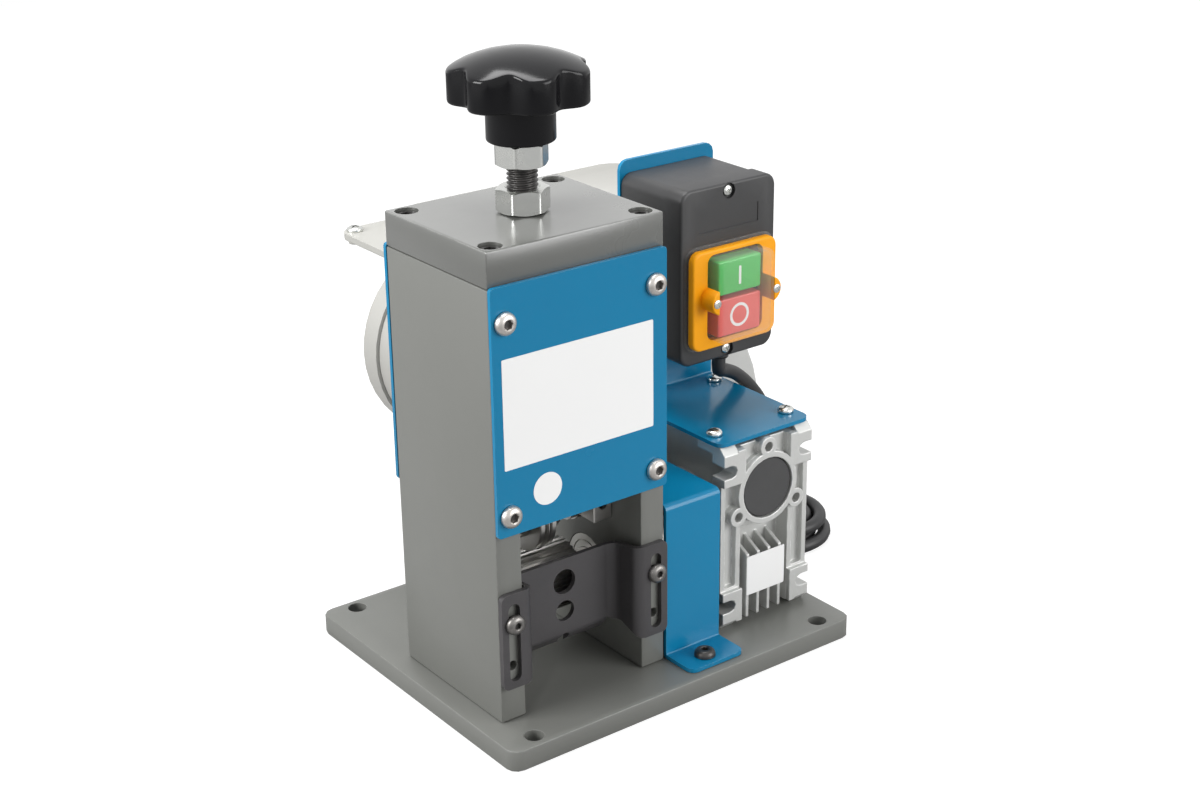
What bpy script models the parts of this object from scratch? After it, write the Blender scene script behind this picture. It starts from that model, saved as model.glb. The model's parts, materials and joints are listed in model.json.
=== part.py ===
"""A bench machine that strips cable.

A hand-set round blade runs over a driven, knurled roller between two side plates. A worm gear motor
turns the roller through a coupling, and a switch box stands on the gear housing. The origin is the
centre of the base plate's underside, +X is right, +Y is back and +Z is up, all in metres.
"""

import math

import bmesh
import bpy
from mathutils import Matrix, Vector

MM = 0.001
FULL_TURN = 2 * math.pi

# Clearance between pieces that touch, what a cutter reaches past its wall, and the weld of loose caps
GAP = 0.3 * MM
OVERRUN = 4.0 * MM
WELD = 0.002 * MM

# Base plate
BASE_DEPTH = 170.0 * MM
BASE_THICKNESS = 10.5 * MM
BASE_CORNER_RADIUS = 6.0 * MM
BASE_EDGE = 0.8 * MM
BOLT_HOLE_DIAMETER = 9.5 * MM
BOLT_SIDE_INSET = 16.8 * MM
BOLT_END_INSET = 7.7 * MM

# Frame: two side plates and a top plate
FRAME_SIDE_INSET = 10.9 * MM
FRAME_END_INSET = 24.5 * MM
FRAME_WIDTH = 94.0 * MM
FRAME_DEPTH = 79.5 * MM
SIDE_THICKNESS = 13.4 * MM
SIDE_HEIGHT = 207.0 * MM
TOP_THICKNESS = 16.2 * MM
FRAME_EDGE = 0.8 * MM
TOP_SCREW_INSET = 7.2 * MM
TOP_SCREW_HEAD_DIAMETER = 11.0 * MM
TOP_SCREW_HEAD_DEPTH = 6.5 * MM
TOP_SCREW_DIAMETER = 6.0 * MM
SIDE_TAP_DEPTH = 24.0 * MM

# Covers on the frame's front and back, with their screws
COVER_THICKNESS = 2.0 * MM
COVER_RISE = 93.5 * MM
COVER_HEIGHT = 115.0 * MM
COVER_CORNER_RADIUS = 1.6 * MM
COVER_SCREW_SIDE_INSET = 6.7 * MM
COVER_SCREW_LOW_INSET = 9.6 * MM
COVER_SCREW_HIGH_INSET = 16.2 * MM
COVER_SCREW_DIAMETER = 6.0 * MM
COVER_SCREW_HEAD_DIAMETER = 10.5 * MM
COVER_SCREW_HEAD_HEIGHT = 3.3 * MM
COVER_SCREW_SOCKET = 4.0 * MM
COVER_SCREW_LENGTH = 12.0 * MM

# Pressure screw, its nuts and the knob
SCREW_DIAMETER = 14.0 * MM
LOCK_NUT_FLATS = 21.5 * MM
LOCK_NUT_HEIGHT = 11.0 * MM
NUT_CHAMFER = 1.4 * MM
LOCK_NUT_TURN = math.radians(34.4)
JAM_NUT_TURN = math.radians(41.9)
JAM_NUT_HEIGHT = 10.6 * MM
VISIBLE_THREAD = 9.8 * MM
KNOB_HUB_DIAMETER = 30.8 * MM
KNOB_HUB_HEIGHT = 17.2 * MM
KNOB_DIAMETER = 63.0 * MM
KNOB_RIM_HEIGHT = 31.8 * MM
KNOB_DOME_HEIGHT = 8.4 * MM
KNOB_LOBES = 7
KNOB_POINTS = 42
VALLEY_POWER = 1.5
KNOB_VALLEY_DEPTH = 4.8 * MM
KNOB_PHASE = math.radians(-108.4)
KNOB_BORE_DEPTH = 26.0 * MM
SCREW_NECK_DIAMETER = 10.0 * MM
SCREW_COLLAR_DIAMETER = 17.0 * MM
SCREW_COLLAR_HEIGHT = 4.0 * MM
SOCKET_DEPTH_SHARE = 0.62

# Carriage that the screw lifts and lowers
CROSSBAR_DEPTH = 28.0 * MM
CROSSBAR_HEIGHT = 24.0 * MM
CROSSBAR_WEB = 12.0 * MM
CHEEK_THICKNESS = 10.4 * MM
CHEEK_DEPTH = 35.9 * MM
CHEEK_DROP = 4.5 * MM
CHEEK_HEIGHT = 33.0 * MM
CHEEK_LOBE_RADIUS = 9.6 * MM
CHEEK_EDGE = 0.5 * MM
CHEEK_HOLE_DIAMETER = 4.5 * MM
CHEEK_HOLE_RISE = 3.6 * MM
CHEEK_HOLE_DEPTH = 12.0 * MM
TONGUE_WIDTH = 12.0 * MM
TONGUE_DEPTH = 2.6 * MM
TONGUE_CLEARANCE = 0.4 * MM
CARRIAGE_DROP = 0.9 * MM

# Round blade, its discs and its shaft
BLADE_DIAMETER = 35.4 * MM
BLADE_THICKNESS = 3.0 * MM
BLADE_BEVEL = 2.6 * MM
BLADE_RIM = 0.4 * MM
BLADE_GAP = 0.9 * MM
DISC_DIAMETER = 34.6 * MM
DISC_THICKNESS = 2.8 * MM
DISC_HUB_DIAMETER = 20.0 * MM
DISC_HUB_LENGTH = 7.6 * MM
BLADE_SHAFT_DIAMETER = 12.0 * MM
SHAFT_COLLAR_DIAMETER = 18.0 * MM
SHAFT_COLLAR_LENGTH = 4.4 * MM
SHAFT_COLLAR_GROOVE = 1.2 * MM

# Feed roller, its shaft and bearings, coupling and output shaft
ROLLER_DIAMETER = 34.0 * MM
ROLLER_WIDTH = 40.0 * MM
ROLLER_TEETH = 36
ROLLER_TOOTH_DEPTH = 0.8 * MM
SHAFT_DIAMETER = 14.0 * MM
BEARING_DIAMETER = 28.0 * MM
BEARING_WIDTH = 8.0 * MM
BEARING_RACE = 3.0 * MM
BEARING_FACE_GROOVE = 0.9 * MM
SHAFT_END_CLEARANCE = 0.6 * MM
BORE_STEPS = 24
COUPLING_DIAMETER = 28.0 * MM
COUPLING_WAIST_DIAMETER = 22.0 * MM
COUPLING_LENGTH = 27.0 * MM
COUPLING_FLANGE = 9.0 * MM
COUPLING_STANDOFF = 3.6 * MM

# Wire guide: bent sheet with two slotted ears
GUIDE_SHEET = 2.5 * MM
GUIDE_RISE = 17.7 * MM
GUIDE_HEIGHT = 47.6 * MM
GUIDE_WEB_INSET = 4.6 * MM
GUIDE_OUTER_BEND = 5.0 * MM
GUIDE_INNER_BEND = 5.0 * MM
GUIDE_DEPTH = 17.5 * MM
GUIDE_PANEL_TOP_DROP = 2.3 * MM
GUIDE_PANEL_BOTTOM_RISE = 5.8 * MM
GUIDE_CORNER_RADIUS = 3.0 * MM
GUIDE_LIP_BEND = 5.0 * MM
GUIDE_LIP_LENGTH = 6.5 * MM
GUIDE_LIP_TILT = math.radians(42.0)
GUIDE_HOLE_LARGE_DIAMETER = 12.5 * MM
GUIDE_HOLE_LARGE_RISE = 33.6 * MM
GUIDE_HOLE_SMALL_DIAMETER = 10.5 * MM
GUIDE_HOLE_SMALL_RISE = 18.5 * MM
GUIDE_HOLE_LIP_DIAMETER = 6.0 * MM
GUIDE_SLOT_WIDTH = 6.2 * MM
GUIDE_SLOT_LOW = 3.5 * MM
GUIDE_SLOT_HIGH = 42.4 * MM
GUIDE_SCREW_RISE = 50.2 * MM
GUIDE_SCREW_DIAMETER = 5.0 * MM
GUIDE_SCREW_HEAD_DIAMETER = 9.6 * MM
GUIDE_SCREW_HEAD_HEIGHT = 2.9 * MM
GUIDE_SCREW_SOCKET = 3.0 * MM
GUIDE_SCREW_LENGTH = 14.0 * MM
GUIDE_TAP_RISE = 28.0 * MM
GUIDE_TAP_DIAMETER = 4.4 * MM

# Guard over the coupling: bent sheet with a foot at each end
GUARD_SHEET = 2.0 * MM
GUARD_OFFSET = 1.3 * MM
GUARD_WIDTH = 33.0 * MM
GUARD_HEIGHT = 80.6 * MM
GUARD_BEND = 2.6 * MM
GUARD_FOOT_LENGTH = 19.5 * MM
GUARD_FOOT_RADIUS = 4.0 * MM
GUARD_BACK_ROOM = 9.8 * MM
GUARD_SCREW_SHARE = 0.44
GUARD_SCREW_INSET = 11.5 * MM
GUARD_SCREW_DIAMETER = 5.0 * MM
GUARD_SCREW_HEAD_DIAMETER = 10.4 * MM
GUARD_SCREW_HEAD_HEIGHT = 3.4 * MM
GUARD_SCREW_SOCKET = 3.2 * MM
GUARD_SCREW_LENGTH = 9.0 * MM

# Worm gear housing
GEAR_STANDOFF = 39.9 * MM
GEAR_SIDE_INSET = 5.2 * MM
GEAR_BACK_OFFSET = 3.7 * MM
GEAR_WIDTH = 56.0 * MM
OUTPUT_RISE = 40.0 * MM
CENTRE_DISTANCE = 30.0 * MM
WORM_HEADROOM = 27.0 * MM
CORE_WIDTH = 37.0 * MM
CORE_END_SHARE = 1.5
FLANGE_RECESS = 2.5 * MM
FLANGE_PLATE = 6.5 * MM
CORNER_BLOCK_WIDTH = 9.0 * MM
CORNER_BLOCK_HEIGHT = 20.0 * MM
CORNER_PAD_LENGTH = 20.0 * MM
CORNER_PAD_THICKNESS = 4.5 * MM
CORNER_CHAMFER = 3.6 * MM
MOUNT_SLOT_WIDTH = 6.5 * MM
MOUNT_SLOT_RISE = 12.4 * MM
MOUNT_SLOT_SKIN = 0.8 * MM
SIDE_BOSS_WALL = 6.5 * MM
RING_DIAMETER = 37.5 * MM
RING_DEPTH = 6.0 * MM
RING_BOSS_DIAMETER = 10.0 * MM
RING_BOSS_CIRCLE = 43.0 * MM
RING_HOLE_DIAMETER = 5.2 * MM
RING_HOLE_DEPTH = 9.0 * MM
END_CAP_DIAMETER = 31.0 * MM
END_CAP_THICKNESS = 4.0 * MM
END_CAP_RECESS = 0.7 * MM
POCKET_WIDTH = 31.0 * MM
POCKET_DEPTH = 11.0 * MM
POCKET_HEIGHT = 47.0 * MM
FIN_COUNT = 4
FIN_PITCH = 6.9 * MM
FIN_SHIFT = 1.7 * MM
FIN_THICKNESS = 1.7 * MM
FIN_FRONT_HEIGHT = 37.0 * MM
FIN_BACK_HEIGHT = 44.0 * MM
FIN_RISE = 3.0 * MM
WHEEL_ROOM = 1.7 * MM
WHEEL_CAVITY_WALL = 12.0 * MM
WORM_CAVITY_DIAMETER = 24.0 * MM
SIDE_COVER_THICKNESS = 4.0 * MM
SIDE_COVER_SPIGOT = 3.0 * MM

# Worm pair
WORM_MODULE = 1.44 * MM
WHEEL_TEETH = 30
TOOTH_ADDENDUM = 1.2 * MM
TOOTH_DEDENDUM = 1.75 * MM
TOOTH_BACKLASH = 0.9 * MM
TOOTH_FLANK_SLOPE = math.tan(math.radians(22.0))
WHEEL_FACE_WIDTH = 13.0 * MM
WORM_LENGTH = 25.0 * MM
WORM_STEPS_PER_PITCH = 5
WORM_POINTS = 14
WHEEL_POINTS_PER_TOOTH = 6
WHEEL_HUB_DIAMETER = 25.0 * MM
WHEEL_HUB_LENGTH = 63.0 * MM
WORM_JOURNAL_DIAMETER = 12.0 * MM
WORM_BORE_DIAMETER = 9.0 * MM

# Motor
INPUT_NECK_DIAMETER = 70.0 * MM
INPUT_NECK_LENGTH = 5.8 * MM
MOTOR_BASE_CLEARANCE = 0.8 * MM
INPUT_FLANGE_THICKNESS = 9.0 * MM
PILOT_DIAMETER = 95.0 * MM
PILOT_DEPTH = 2.6 * MM
SHIELD_FLANGE_THICKNESS = 9.2 * MM
SHIELD_TAPER_LENGTH = 15.1 * MM
SHELL_DIAMETER = 114.0 * MM
SHELL_WALL = 4.0 * MM
SHELL_LENGTH = 148.8 * MM
REAR_SHIELD_OVERHANG = 2.0 * MM
REAR_SHIELD_LENGTH = 16.7 * MM
REAR_SHIELD_EDGE = 4.0 * MM
SHIELD_WALL = 4.0 * MM
SPIGOT_LENGTH = 5.0 * MM
ROTOR_DIAMETER = 60.0 * MM
ROTOR_BACK_ROOM = 52.8 * MM
ROTOR_OFFSET = 26.0 * MM
MOTOR_SHAFT_DIAMETER = 14.0 * MM
FAN_CLEARANCE = 7.0 * MM
FAN_THICKNESS = 2.0 * MM
FAN_BLADES = 7
FAN_BLADE_HEIGHT = 12.0 * MM
FAN_HUB_DIAMETER = 24.0 * MM
FAN_INSET = 20.0 * MM
VENT_COUNT = 6
VENT_WIDTH = 6.0 * MM
VENT_START_SHARE = 0.4
VENT_END_SHARE = 0.75

# Box on the motor
PAD_WIDTH = 60.0 * MM
PAD_DEPTH = 64.0 * MM
PAD_RISE = 2.4 * MM
PAD_FOOT_SHARE = 0.8
CAPACITOR_OFFSET = 52.3 * MM
CAPACITOR_WIDTH = 176.0 * MM
CAPACITOR_DEPTH = 96.0 * MM
CAPACITOR_HEIGHT = 34.0 * MM
CAPACITOR_WALL = 3.0 * MM
CAPACITOR_CORNER = 24.0 * MM
CAPACITOR_BELLY = 13.0 * MM
LID_SIDE_REACH = 16.0 * MM
LID_END_REACH = 3.0 * MM
LID_CORNER = 9.0 * MM
LID_FLANGE = 3.4 * MM
LID_RISE = 7.2 * MM
LID_CROWN = 3.0 * MM
LID_DRAFT = 2.0 * MM
LID_ROUND = 4.0 * MM

# Switch bracket and its screws
BRACKET_SHEET = 2.0 * MM
BRACKET_WIDTH = 58.5 * MM
BRACKET_FRONT_OFFSET = 2.3 * MM
BRACKET_BACK_REACH = 0.2 * MM
BRACKET_HEIGHT = 124.7 * MM
BRACKET_BEND = 3.0 * MM
BRACKET_CORNER = 5.0 * MM
BRACKET_SCREW_SPREAD = 46.0 * MM
BRACKET_SCREW_FRONT = 13.8 * MM
BRACKET_SCREW_BACK = 11.7 * MM
BRACKET_SCREW_DIAMETER = 4.0 * MM
BRACKET_SCREW_HEAD_DIAMETER = 8.0 * MM
BRACKET_SCREW_HEAD_HEIGHT = 3.0 * MM
BRACKET_SCREW_LENGTH = 11.0 * MM

# Switch box
SWITCH_WIDTH = 58.5 * MM
SWITCH_HEIGHT = 87.4 * MM
SWITCH_RISE = 32.0 * MM
SWITCH_BASE_DEPTH = 34.0 * MM
SWITCH_LID_DEPTH = 11.8 * MM
SWITCH_CORNER = 6.0 * MM
SWITCH_WALL = 2.5 * MM
SWITCH_BASE_STEP = 0.7 * MM
SWITCH_EDGE = 1.2 * MM
SWITCH_SCREW_INSET = 4.0 * MM
SWITCH_SCREW_WELL_DIAMETER = 7.6 * MM
SWITCH_SCREW_WELL_DEPTH = 1.6 * MM
BUTTON_WIDTH = 26.6 * MM
BUTTON_CLEARANCE = 0.4 * MM
BUTTON_GAP = 2.2 * MM
GREEN_HEIGHT = 16.8 * MM
RED_HEIGHT = 18.6 * MM
RED_RISE = 14.8 * MM
BUTTON_PROUD = 8.7 * MM
BUTTON_LENGTH = 20.0 * MM
BUTTON_EDGE = 1.0 * MM
BUTTON_TRAVEL = 3.0 * MM
CONTACT_BLOCK_WIDTH = 24.0 * MM
HOOD_WIDTH = 34.0 * MM
HOOD_HEIGHT = 42.4 * MM
HOOD_RISE = 13.2 * MM
HOOD_WALL = 1.2 * MM
HOOD_PROUD = 15.2 * MM
HOOD_CORNER = 4.0 * MM
HOOD_EDGE = 1.4 * MM
HOOD_FLANGE_REACH = 1.3 * MM
BEZEL_WIDTH = 52.0 * MM
BEZEL_HEIGHT = 49.5 * MM
BEZEL_RISE = 8.6 * MM
BEZEL_THICKNESS = 3.6 * MM
BEZEL_CORNER = 5.0 * MM
BEZEL_EDGE = 1.0 * MM
LUG_RADIUS = 6.2 * MM
LUG_OFFSET = 15.4 * MM
LUG_RISE = 34.6 * MM
LUG_PROUD = 14.4 * MM

# Cord, its gland, hank and plug
CORD_DIAMETER = 7.0 * MM
CORD_POINT_PITCH = 16.0 * MM
CORD_EXIT_OFFSET = 14.4 * MM
CORD_EXIT_DEPTH = 23.2 * MM
GLAND_LENGTH = 10.0 * MM
GLAND_TOP_DIAMETER = 14.0 * MM
GLAND_END_DIAMETER = 10.0 * MM
GLAND_COLLAR_SHARES = (0.3, 0.4)
HANK_X = 150.5 * MM
HANK_FRONT_Y = 25.3 * MM
HANK_RUN = 99.7 * MM
HANK_RADIUS = 30.5 * MM
HANK_STEP = 8.0 * MM
HANK_LAYER = 7.9 * MM
HANK_WAIST = 5.0 * MM
HANK_LOOPS_PER_LAYER = 2
HANK_RUN_STEPS = 4
HANK_BEND_STEPS = 8
HANK_LIFT = 0.15 * MM
PLUG_X = 125.0 * MM
PLUG_Y = 168.0 * MM
PLUG_DIAMETER = 37.0 * MM
PLUG_BODY_LENGTH = 30.0 * MM
PLUG_TAIL_LENGTH = 16.0 * MM
PLUG_TAIL_DIAMETER = 12.0 * MM
PLUG_EDGE = 3.0 * MM
PLUG_FLARE_SHARE = 1.2
PLUG_PIN_DIAMETER = 4.8 * MM
PLUG_PIN_LENGTH = 19.0 * MM
PLUG_PIN_SPREAD = 19.0 * MM

# The cord's own points where it isn't coiled, from the gland to the hank
CORD_ROUTE_MM = (
    (89.4, -1.2, 120.4),
    (98.8, 0.6, 115.4),
    (110.0, 2.6, 105.2),
    (119.6, 4.4, 92.6),
    (126.2, 8.0, 75.0),
    (129.4, 13.0, 54.0),
    (128.6, 20.0, 34.0),
    (124.6, 31.0, 18.0),
)
# From the hank's lower layer to the plug
TAIL_ROUTE_MM = (
    (116.2, 84.0, 3.7),
    (110.6, 104.0, 4.4),
    (110.0, 124.0, 8.4),
    (114.6, 142.0, 14.6),
)

# Places that follow from the sizes
BASE_LENGTH = FRAME_SIDE_INSET + FRAME_WIDTH + GEAR_STANDOFF + GEAR_WIDTH + GEAR_SIDE_INSET
BASE_LEFT = -BASE_LENGTH / 2
BASE_FRONT = -BASE_DEPTH / 2
DECK = BASE_THICKNESS + GAP
FRAME_LEFT = BASE_LEFT + FRAME_SIDE_INSET
FRAME_RIGHT = FRAME_LEFT + FRAME_WIDTH
FRAME_FRONT = BASE_FRONT + FRAME_END_INSET
FRAME_BACK = FRAME_FRONT + FRAME_DEPTH
FRAME_X = (FRAME_LEFT + FRAME_RIGHT) / 2
FRAME_Y = (FRAME_FRONT + FRAME_BACK) / 2
INNER_LEFT = FRAME_LEFT + SIDE_THICKNESS
INNER_RIGHT = FRAME_RIGHT - SIDE_THICKNESS
GUIDE_HALF_THROAT = FRAME_WIDTH / 2 - SIDE_THICKNESS - GUIDE_WEB_INSET
SIDE_TOP = DECK + SIDE_HEIGHT
TOP_BOTTOM = SIDE_TOP + GAP
TOP_TOP = TOP_BOTTOM + TOP_THICKNESS
COVER_BOTTOM = BASE_THICKNESS + COVER_RISE

GEAR_X = FRAME_RIGHT + GEAR_STANDOFF + GEAR_WIDTH / 2
WHEEL_CAVITY_DIAMETER = WORM_MODULE * WHEEL_TEETH + 2 * (TOOTH_ADDENDUM + WHEEL_ROOM)
SIDE_BOSS_DIAMETER = WHEEL_CAVITY_DIAMETER + 2 * SIDE_BOSS_WALL
GEAR_DEPTH = SIDE_BOSS_DIAMETER + 2 * (FLANGE_RECESS + FLANGE_PLATE)
GEAR_HEIGHT = OUTPUT_RISE + CENTRE_DISTANCE + WORM_HEADROOM
GEAR_BACK = FRAME_BACK + GEAR_BACK_OFFSET
GEAR_FRONT = GEAR_BACK - GEAR_DEPTH
GEAR_TOP = DECK + GEAR_HEIGHT
FEED_Y = GEAR_FRONT + GEAR_DEPTH / 2
FEED_Z = DECK + OUTPUT_RISE
WORM_Z = FEED_Z + CENTRE_DISTANCE
MOTOR_FLANGE_DIAMETER = 2 * (WORM_Z - BASE_THICKNESS - MOTOR_BASE_CLEARANCE)

BLADE_Z = FEED_Z + ROLLER_DIAMETER / 2 + BLADE_DIAMETER / 2 + BLADE_GAP
CHEEK_BOTTOM = BLADE_Z - CHEEK_DROP
CHEEK_TOP = CHEEK_BOTTOM + CHEEK_HEIGHT
CHEEK_FRONT = FRAME_Y - CHEEK_DEPTH / 2
CROSSBAR_BOTTOM = CHEEK_TOP + GAP
CROSSBAR_TOP = CROSSBAR_BOTTOM + CROSSBAR_HEIGHT

LOCK_NUT_BOTTOM = TOP_TOP + GAP
LOCK_NUT_TOP = LOCK_NUT_BOTTOM + LOCK_NUT_HEIGHT
JAM_NUT_BOTTOM = LOCK_NUT_TOP + VISIBLE_THREAD
JAM_NUT_TOP = JAM_NUT_BOTTOM + JAM_NUT_HEIGHT
KNOB_BOTTOM = JAM_NUT_TOP + GAP

ROLLER_LEFT = FRAME_X - ROLLER_WIDTH / 2
ROLLER_RIGHT = FRAME_X + ROLLER_WIDTH / 2
GUARD_LEFT = FRAME_RIGHT + GUARD_OFFSET
COUPLING_LEFT = FRAME_RIGHT + COUPLING_STANDOFF
COUPLING_MIDDLE = COUPLING_LEFT + COUPLING_LENGTH / 2
HUB_LEFT = GEAR_X - WHEEL_HUB_LENGTH / 2

INPUT_FRONT = GEAR_BACK + GAP
INPUT_BACK = INPUT_FRONT + INPUT_NECK_LENGTH + INPUT_FLANGE_THICKNESS
SHIELD_FRONT = INPUT_BACK + GAP
SHIELD_BACK = SHIELD_FRONT + SHIELD_FLANGE_THICKNESS + SHIELD_TAPER_LENGTH
SHELL_FRONT = SHIELD_BACK + GAP
SHELL_BACK = SHELL_FRONT + SHELL_LENGTH
REAR_FRONT = SHELL_BACK + GAP
REAR_BACK = REAR_FRONT + REAR_SHIELD_LENGTH
REAR_SHIELD_DIAMETER = SHELL_DIAMETER + 2 * REAR_SHIELD_OVERHANG
ROTOR_LENGTH = SHELL_LENGTH - ROTOR_OFFSET - ROTOR_BACK_ROOM
FAN_DIAMETER = SHELL_DIAMETER - 2 * SHELL_WALL - 2 * FAN_CLEARANCE

PAD_TOP = WORM_Z + SHELL_DIAMETER / 2 + PAD_RISE
CAPACITOR_Y = SHELL_FRONT + CAPACITOR_OFFSET
CAPACITOR_BOTTOM = PAD_TOP + GAP
CAPACITOR_TOP = CAPACITOR_BOTTOM + CAPACITOR_HEIGHT

BRACKET_BOTTOM = GEAR_TOP + GAP
BRACKET_FRONT = GEAR_FRONT + BRACKET_FRONT_OFFSET
BRACKET_BACK = GEAR_BACK + BRACKET_BACK_REACH
SWITCH_BACK = BRACKET_BACK - BRACKET_SHEET - GAP
SWITCH_BASE_FRONT = SWITCH_BACK - SWITCH_BASE_DEPTH
SWITCH_FRONT = SWITCH_BASE_FRONT - GAP - SWITCH_LID_DEPTH
SWITCH_BOTTOM = GEAR_TOP + SWITCH_RISE
SWITCH_TOP = SWITCH_BOTTOM + SWITCH_HEIGHT

GUIDE_SCREW_Z = BASE_THICKNESS + GUIDE_SCREW_RISE
WHEEL_PHASE = math.pi / 2

CORD_RADIUS = CORD_DIAMETER / 2
GLAND_X = GEAR_X + CORD_EXIT_OFFSET
GLAND_Y = SWITCH_BACK - CORD_EXIT_DEPTH
GLAND_TOP = SWITCH_BOTTOM - GAP
GLAND_BOTTOM = GLAND_TOP - GLAND_LENGTH

# Where a place's own x, y and z point
AXES = {
    "X": ((0, 1, 0), (0, 0, 1), (1, 0, 0)),
    "Y": ((0, 0, 1), (1, 0, 0), (0, 1, 0)),
    "Z": ((1, 0, 0), (0, 1, 0), (0, 0, 1)),
    "-X": ((0, 0, 1), (0, 1, 0), (-1, 0, 0)),
    "-Y": ((1, 0, 0), (0, 0, 1), (0, -1, 0)),
    "-Z": ((1, 0, 0), (0, -1, 0), (0, 0, -1)),
}


def at(axis, point):
    """A place at the point whose +Z runs along the axis."""
    turn = Matrix([Vector(row) for row in AXES[axis]]).transposed().to_4x4()
    return Matrix.Translation(point) @ turn


def new_collection(name, shown=True):
    made = bpy.data.collections.new(name)
    made.hide_render = not shown
    bpy.context.scene.collection.children.link(made)
    return made


def look(name, colour, roughness, metallic=0.0, alpha=1.0):
    """A plain Principled material."""
    made = bpy.data.materials.new(name)
    made.use_nodes = True
    shader = made.node_tree.nodes["Principled BSDF"]
    shader.inputs["Base Color"].default_value = (*colour, 1.0)
    shader.inputs["Roughness"].default_value = roughness
    shader.inputs["Metallic"].default_value = metallic
    shader.inputs["Alpha"].default_value = alpha
    made.diffuse_color = (*colour, alpha)
    return made


def add(name, data, material=None):
    """Puts an object in the scene, as a part when it has a material and as a cutter when it has none."""
    item = bpy.data.objects.new(name, data)
    if material is None:
        item.hide_render = True
        item.display_type = "WIRE"
        CUTTERS.objects.link(item)
        return item
    own = material.copy()
    own.name = f"{name}_{material.name}"
    data.materials.append(own)
    PARTS.objects.link(item)
    return item


def mesh_from(name, shape, smooth=False):
    data = bpy.data.meshes.new(name)
    bmesh.ops.recalc_face_normals(shape, faces=shape.faces)
    shape.to_mesh(data)
    shape.free()
    if smooth:
        data.shade_smooth()
        data.set_sharp_from_angle(angle=math.radians(35))
    return data


def box(name, low, high, material=None, edge=0.0, edge_steps=2):
    """A box between two corners, its edges rounded."""
    shape = bmesh.new()
    bmesh.ops.create_cube(shape, size=1.0)
    middle = [(a + b) / 2 for a, b in zip(low, high)]
    sides = [b - a for a, b in zip(low, high)]
    place = Matrix.Translation(middle) @ Matrix.Diagonal((*sides, 1.0))
    bmesh.ops.transform(shape, matrix=place, verts=shape.verts)
    item = add(name, mesh_from(name, shape), material)
    if edge:
        bevel(item, edge, edge_steps)
    return item


def rod(name, place, radius, length, material=None, steps=32, end_radius=None):
    """A cylinder or cone from the place's origin along its +Z."""
    shape = bmesh.new()
    far = radius if end_radius is None else end_radius
    bmesh.ops.create_cone(
        shape, cap_ends=True, segments=steps, radius1=radius, radius2=far, depth=length
    )
    lift = Matrix.Translation((0, 0, length / 2))
    bmesh.ops.transform(shape, matrix=place @ lift, verts=shape.verts)
    return add(name, mesh_from(name, shape, smooth=True), material)


def turned(name, place, profile, material=None, steps=32):
    """A profile of (radius, height) points turned about the place's +Z.

    A profile that starts and ends on the axis makes a solid, and any other one a ring.
    """
    around = zip(profile, profile[1:] + profile[:1])
    area = sum(r0 * h1 - r1 * h0 for (r0, h0), (r1, h1) in around)
    points = profile if area < 0 else profile[::-1]
    shape = bmesh.new()
    verts = [shape.verts.new((radius, 0, height)) for radius, height in points]
    for first, second in zip(verts, verts[1:]):
        shape.edges.new((first, second))
    if points[0][0] or points[-1][0]:
        shape.edges.new((verts[-1], verts[0]))
    data = bpy.data.meshes.new(name)
    shape.to_mesh(data)
    shape.free()
    item = add(name, data, material)
    item.matrix_world = place
    spin = item.modifiers.new("turn", "SCREW")
    spin.axis = "Z"
    spin.steps = steps
    spin.render_steps = steps
    spin.use_merge_vertices = True
    spin.merge_threshold = WELD
    spin.use_smooth_shade = False
    return item


def plate(name, place, outlines, thickness, material=None):
    """Flat closed outlines filled on the place's XY plane and thickened along its +Z."""
    curve = bpy.data.curves.new(name, "CURVE")
    curve.dimensions = "2D"
    curve.fill_mode = "BOTH"
    curve.extrude = thickness / 2
    for outline in outlines:
        spline = curve.splines.new("POLY")
        spline.points.add(len(outline) - 1)
        for point, (u, v) in zip(spline.points, outline):
            point.co = (u, v, 0, 1)
        spline.use_cyclic_u = True
    return meshed(name, curve, place @ Matrix.Translation((0, 0, thickness / 2)), material)


def meshed(name, curve, place, material):
    """The curve as a mesh object with its caps welded."""
    source = bpy.data.objects.new(name, curve)
    source.matrix_world = place
    CUTTERS.objects.link(source)
    source.hide_render = True
    graph = bpy.context.evaluated_depsgraph_get()
    data = bpy.data.meshes.new_from_object(source.evaluated_get(graph))
    bpy.data.objects.remove(source, do_unlink=True)
    data.name = name
    shape = bmesh.new()
    shape.from_mesh(data)
    bmesh.ops.remove_doubles(shape, verts=shape.verts, dist=WELD)
    bmesh.ops.recalc_face_normals(shape, faces=shape.faces)
    shape.to_mesh(data)
    shape.free()
    item = add(name, data, material)
    item.matrix_world = place
    return item


def tube(name, points, radius, material, sides):
    """A round tube along points, as a curve with filled caps."""
    curve = bpy.data.curves.new(name, "CURVE")
    curve.dimensions = "3D"
    curve.bevel_depth = radius
    curve.bevel_resolution = sides
    curve.use_fill_caps = True
    spline = curve.splines.new("POLY")
    spline.points.add(len(points) - 1)
    for point, place in zip(spline.points, points):
        point.co = (*place, 1)
    return add(name, curve, material)


def lofted(name, place, rings, material=None, smooth=True):
    """Closed rings of one point count, joined in order, with a flat cap at each end."""
    shape = bmesh.new()
    rows = [[shape.verts.new(place @ Vector(point)) for point in ring] for ring in rings]
    for low, high in zip(rows, rows[1:]):
        for index in range(len(low)):
            after = (index + 1) % len(low)
            shape.faces.new((low[index], low[after], high[after], high[index]))
    shape.faces.new(rows[0][::-1])
    shape.faces.new(rows[-1])
    return add(name, mesh_from(name, shape, smooth), material)


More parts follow.
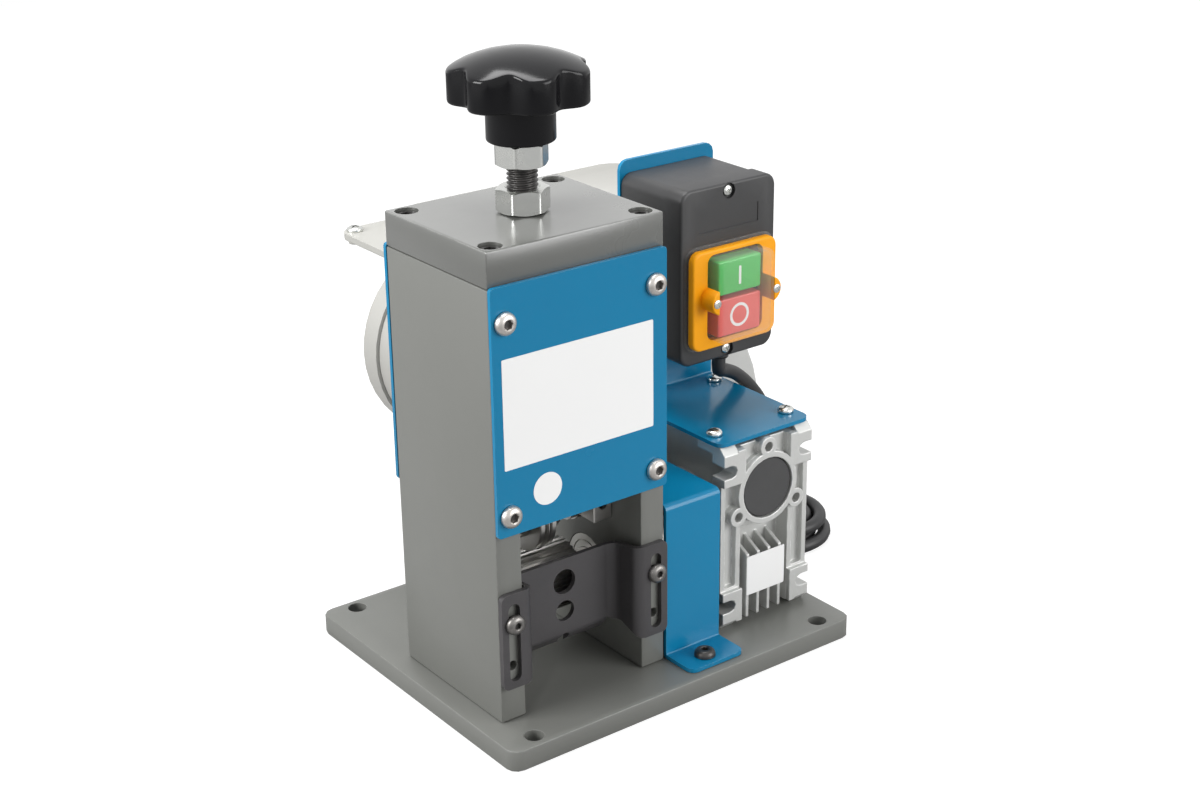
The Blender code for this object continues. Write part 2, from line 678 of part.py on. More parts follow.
def sheet(name, rows, thickness, material, side=-1.0, kept=None):
    """A grid of points as a sheet; side says which way the sheet thickens from the grid."""
    shape = bmesh.new()
    grid = [[shape.verts.new(point) for point in row] for row in rows]
    for i, (low, high) in enumerate(zip(grid, grid[1:])):
        for j in range(len(low) - 1):
            if kept is None or kept(i, j):
                shape.faces.new((low[j], low[j + 1], high[j + 1], high[j]))
    loose = [vert for vert in shape.verts if not vert.link_faces]
    bmesh.ops.delete(shape, geom=loose, context="VERTS")
    data = bpy.data.meshes.new(name)
    shape.to_mesh(data)
    shape.free()
    item = add(name, data, material)
    thicken = item.modifiers.new("thickness", "SOLIDIFY")
    thicken.thickness = thickness
    thicken.offset = side
    thicken.use_even_offset = True
    return item


def bevel(item, width, steps=2, angle=40.0):
    rounding = item.modifiers.new("edges", "BEVEL")
    rounding.width = width
    rounding.segments = steps
    rounding.limit_method = "ANGLE"
    rounding.angle_limit = math.radians(angle)


def combine(item, other, operation):
    change = item.modifiers.new(other.name, "BOOLEAN")
    change.operation = operation
    change.object = other
    change.solver = "EXACT"
    return item


def cut(item, *cutters):
    for cutter in cutters:
        combine(item, cutter, "DIFFERENCE")
    return item


def join(item, *others):
    for other in others:
        combine(item, other, "UNION")
    return item


def arc(centre, radius, start, end, steps):
    """Points on an arc, both ends included; the angles are in radians."""
    turns = [start + (end - start) * step / steps for step in range(steps + 1)]
    return [(centre[0] + radius * math.cos(a), centre[1] + radius * math.sin(a)) for a in turns]


def rounded(points, radii, steps, closed=True):
    """A polyline whose corners become arcs; an open one keeps its two ends."""
    count = len(points)
    made = []
    for index, point in enumerate(points):
        here = Vector(point)
        radius = radii[index] if isinstance(radii, (list, tuple)) else radii
        if not radius or (not closed and index in (0, count - 1)):
            made.append(tuple(here))
            continue
        back = (Vector(points[index - 1]) - here).normalized()
        ahead = (Vector(points[(index + 1) % count]) - here).normalized()
        half = back.angle(ahead) / 2
        centre = here + (back + ahead).normalized() * radius / math.sin(half)
        first = here + back * radius / math.tan(half) - centre
        last = here + ahead * radius / math.tan(half) - centre
        swing = first.angle_signed(last)
        for step in range(steps + 1):
            spun = first.copy()
            spun.rotate(Matrix.Rotation(-swing * step / steps, 2))
            made.append(tuple(centre + spun))
    return made


def rectangle(left, right, low, high, radius=0.0, steps=4):
    """A rectangle's outline, its corners rounded."""
    corners = [(left, low), (right, low), (right, high), (left, high)]
    return rounded(corners, radius, steps) if radius else corners


def slot_outline(start, end, radius, steps=8):
    """The outline of a slot whose ends are half circles about two points."""
    aim = math.atan2(end[1] - start[1], end[0] - start[0])
    quarter = math.pi / 2
    near = arc(start, radius, aim + quarter, aim + 3 * quarter, steps)
    far = arc(end, radius, aim - quarter, aim + quarter, steps)
    return near + far


def smooth_route(points, pitch):
    """Points about one pitch apart on a smooth curve through the given points, both ends included."""
    made = [points[0]]
    spots = [Vector(point) for point in points]
    for index in range(len(spots) - 1):
        p1, p2 = spots[index], spots[index + 1]
        p0 = spots[index - 1] if index else p1 * 2 - p2
        p3 = spots[index + 2] if index + 2 < len(spots) else p2 * 2 - p1
        count = max(1, round((p2 - p1).length / pitch))
        for step in range(1, count + 1):
            t = step / count
            bent = (
                p1 * 2
                + (p2 - p0) * t
                + (p0 * 2 - p1 * 5 + p2 * 4 - p3) * t**2
                + (p1 * 3 - p0 - p2 * 3 + p3) * t**3
            )
            made.append(tuple(bent / 2))
    return made


def carry(name, point, items):
    """An empty on a joint's axis that carries the pieces that move with it."""
    axis = bpy.data.objects.new(name, None)
    axis.location = point
    axis.empty_display_size = BASE_THICKNESS
    PARTS.objects.link(axis)
    for item in items:
        item.parent = axis
        item.matrix_parent_inverse = Matrix.Translation(point).inverted()
    return axis


def socket_screw(name, place, diameter, head_diameter, head_height, length, socket, material):
    """A button-head screw: the head stands on the place's plane, the shank runs below it."""
    head = head_diameter / 2
    shank = diameter / 2
    crown_shares = ((0.0, 1.0), (0.5, 1.0), (0.8, 0.78), (0.97, 0.4), (1.0, 0.0))
    profile = [(head * r, head_height * h) for r, h in crown_shares]
    profile += [(shank, 0.0), (shank, -length), (0.0, -length)]
    screw = turned(name, place, profile, material, steps=12)
    hollow = head_height * SOCKET_DEPTH_SHARE
    key = socket / 2 / math.cos(math.pi / 6)
    deep = place @ Matrix.Translation((0, 0, head_height - hollow))
    cut(screw, rod(f"{name}_socket", deep, key, hollow + OVERRUN, steps=6))
    return screw


def pan_screw(name, place, diameter, head_diameter, head_height, length, material):
    """A pan-head screw: the head stands on the place's plane, the shank runs below it."""
    head = head_diameter / 2
    shank = diameter / 2
    crown_shares = ((0.0, 1.0), (0.55, 0.96), (0.85, 0.75), (1.0, 0.4), (1.0, 0.0))
    profile = [(head * r, head_height * h) for r, h in crown_shares]
    profile += [(shank, 0.0), (shank, -length), (0.0, -length)]
    return turned(name, place, profile, material, steps=12)


def hex_nut(name, bottom, flats, height, turn, material):
    """A hexagon nut about the screw's axis, its corners turned off at both faces."""
    bore = SCREW_DIAMETER + 2 * GAP
    corner = flats / 2 / math.cos(math.pi / 6)
    place = at("Z", (FRAME_X, FRAME_Y, bottom)) @ Matrix.Rotation(turn, 4, "Z")
    nut = rod(name, place, corner, height, material, steps=6)
    face = flats / 2
    lens = [
        (0.0, height),
        (face, height),
        (corner, height - NUT_CHAMFER / 2),
        (corner, NUT_CHAMFER / 2),
        (face, 0.0),
        (0.0, 0.0),
    ]
    combine(nut, turned(f"{name}_lens", place, lens, steps=18), "INTERSECT")
    below = place @ Matrix.Translation((0, 0, -OVERRUN))
    cut(nut, rod(f"{name}_bore", below, bore / 2, height + 2 * OVERRUN, steps=16))
    return nut


def base_plate():
    outline = rectangle(
        BASE_LEFT, -BASE_LEFT, BASE_FRONT, -BASE_FRONT, BASE_CORNER_RADIUS, steps=3
    )
    base = plate("base_plate", at("Z", (0, 0, 0)), [outline], BASE_THICKNESS, PAINT)
    bevel(base, BASE_EDGE, 2, angle=60.0)
    for side in (-1, 1):
        for end in (-1, 1):
            x = side * (BASE_LENGTH / 2 - BOLT_SIDE_INSET)
            y = end * (BASE_DEPTH / 2 - BOLT_END_INSET)
            place = at("Z", (x, y, -OVERRUN))
            hole = rod(
                f"bolt_hole_{side}_{end}",
                place,
                BOLT_HOLE_DIAMETER / 2,
                BASE_THICKNESS + 2 * OVERRUN,
                steps=16,
            )
            cut(base, hole)
    return base


def top_screw_places():
    xs = (FRAME_LEFT + TOP_SCREW_INSET, FRAME_RIGHT - TOP_SCREW_INSET)
    ys = (FRAME_FRONT + TOP_SCREW_INSET, FRAME_BACK - TOP_SCREW_INSET)
    return [(x, y) for x in xs for y in ys]


def cover_screw_places():
    xs = (FRAME_LEFT + COVER_SCREW_SIDE_INSET, FRAME_RIGHT - COVER_SCREW_SIDE_INSET)
    low = COVER_BOTTOM + COVER_SCREW_LOW_INSET
    high = COVER_BOTTOM + COVER_HEIGHT - COVER_SCREW_HIGH_INSET
    return [(x, z) for x in xs for z in (low, high)]


def side_plate(name, left):
    """One side plate with its bearing pocket, carriage groove and tapped holes; left says which one."""
    x0 = FRAME_LEFT if left else INNER_RIGHT
    x1 = x0 + SIDE_THICKNESS
    side = box(name, (x0, FRAME_FRONT, DECK), (x1, FRAME_BACK, SIDE_TOP), PAINT, FRAME_EDGE)
    inward = 1 if left else -1
    inner = INNER_LEFT if left else INNER_RIGHT
    groove_bottom = CHEEK_BOTTOM - CARRIAGE_DROP - GAP
    groove_half = TONGUE_WIDTH / 2 + TONGUE_CLEARANCE
    groove_x = sorted((inner + inward * OVERRUN, inner - inward * (TONGUE_DEPTH + TONGUE_CLEARANCE)))
    groove = box(
        f"{name}_groove",
        (groove_x[0], FRAME_Y - groove_half, groove_bottom),
        (groove_x[1], FRAME_Y + groove_half, SIDE_TOP + OVERRUN),
    )
    pocket_depth = BEARING_WIDTH + 2 * GAP
    outward_axis = "-X" if left else "X"
    pocket = rod(
        f"{name}_pocket",
        at(outward_axis, (inner + inward * OVERRUN, FEED_Y, FEED_Z)),
        BEARING_DIAMETER / 2 + GAP,
        pocket_depth + OVERRUN,
        steps=20,
    )
    passage_depth = SHAFT_END_CLEARANCE if left else SIDE_THICKNESS
    passage = rod(
        f"{name}_passage",
        at(outward_axis, (inner, FEED_Y, FEED_Z)),
        SHAFT_DIAMETER / 2 + 2 * GAP,
        pocket_depth + passage_depth + GAP,
        steps=14,
    )
    cut(side, groove, pocket, passage)
    for index, (x, z) in enumerate(cover_screw_places()):
        if x0 < x < x1:
            tap(side, f"{name}_tap_{index}", x, z, COVER_SCREW_DIAMETER, COVER_SCREW_LENGTH)
    ear_x = (x0 + x1) / 2
    tap(side, f"{name}_guide_tap", ear_x, GUIDE_SCREW_Z, GUIDE_SCREW_DIAMETER, GUIDE_SCREW_LENGTH)
    spare_z = BASE_THICKNESS + GUIDE_TAP_RISE
    tap(side, f"{name}_spare_tap", ear_x, spare_z, GUIDE_TAP_DIAMETER, GUIDE_SCREW_LENGTH)
    for index, (x, y) in enumerate(top_screw_places()):
        if x0 < x < x1:
            place = at("Z", (x, y, SIDE_TOP - SIDE_TAP_DEPTH))
            hole = rod(
                f"{name}_top_tap_{index}",
                place,
                TOP_SCREW_DIAMETER / 2,
                SIDE_TAP_DEPTH + OVERRUN,
                steps=8,
            )
            cut(side, hole)
    return side


def tap(side, name, x, z, diameter, depth):
    """A tapped hole into the plate's front face."""
    place = at("Y", (x, FRAME_FRONT - OVERRUN, z))
    cut(side, rod(name, place, diameter / 2 + GAP, depth + OVERRUN + GAP, steps=10))


def top_plate():
    low = (FRAME_LEFT, FRAME_FRONT, TOP_BOTTOM)
    top = box("top_plate", low, (FRAME_RIGHT, FRAME_BACK, TOP_TOP), PAINT, FRAME_EDGE)
    axis = at("Z", (FRAME_X, FRAME_Y, TOP_BOTTOM - OVERRUN))
    bore = rod(
        "top_plate_bore",
        axis,
        SCREW_DIAMETER / 2 + GAP,
        TOP_THICKNESS + 2 * OVERRUN,
        steps=18,
    )
    cut(top, bore)
    for index, (x, y) in enumerate(top_screw_places()):
        well = [
            (0.0, OVERRUN),
            (TOP_SCREW_HEAD_DIAMETER / 2, OVERRUN),
            (TOP_SCREW_HEAD_DIAMETER / 2, -TOP_SCREW_HEAD_DEPTH),
            (TOP_SCREW_DIAMETER / 2 + GAP, -TOP_SCREW_HEAD_DEPTH),
            (TOP_SCREW_DIAMETER / 2 + GAP, -TOP_THICKNESS - OVERRUN),
            (0.0, -TOP_THICKNESS - OVERRUN),
        ]
        cut(top, turned(f"top_well_{index}", at("Z", (x, y, TOP_TOP)), well, steps=12))
    return top


def cover(name, face_y, axis):
    """One of the frame's covers; it stands off the face at face_y, along the axis."""
    outline = rectangle(
        FRAME_LEFT,
        FRAME_RIGHT,
        COVER_BOTTOM,
        COVER_BOTTOM + COVER_HEIGHT,
        COVER_CORNER_RADIUS,
        steps=2,
    )
    made = plate(name, at(axis, (0, face_y, 0)), [outline], COVER_THICKNESS, BLUE)
    for index, (x, z) in enumerate(cover_screw_places()):
        place = at("Y", (x, face_y - COVER_THICKNESS - OVERRUN, z))
        length = 2 * (COVER_THICKNESS + OVERRUN)
        radius = COVER_SCREW_DIAMETER / 2 + GAP
        cut(made, rod(f"{name}_hole_{index}", place, radius, length, steps=12))
    return made


def frame():
    side_plate("left_side_plate", left=True)
    side_plate("right_side_plate", left=False)
    top_plate()
    cover("front_cover", FRAME_FRONT - GAP, "-Y")
    cover("rear_cover", FRAME_BACK + GAP + COVER_THICKNESS, "-Y")
    face = FRAME_FRONT - 2 * GAP - COVER_THICKNESS
    for index, (x, z) in enumerate(cover_screw_places()):
        socket_screw(
            f"cover_screw_{index + 1}",
            at("-Y", (x, face, z)),
            COVER_SCREW_DIAMETER,
            COVER_SCREW_HEAD_DIAMETER,
            COVER_SCREW_HEAD_HEIGHT,
            COVER_SCREW_LENGTH,
            COVER_SCREW_SOCKET,
            STEEL,
        )


def dome_height(radius):
    """How high the knob's dome stands over its rim, at a distance from the axis."""
    rim = KNOB_DIAMETER / 2
    ball = (rim**2 + KNOB_DOME_HEIGHT**2) / (2 * KNOB_DOME_HEIGHT)
    return math.sqrt(ball**2 - radius**2) - ball + KNOB_DOME_HEIGHT


def knob_ring(height, radius, lobed, on_dome=False):
    """One ring of the knob: lobed is the share of the full valley depth."""
    ring = []
    for index in range(KNOB_POINTS):
        turn = FULL_TURN * index / KNOB_POINTS
        valley = ((1 - math.cos(KNOB_LOBES * turn)) / 2) ** VALLEY_POWER
        reach = radius * (1 - KNOB_VALLEY_DEPTH * 2 / KNOB_DIAMETER * lobed * valley)
        rise = height + dome_height(reach) if on_dome else height
        ring.append((reach * math.cos(turn), reach * math.sin(turn), rise))
    return ring


def knob():
    """The lobed knob: a round hub under seven upright lobes and a low dome."""
    hub = KNOB_HUB_DIAMETER / 2
    lobe = KNOB_DIAMETER / 2
    edge = NUT_CHAMFER / 2
    rings = [
        knob_ring(0.0, hub - NUT_CHAMFER, 0.0),
        knob_ring(edge / 2, hub - edge / 2, 0.0),
        knob_ring(NUT_CHAMFER, hub, 0.0),
        knob_ring(KNOB_HUB_HEIGHT - edge, hub, 0.0),
        knob_ring(KNOB_HUB_HEIGHT, hub + edge, 0.0),
        knob_ring(KNOB_HUB_HEIGHT + edge, lobe - NUT_CHAMFER, 1.0),
        knob_ring(KNOB_HUB_HEIGHT + NUT_CHAMFER, lobe - edge / 2, 1.0),
        knob_ring(KNOB_RIM_HEIGHT - edge, lobe, 1.0, on_dome=True),
        knob_ring(KNOB_RIM_HEIGHT - edge / 3, lobe - edge / 2, 1.0, on_dome=True),
    ]
    dome_shares = ((0.95, 1.0), (0.8, 0.7), (0.6, 0.3), (0.35, 0.0), (0.12, 0.0))
    for share, lobed in dome_shares:
        rings.append(knob_ring(KNOB_RIM_HEIGHT, lobe * share, lobed, on_dome=True))
    place = at("Z", (FRAME_X, FRAME_Y, KNOB_BOTTOM)) @ Matrix.Rotation(KNOB_PHASE, 4, "Z")
    made = lofted("knob", place, rings, BLACK)
    below = at("Z", (FRAME_X, FRAME_Y, KNOB_BOTTOM - OVERRUN))
    bore = rod(
        "knob_bore", below, SCREW_DIAMETER / 2 + GAP, KNOB_BORE_DEPTH + OVERRUN, steps=14
    )
    return cut(made, bore)


def pressure_screw():
    """The screw: its neck turns in the crossbar's web, and its collar lifts the crossbar."""
    thread = SCREW_DIAMETER / 2
    neck = SCREW_NECK_DIAMETER / 2
    collar = SCREW_COLLAR_DIAMETER / 2
    top = KNOB_BOTTOM + KNOB_BORE_DEPTH - GAP
    shoulder = CROSSBAR_TOP + GAP
    web_bottom = CROSSBAR_TOP - CROSSBAR_WEB
    profile = [
        (0.0, top),
        (thread - NUT_CHAMFER / 2, top),
        (thread, top - NUT_CHAMFER / 2),
        (thread, shoulder),
        (neck, shoulder),
        (neck, web_bottom - GAP),
        (collar, web_bottom - GAP),
        (collar, web_bottom - GAP - SCREW_COLLAR_HEIGHT),
        (0.0, web_bottom - GAP - SCREW_COLLAR_HEIGHT),
    ]
    return turned("pressure_screw", at("Z", (FRAME_X, FRAME_Y, 0)), profile, DARK_STEEL, steps=20)


def knob_stack():
    """The pressure screw with the knob and its jam nut, and the lock nut on the top plate."""
    hex_nut("top_lock_nut", LOCK_NUT_BOTTOM, LOCK_NUT_FLATS, LOCK_NUT_HEIGHT, LOCK_NUT_TURN, ZINC)
    jam = hex_nut("jam_nut", JAM_NUT_BOTTOM, LOCK_NUT_FLATS, JAM_NUT_HEIGHT, JAM_NUT_TURN, ZINC)
    carry("knob_axis", (FRAME_X, FRAME_Y, KNOB_BOTTOM), [pressure_screw(), knob(), jam])


def carriage_cheek(name, left):
    """A cheek of the carriage: a block with a round lobe about the blade's shaft and a guide tongue."""
    wall = INNER_LEFT if left else INNER_RIGHT
    inward = 1 if left else -1
    near = wall + inward * GAP
    x0, x1 = sorted((near, near + inward * CHEEK_THICKNESS))
    y0, y1 = CHEEK_FRONT, CHEEK_FRONT + CHEEK_DEPTH
    cheek = box(name, (x0, y0, CHEEK_BOTTOM), (x1, y1, CHEEK_TOP), STEEL, CHEEK_EDGE, 1)
    lobe = rod(
        f"{name}_lobe",
        at("X", (x0 + CHEEK_EDGE, FEED_Y, BLADE_Z)),
        CHEEK_LOBE_RADIUS,
        CHEEK_THICKNESS - 2 * CHEEK_EDGE,
        steps=22,
    )
    tongue_x = sorted((near - inward * TONGUE_DEPTH, near + inward * CHEEK_THICKNESS / 2))
    tongue = box(
        f"{name}_tongue",
        (tongue_x[0], FRAME_Y - TONGUE_WIDTH / 2, CHEEK_BOTTOM + 2 * CHEEK_EDGE),
        (tongue_x[1], FRAME_Y + TONGUE_WIDTH / 2, CHEEK_TOP - 2 * CHEEK_EDGE),
    )
    join(cheek, lobe, tongue)
    bore_place = at("X", (x0 - OVERRUN, FEED_Y, BLADE_Z))
    bore_length = CHEEK_THICKNESS + 2 * OVERRUN
    bore = rod(f"{name}_bore", bore_place, BLADE_SHAFT_DIAMETER / 2 + GAP, bore_length, steps=16)
    hole_place = at("Y", ((x0 + x1) / 2, y0 - OVERRUN, BLADE_Z + CHEEK_HOLE_RISE))
    hole_length = CHEEK_HOLE_DEPTH + OVERRUN
    hole = rod(f"{name}_hole", hole_place, CHEEK_HOLE_DIAMETER / 2, hole_length, steps=10)
    return cut(cheek, bore, hole)


def carriage():
    bar = box(
        "carriage_crossbar",
        (INNER_LEFT + GAP, FRAME_Y - CROSSBAR_DEPTH / 2, CROSSBAR_BOTTOM),
        (INNER_RIGHT - GAP, FRAME_Y + CROSSBAR_DEPTH / 2, CROSSBAR_TOP),
        STEEL,
        FRAME_EDGE,
    )
    axis = at("Z", (FRAME_X, FRAME_Y, CROSSBAR_BOTTOM - OVERRUN))
    neck = rod(
        "crossbar_neck_bore",
        axis,
        SCREW_NECK_DIAMETER / 2 + GAP,
        CROSSBAR_HEIGHT + 2 * OVERRUN,
        steps=14,
    )
    well = rod(
        "crossbar_collar_well",
        axis,
        SCREW_COLLAR_DIAMETER / 2 + GAP,
        CROSSBAR_HEIGHT - CROSSBAR_WEB + OVERRUN,
        steps=16,
    )
    cut(bar, neck, well)
    left = carriage_cheek("carriage_cheek_left", left=True)
    right = carriage_cheek("carriage_cheek_right", left=False)
    carry("carriage_axis", (FRAME_X, FRAME_Y, CROSSBAR_TOP), [bar, left, right, blade_shaft()])


def blade_shaft():
    """The fixed shaft between the cheeks, with a grooved collar beside each cheek."""
    radius = BLADE_SHAFT_DIAMETER / 2
    collar = SHAFT_COLLAR_DIAMETER / 2
    end = (INNER_RIGHT - INNER_LEFT) / 2 - 2 * GAP
    collar_end = end - CHEEK_THICKNESS - GAP
    half = [
        (0.0, end),
        (radius, end),
        (radius, collar_end),
        (collar, collar_end),
        (collar, collar_end - SHAFT_COLLAR_LENGTH / 2),
        (collar - SHAFT_COLLAR_GROOVE, collar_end - SHAFT_COLLAR_LENGTH / 2),
        (collar - SHAFT_COLLAR_GROOVE, collar_end - SHAFT_COLLAR_LENGTH),
        (radius, collar_end - SHAFT_COLLAR_LENGTH),
    ]
    profile = half + [(r, -x) for r, x in reversed(half)]
    return turned("blade_shaft", at("X", (FRAME_X, FEED_Y, BLADE_Z)), profile, STEEL, steps=16)


def blade():
    """The round blade between two discs, each with a hub, all on the blade's shaft."""
    bore = BLADE_SHAFT_DIAMETER / 2 + GAP
    rim = BLADE_DIAMETER / 2
    half = BLADE_THICKNESS / 2
    profile = [
        (bore, half),
        (rim - BLADE_BEVEL, half),
        (rim, BLADE_RIM / 2),
        (rim, -BLADE_RIM / 2),
        (rim - BLADE_BEVEL, -half),
        (bore, -half),
    ]
    middle = (FRAME_X, FEED_Y, BLADE_Z)
    pieces = [turned("round_blade", at("X", middle), profile, STEEL, steps=40)]
    disc = DISC_DIAMETER / 2
    hub = DISC_HUB_DIAMETER / 2
    chamfer = BLADE_RIM
    side = [
        (bore, 0.0),
        (disc - chamfer, 0.0),
        (disc, chamfer),
        (disc, DISC_THICKNESS - chamfer),
        (disc - chamfer, DISC_THICKNESS),
        (hub, DISC_THICKNESS),
        (hub, DISC_THICKNESS + DISC_HUB_LENGTH),
        (bore, DISC_THICKNESS + DISC_HUB_LENGTH),
    ]
    for name, axis, away in (("blade_disc_left", "-X", -1), ("blade_disc_right", "X", 1)):
        x = FRAME_X + away * (half + GAP)
        pieces.append(turned(name, at(axis, (x, FEED_Y, BLADE_Z)), side, STEEL, steps=26))
    carry("blade_axis", middle, pieces)


def feed_roller():
    """The knurled roller: straight teeth round a cylinder that the feed shaft carries."""
    tip = ROLLER_DIAMETER / 2
    root = tip - ROLLER_TOOTH_DEPTH
    tooth_shares = ((0.0, 0), (0.35, 0), (0.5, 1), (0.85, 1))
    outline = []
    for tooth in range(ROLLER_TEETH):
        for share, raised in tooth_shares:
            turn = FULL_TURN * (tooth + share) / ROLLER_TEETH
            radius = tip if raised else root
            outline.append((radius * math.cos(turn), radius * math.sin(turn)))
    place = at("X", (ROLLER_LEFT, FEED_Y, FEED_Z))
    last_turn = FULL_TURN * (BORE_STEPS - 1) / BORE_STEPS
    hole = arc((0, 0), SHAFT_DIAMETER / 2 + GAP, 0, last_turn, BORE_STEPS - 1)
    return plate("feed_roller", place, [outline, hole], ROLLER_WIDTH, STEEL)


def bearing(name, x, axis):
    """A ball bearing with a groove between its rings on the face that its axis points to."""
    outer = BEARING_DIAMETER / 2
    inner = SHAFT_DIAMETER / 2 + GAP
    profile = [
        (inner, BEARING_WIDTH),
        (inner + BEARING_RACE, BEARING_WIDTH),
        (inner + BEARING_RACE, BEARING_WIDTH - BEARING_FACE_GROOVE),
        (outer - BEARING_RACE, BEARING_WIDTH - BEARING_FACE_GROOVE),
        (outer - BEARING_RACE, BEARING_WIDTH),
        (outer, BEARING_WIDTH),
        (outer, 0.0),
        (inner, 0.0),
    ]
    return turned(name, at(axis, (x, FEED_Y, FEED_Z)), profile, STEEL, steps=20)


def shaft_coupling():
    """A rigid coupling: two flanges and a waist, with a grub screw's hole in each flange."""
    flange = COUPLING_DIAMETER / 2
    waist = COUPLING_WAIST_DIAMETER / 2
    bore = SHAFT_DIAMETER / 2 + GAP
    profile = [
        (bore, 0.0),
        (flange, 0.0),
        (flange, COUPLING_FLANGE),
        (waist, COUPLING_FLANGE),
        (waist, COUPLING_LENGTH - COUPLING_FLANGE),
        (flange, COUPLING_LENGTH - COUPLING_FLANGE),
        (flange, COUPLING_LENGTH),
        (bore, COUPLING_LENGTH),
    ]
    place = at("X", (COUPLING_LEFT, FEED_Y, FEED_Z))
    made = turned("shaft_coupling", place, profile, STEEL, steps=22)
    for index, x in enumerate((COUPLING_FLANGE / 2, COUPLING_LENGTH - COUPLING_FLANGE / 2)):
        spot = at("Z", (COUPLING_LEFT + x, FEED_Y, FEED_Z))
        cut(made, rod(f"grub_hole_{index}", spot, COUPLING_FLANGE / 4, COUPLING_DIAMETER, steps=8))
    return made


def tooth_height(phase, pitch):
    """Share of the full tooth height at a phase of one pitch, the tooth about phase zero."""
    away = abs(phase - round(phase)) * pitch
    half_tooth = (pitch / 2 - TOOTH_BACKLASH) / 2
    depth = TOOTH_ADDENDUM + TOOTH_DEDENDUM
    rise = (half_tooth - away) / TOOTH_FLANK_SLOPE + TOOTH_DEDENDUM
    return min(1.0, max(0.0, rise / depth))


def worm_wheel():
    """The worm wheel on its long hollow hub, its teeth leant to the worm's lead."""
    pitch_radius = WORM_MODULE * WHEEL_TEETH / 2
    pitch = math.pi * WORM_MODULE
    worm_radius = CENTRE_DISTANCE - pitch_radius
    lead_slope = pitch / (FULL_TURN * worm_radius)
    root = pitch_radius - TOOTH_DEDENDUM
    depth = TOOTH_ADDENDUM + TOOTH_DEDENDUM
    count = WHEEL_TEETH * WHEEL_POINTS_PER_TOOTH
    rings = []
    for share in (-0.5, 0.5):
        x = WHEEL_FACE_WIDTH * share
        ring = []
        for index in range(count):
            turn = FULL_TURN * index / count
            phase = turn * WHEEL_TEETH / FULL_TURN
            lean = x * lead_slope / pitch_radius
            radius = root + depth * tooth_height(phase, pitch)
            angle = turn + WHEEL_PHASE + lean
            ring.append((radius * math.cos(angle), radius * math.sin(angle), x))
        rings.append(ring)
    place = at("X", (GEAR_X, FEED_Y, FEED_Z))
    wheel = lofted("worm_wheel", place, rings, BRASS, smooth=False)
    start = at("X", (HUB_LEFT, FEED_Y, FEED_Z))
    join(wheel, rod("wheel_hub", start, WHEEL_HUB_DIAMETER / 2, WHEEL_HUB_LENGTH, steps=20))
    before = start @ Matrix.Translation((0, 0, -OVERRUN))
    bore_length = WHEEL_HUB_LENGTH + 2 * OVERRUN
    return cut(wheel, rod("hub_bore", before, SHAFT_DIAMETER / 2 + GAP, bore_length, steps=14))


def feed_train():
    left_bearing_x = INNER_LEFT - BEARING_WIDTH - GAP
    right_bearing_x = INNER_RIGHT + GAP
    bearing("lower_bearing_left", left_bearing_x, "X")
    bearing("lower_bearing_right", right_bearing_x + BEARING_WIDTH, "-X")
    shaft_left = left_bearing_x - GAP
    shaft_right = COUPLING_MIDDLE - GAP
    axis_place = at("X", (shaft_left, FEED_Y, FEED_Z))
    feed_shaft = rod(
        "feed_shaft", axis_place, SHAFT_DIAMETER / 2, shaft_right - shaft_left, STEEL, steps=18
    )
    output_left = COUPLING_MIDDLE + GAP
    output_length = HUB_LEFT + WHEEL_HUB_LENGTH - output_left
    output_place = at("X", (output_left, FEED_Y, FEED_Z))
    output = rod("output_shaft", output_place, SHAFT_DIAMETER / 2, output_length, STEEL, steps=18)
    pieces = [feed_roller(), feed_shaft, shaft_coupling(), output, worm_wheel()]
    carry("feed_axis", (FRAME_X, FEED_Y, FEED_Z), pieces)


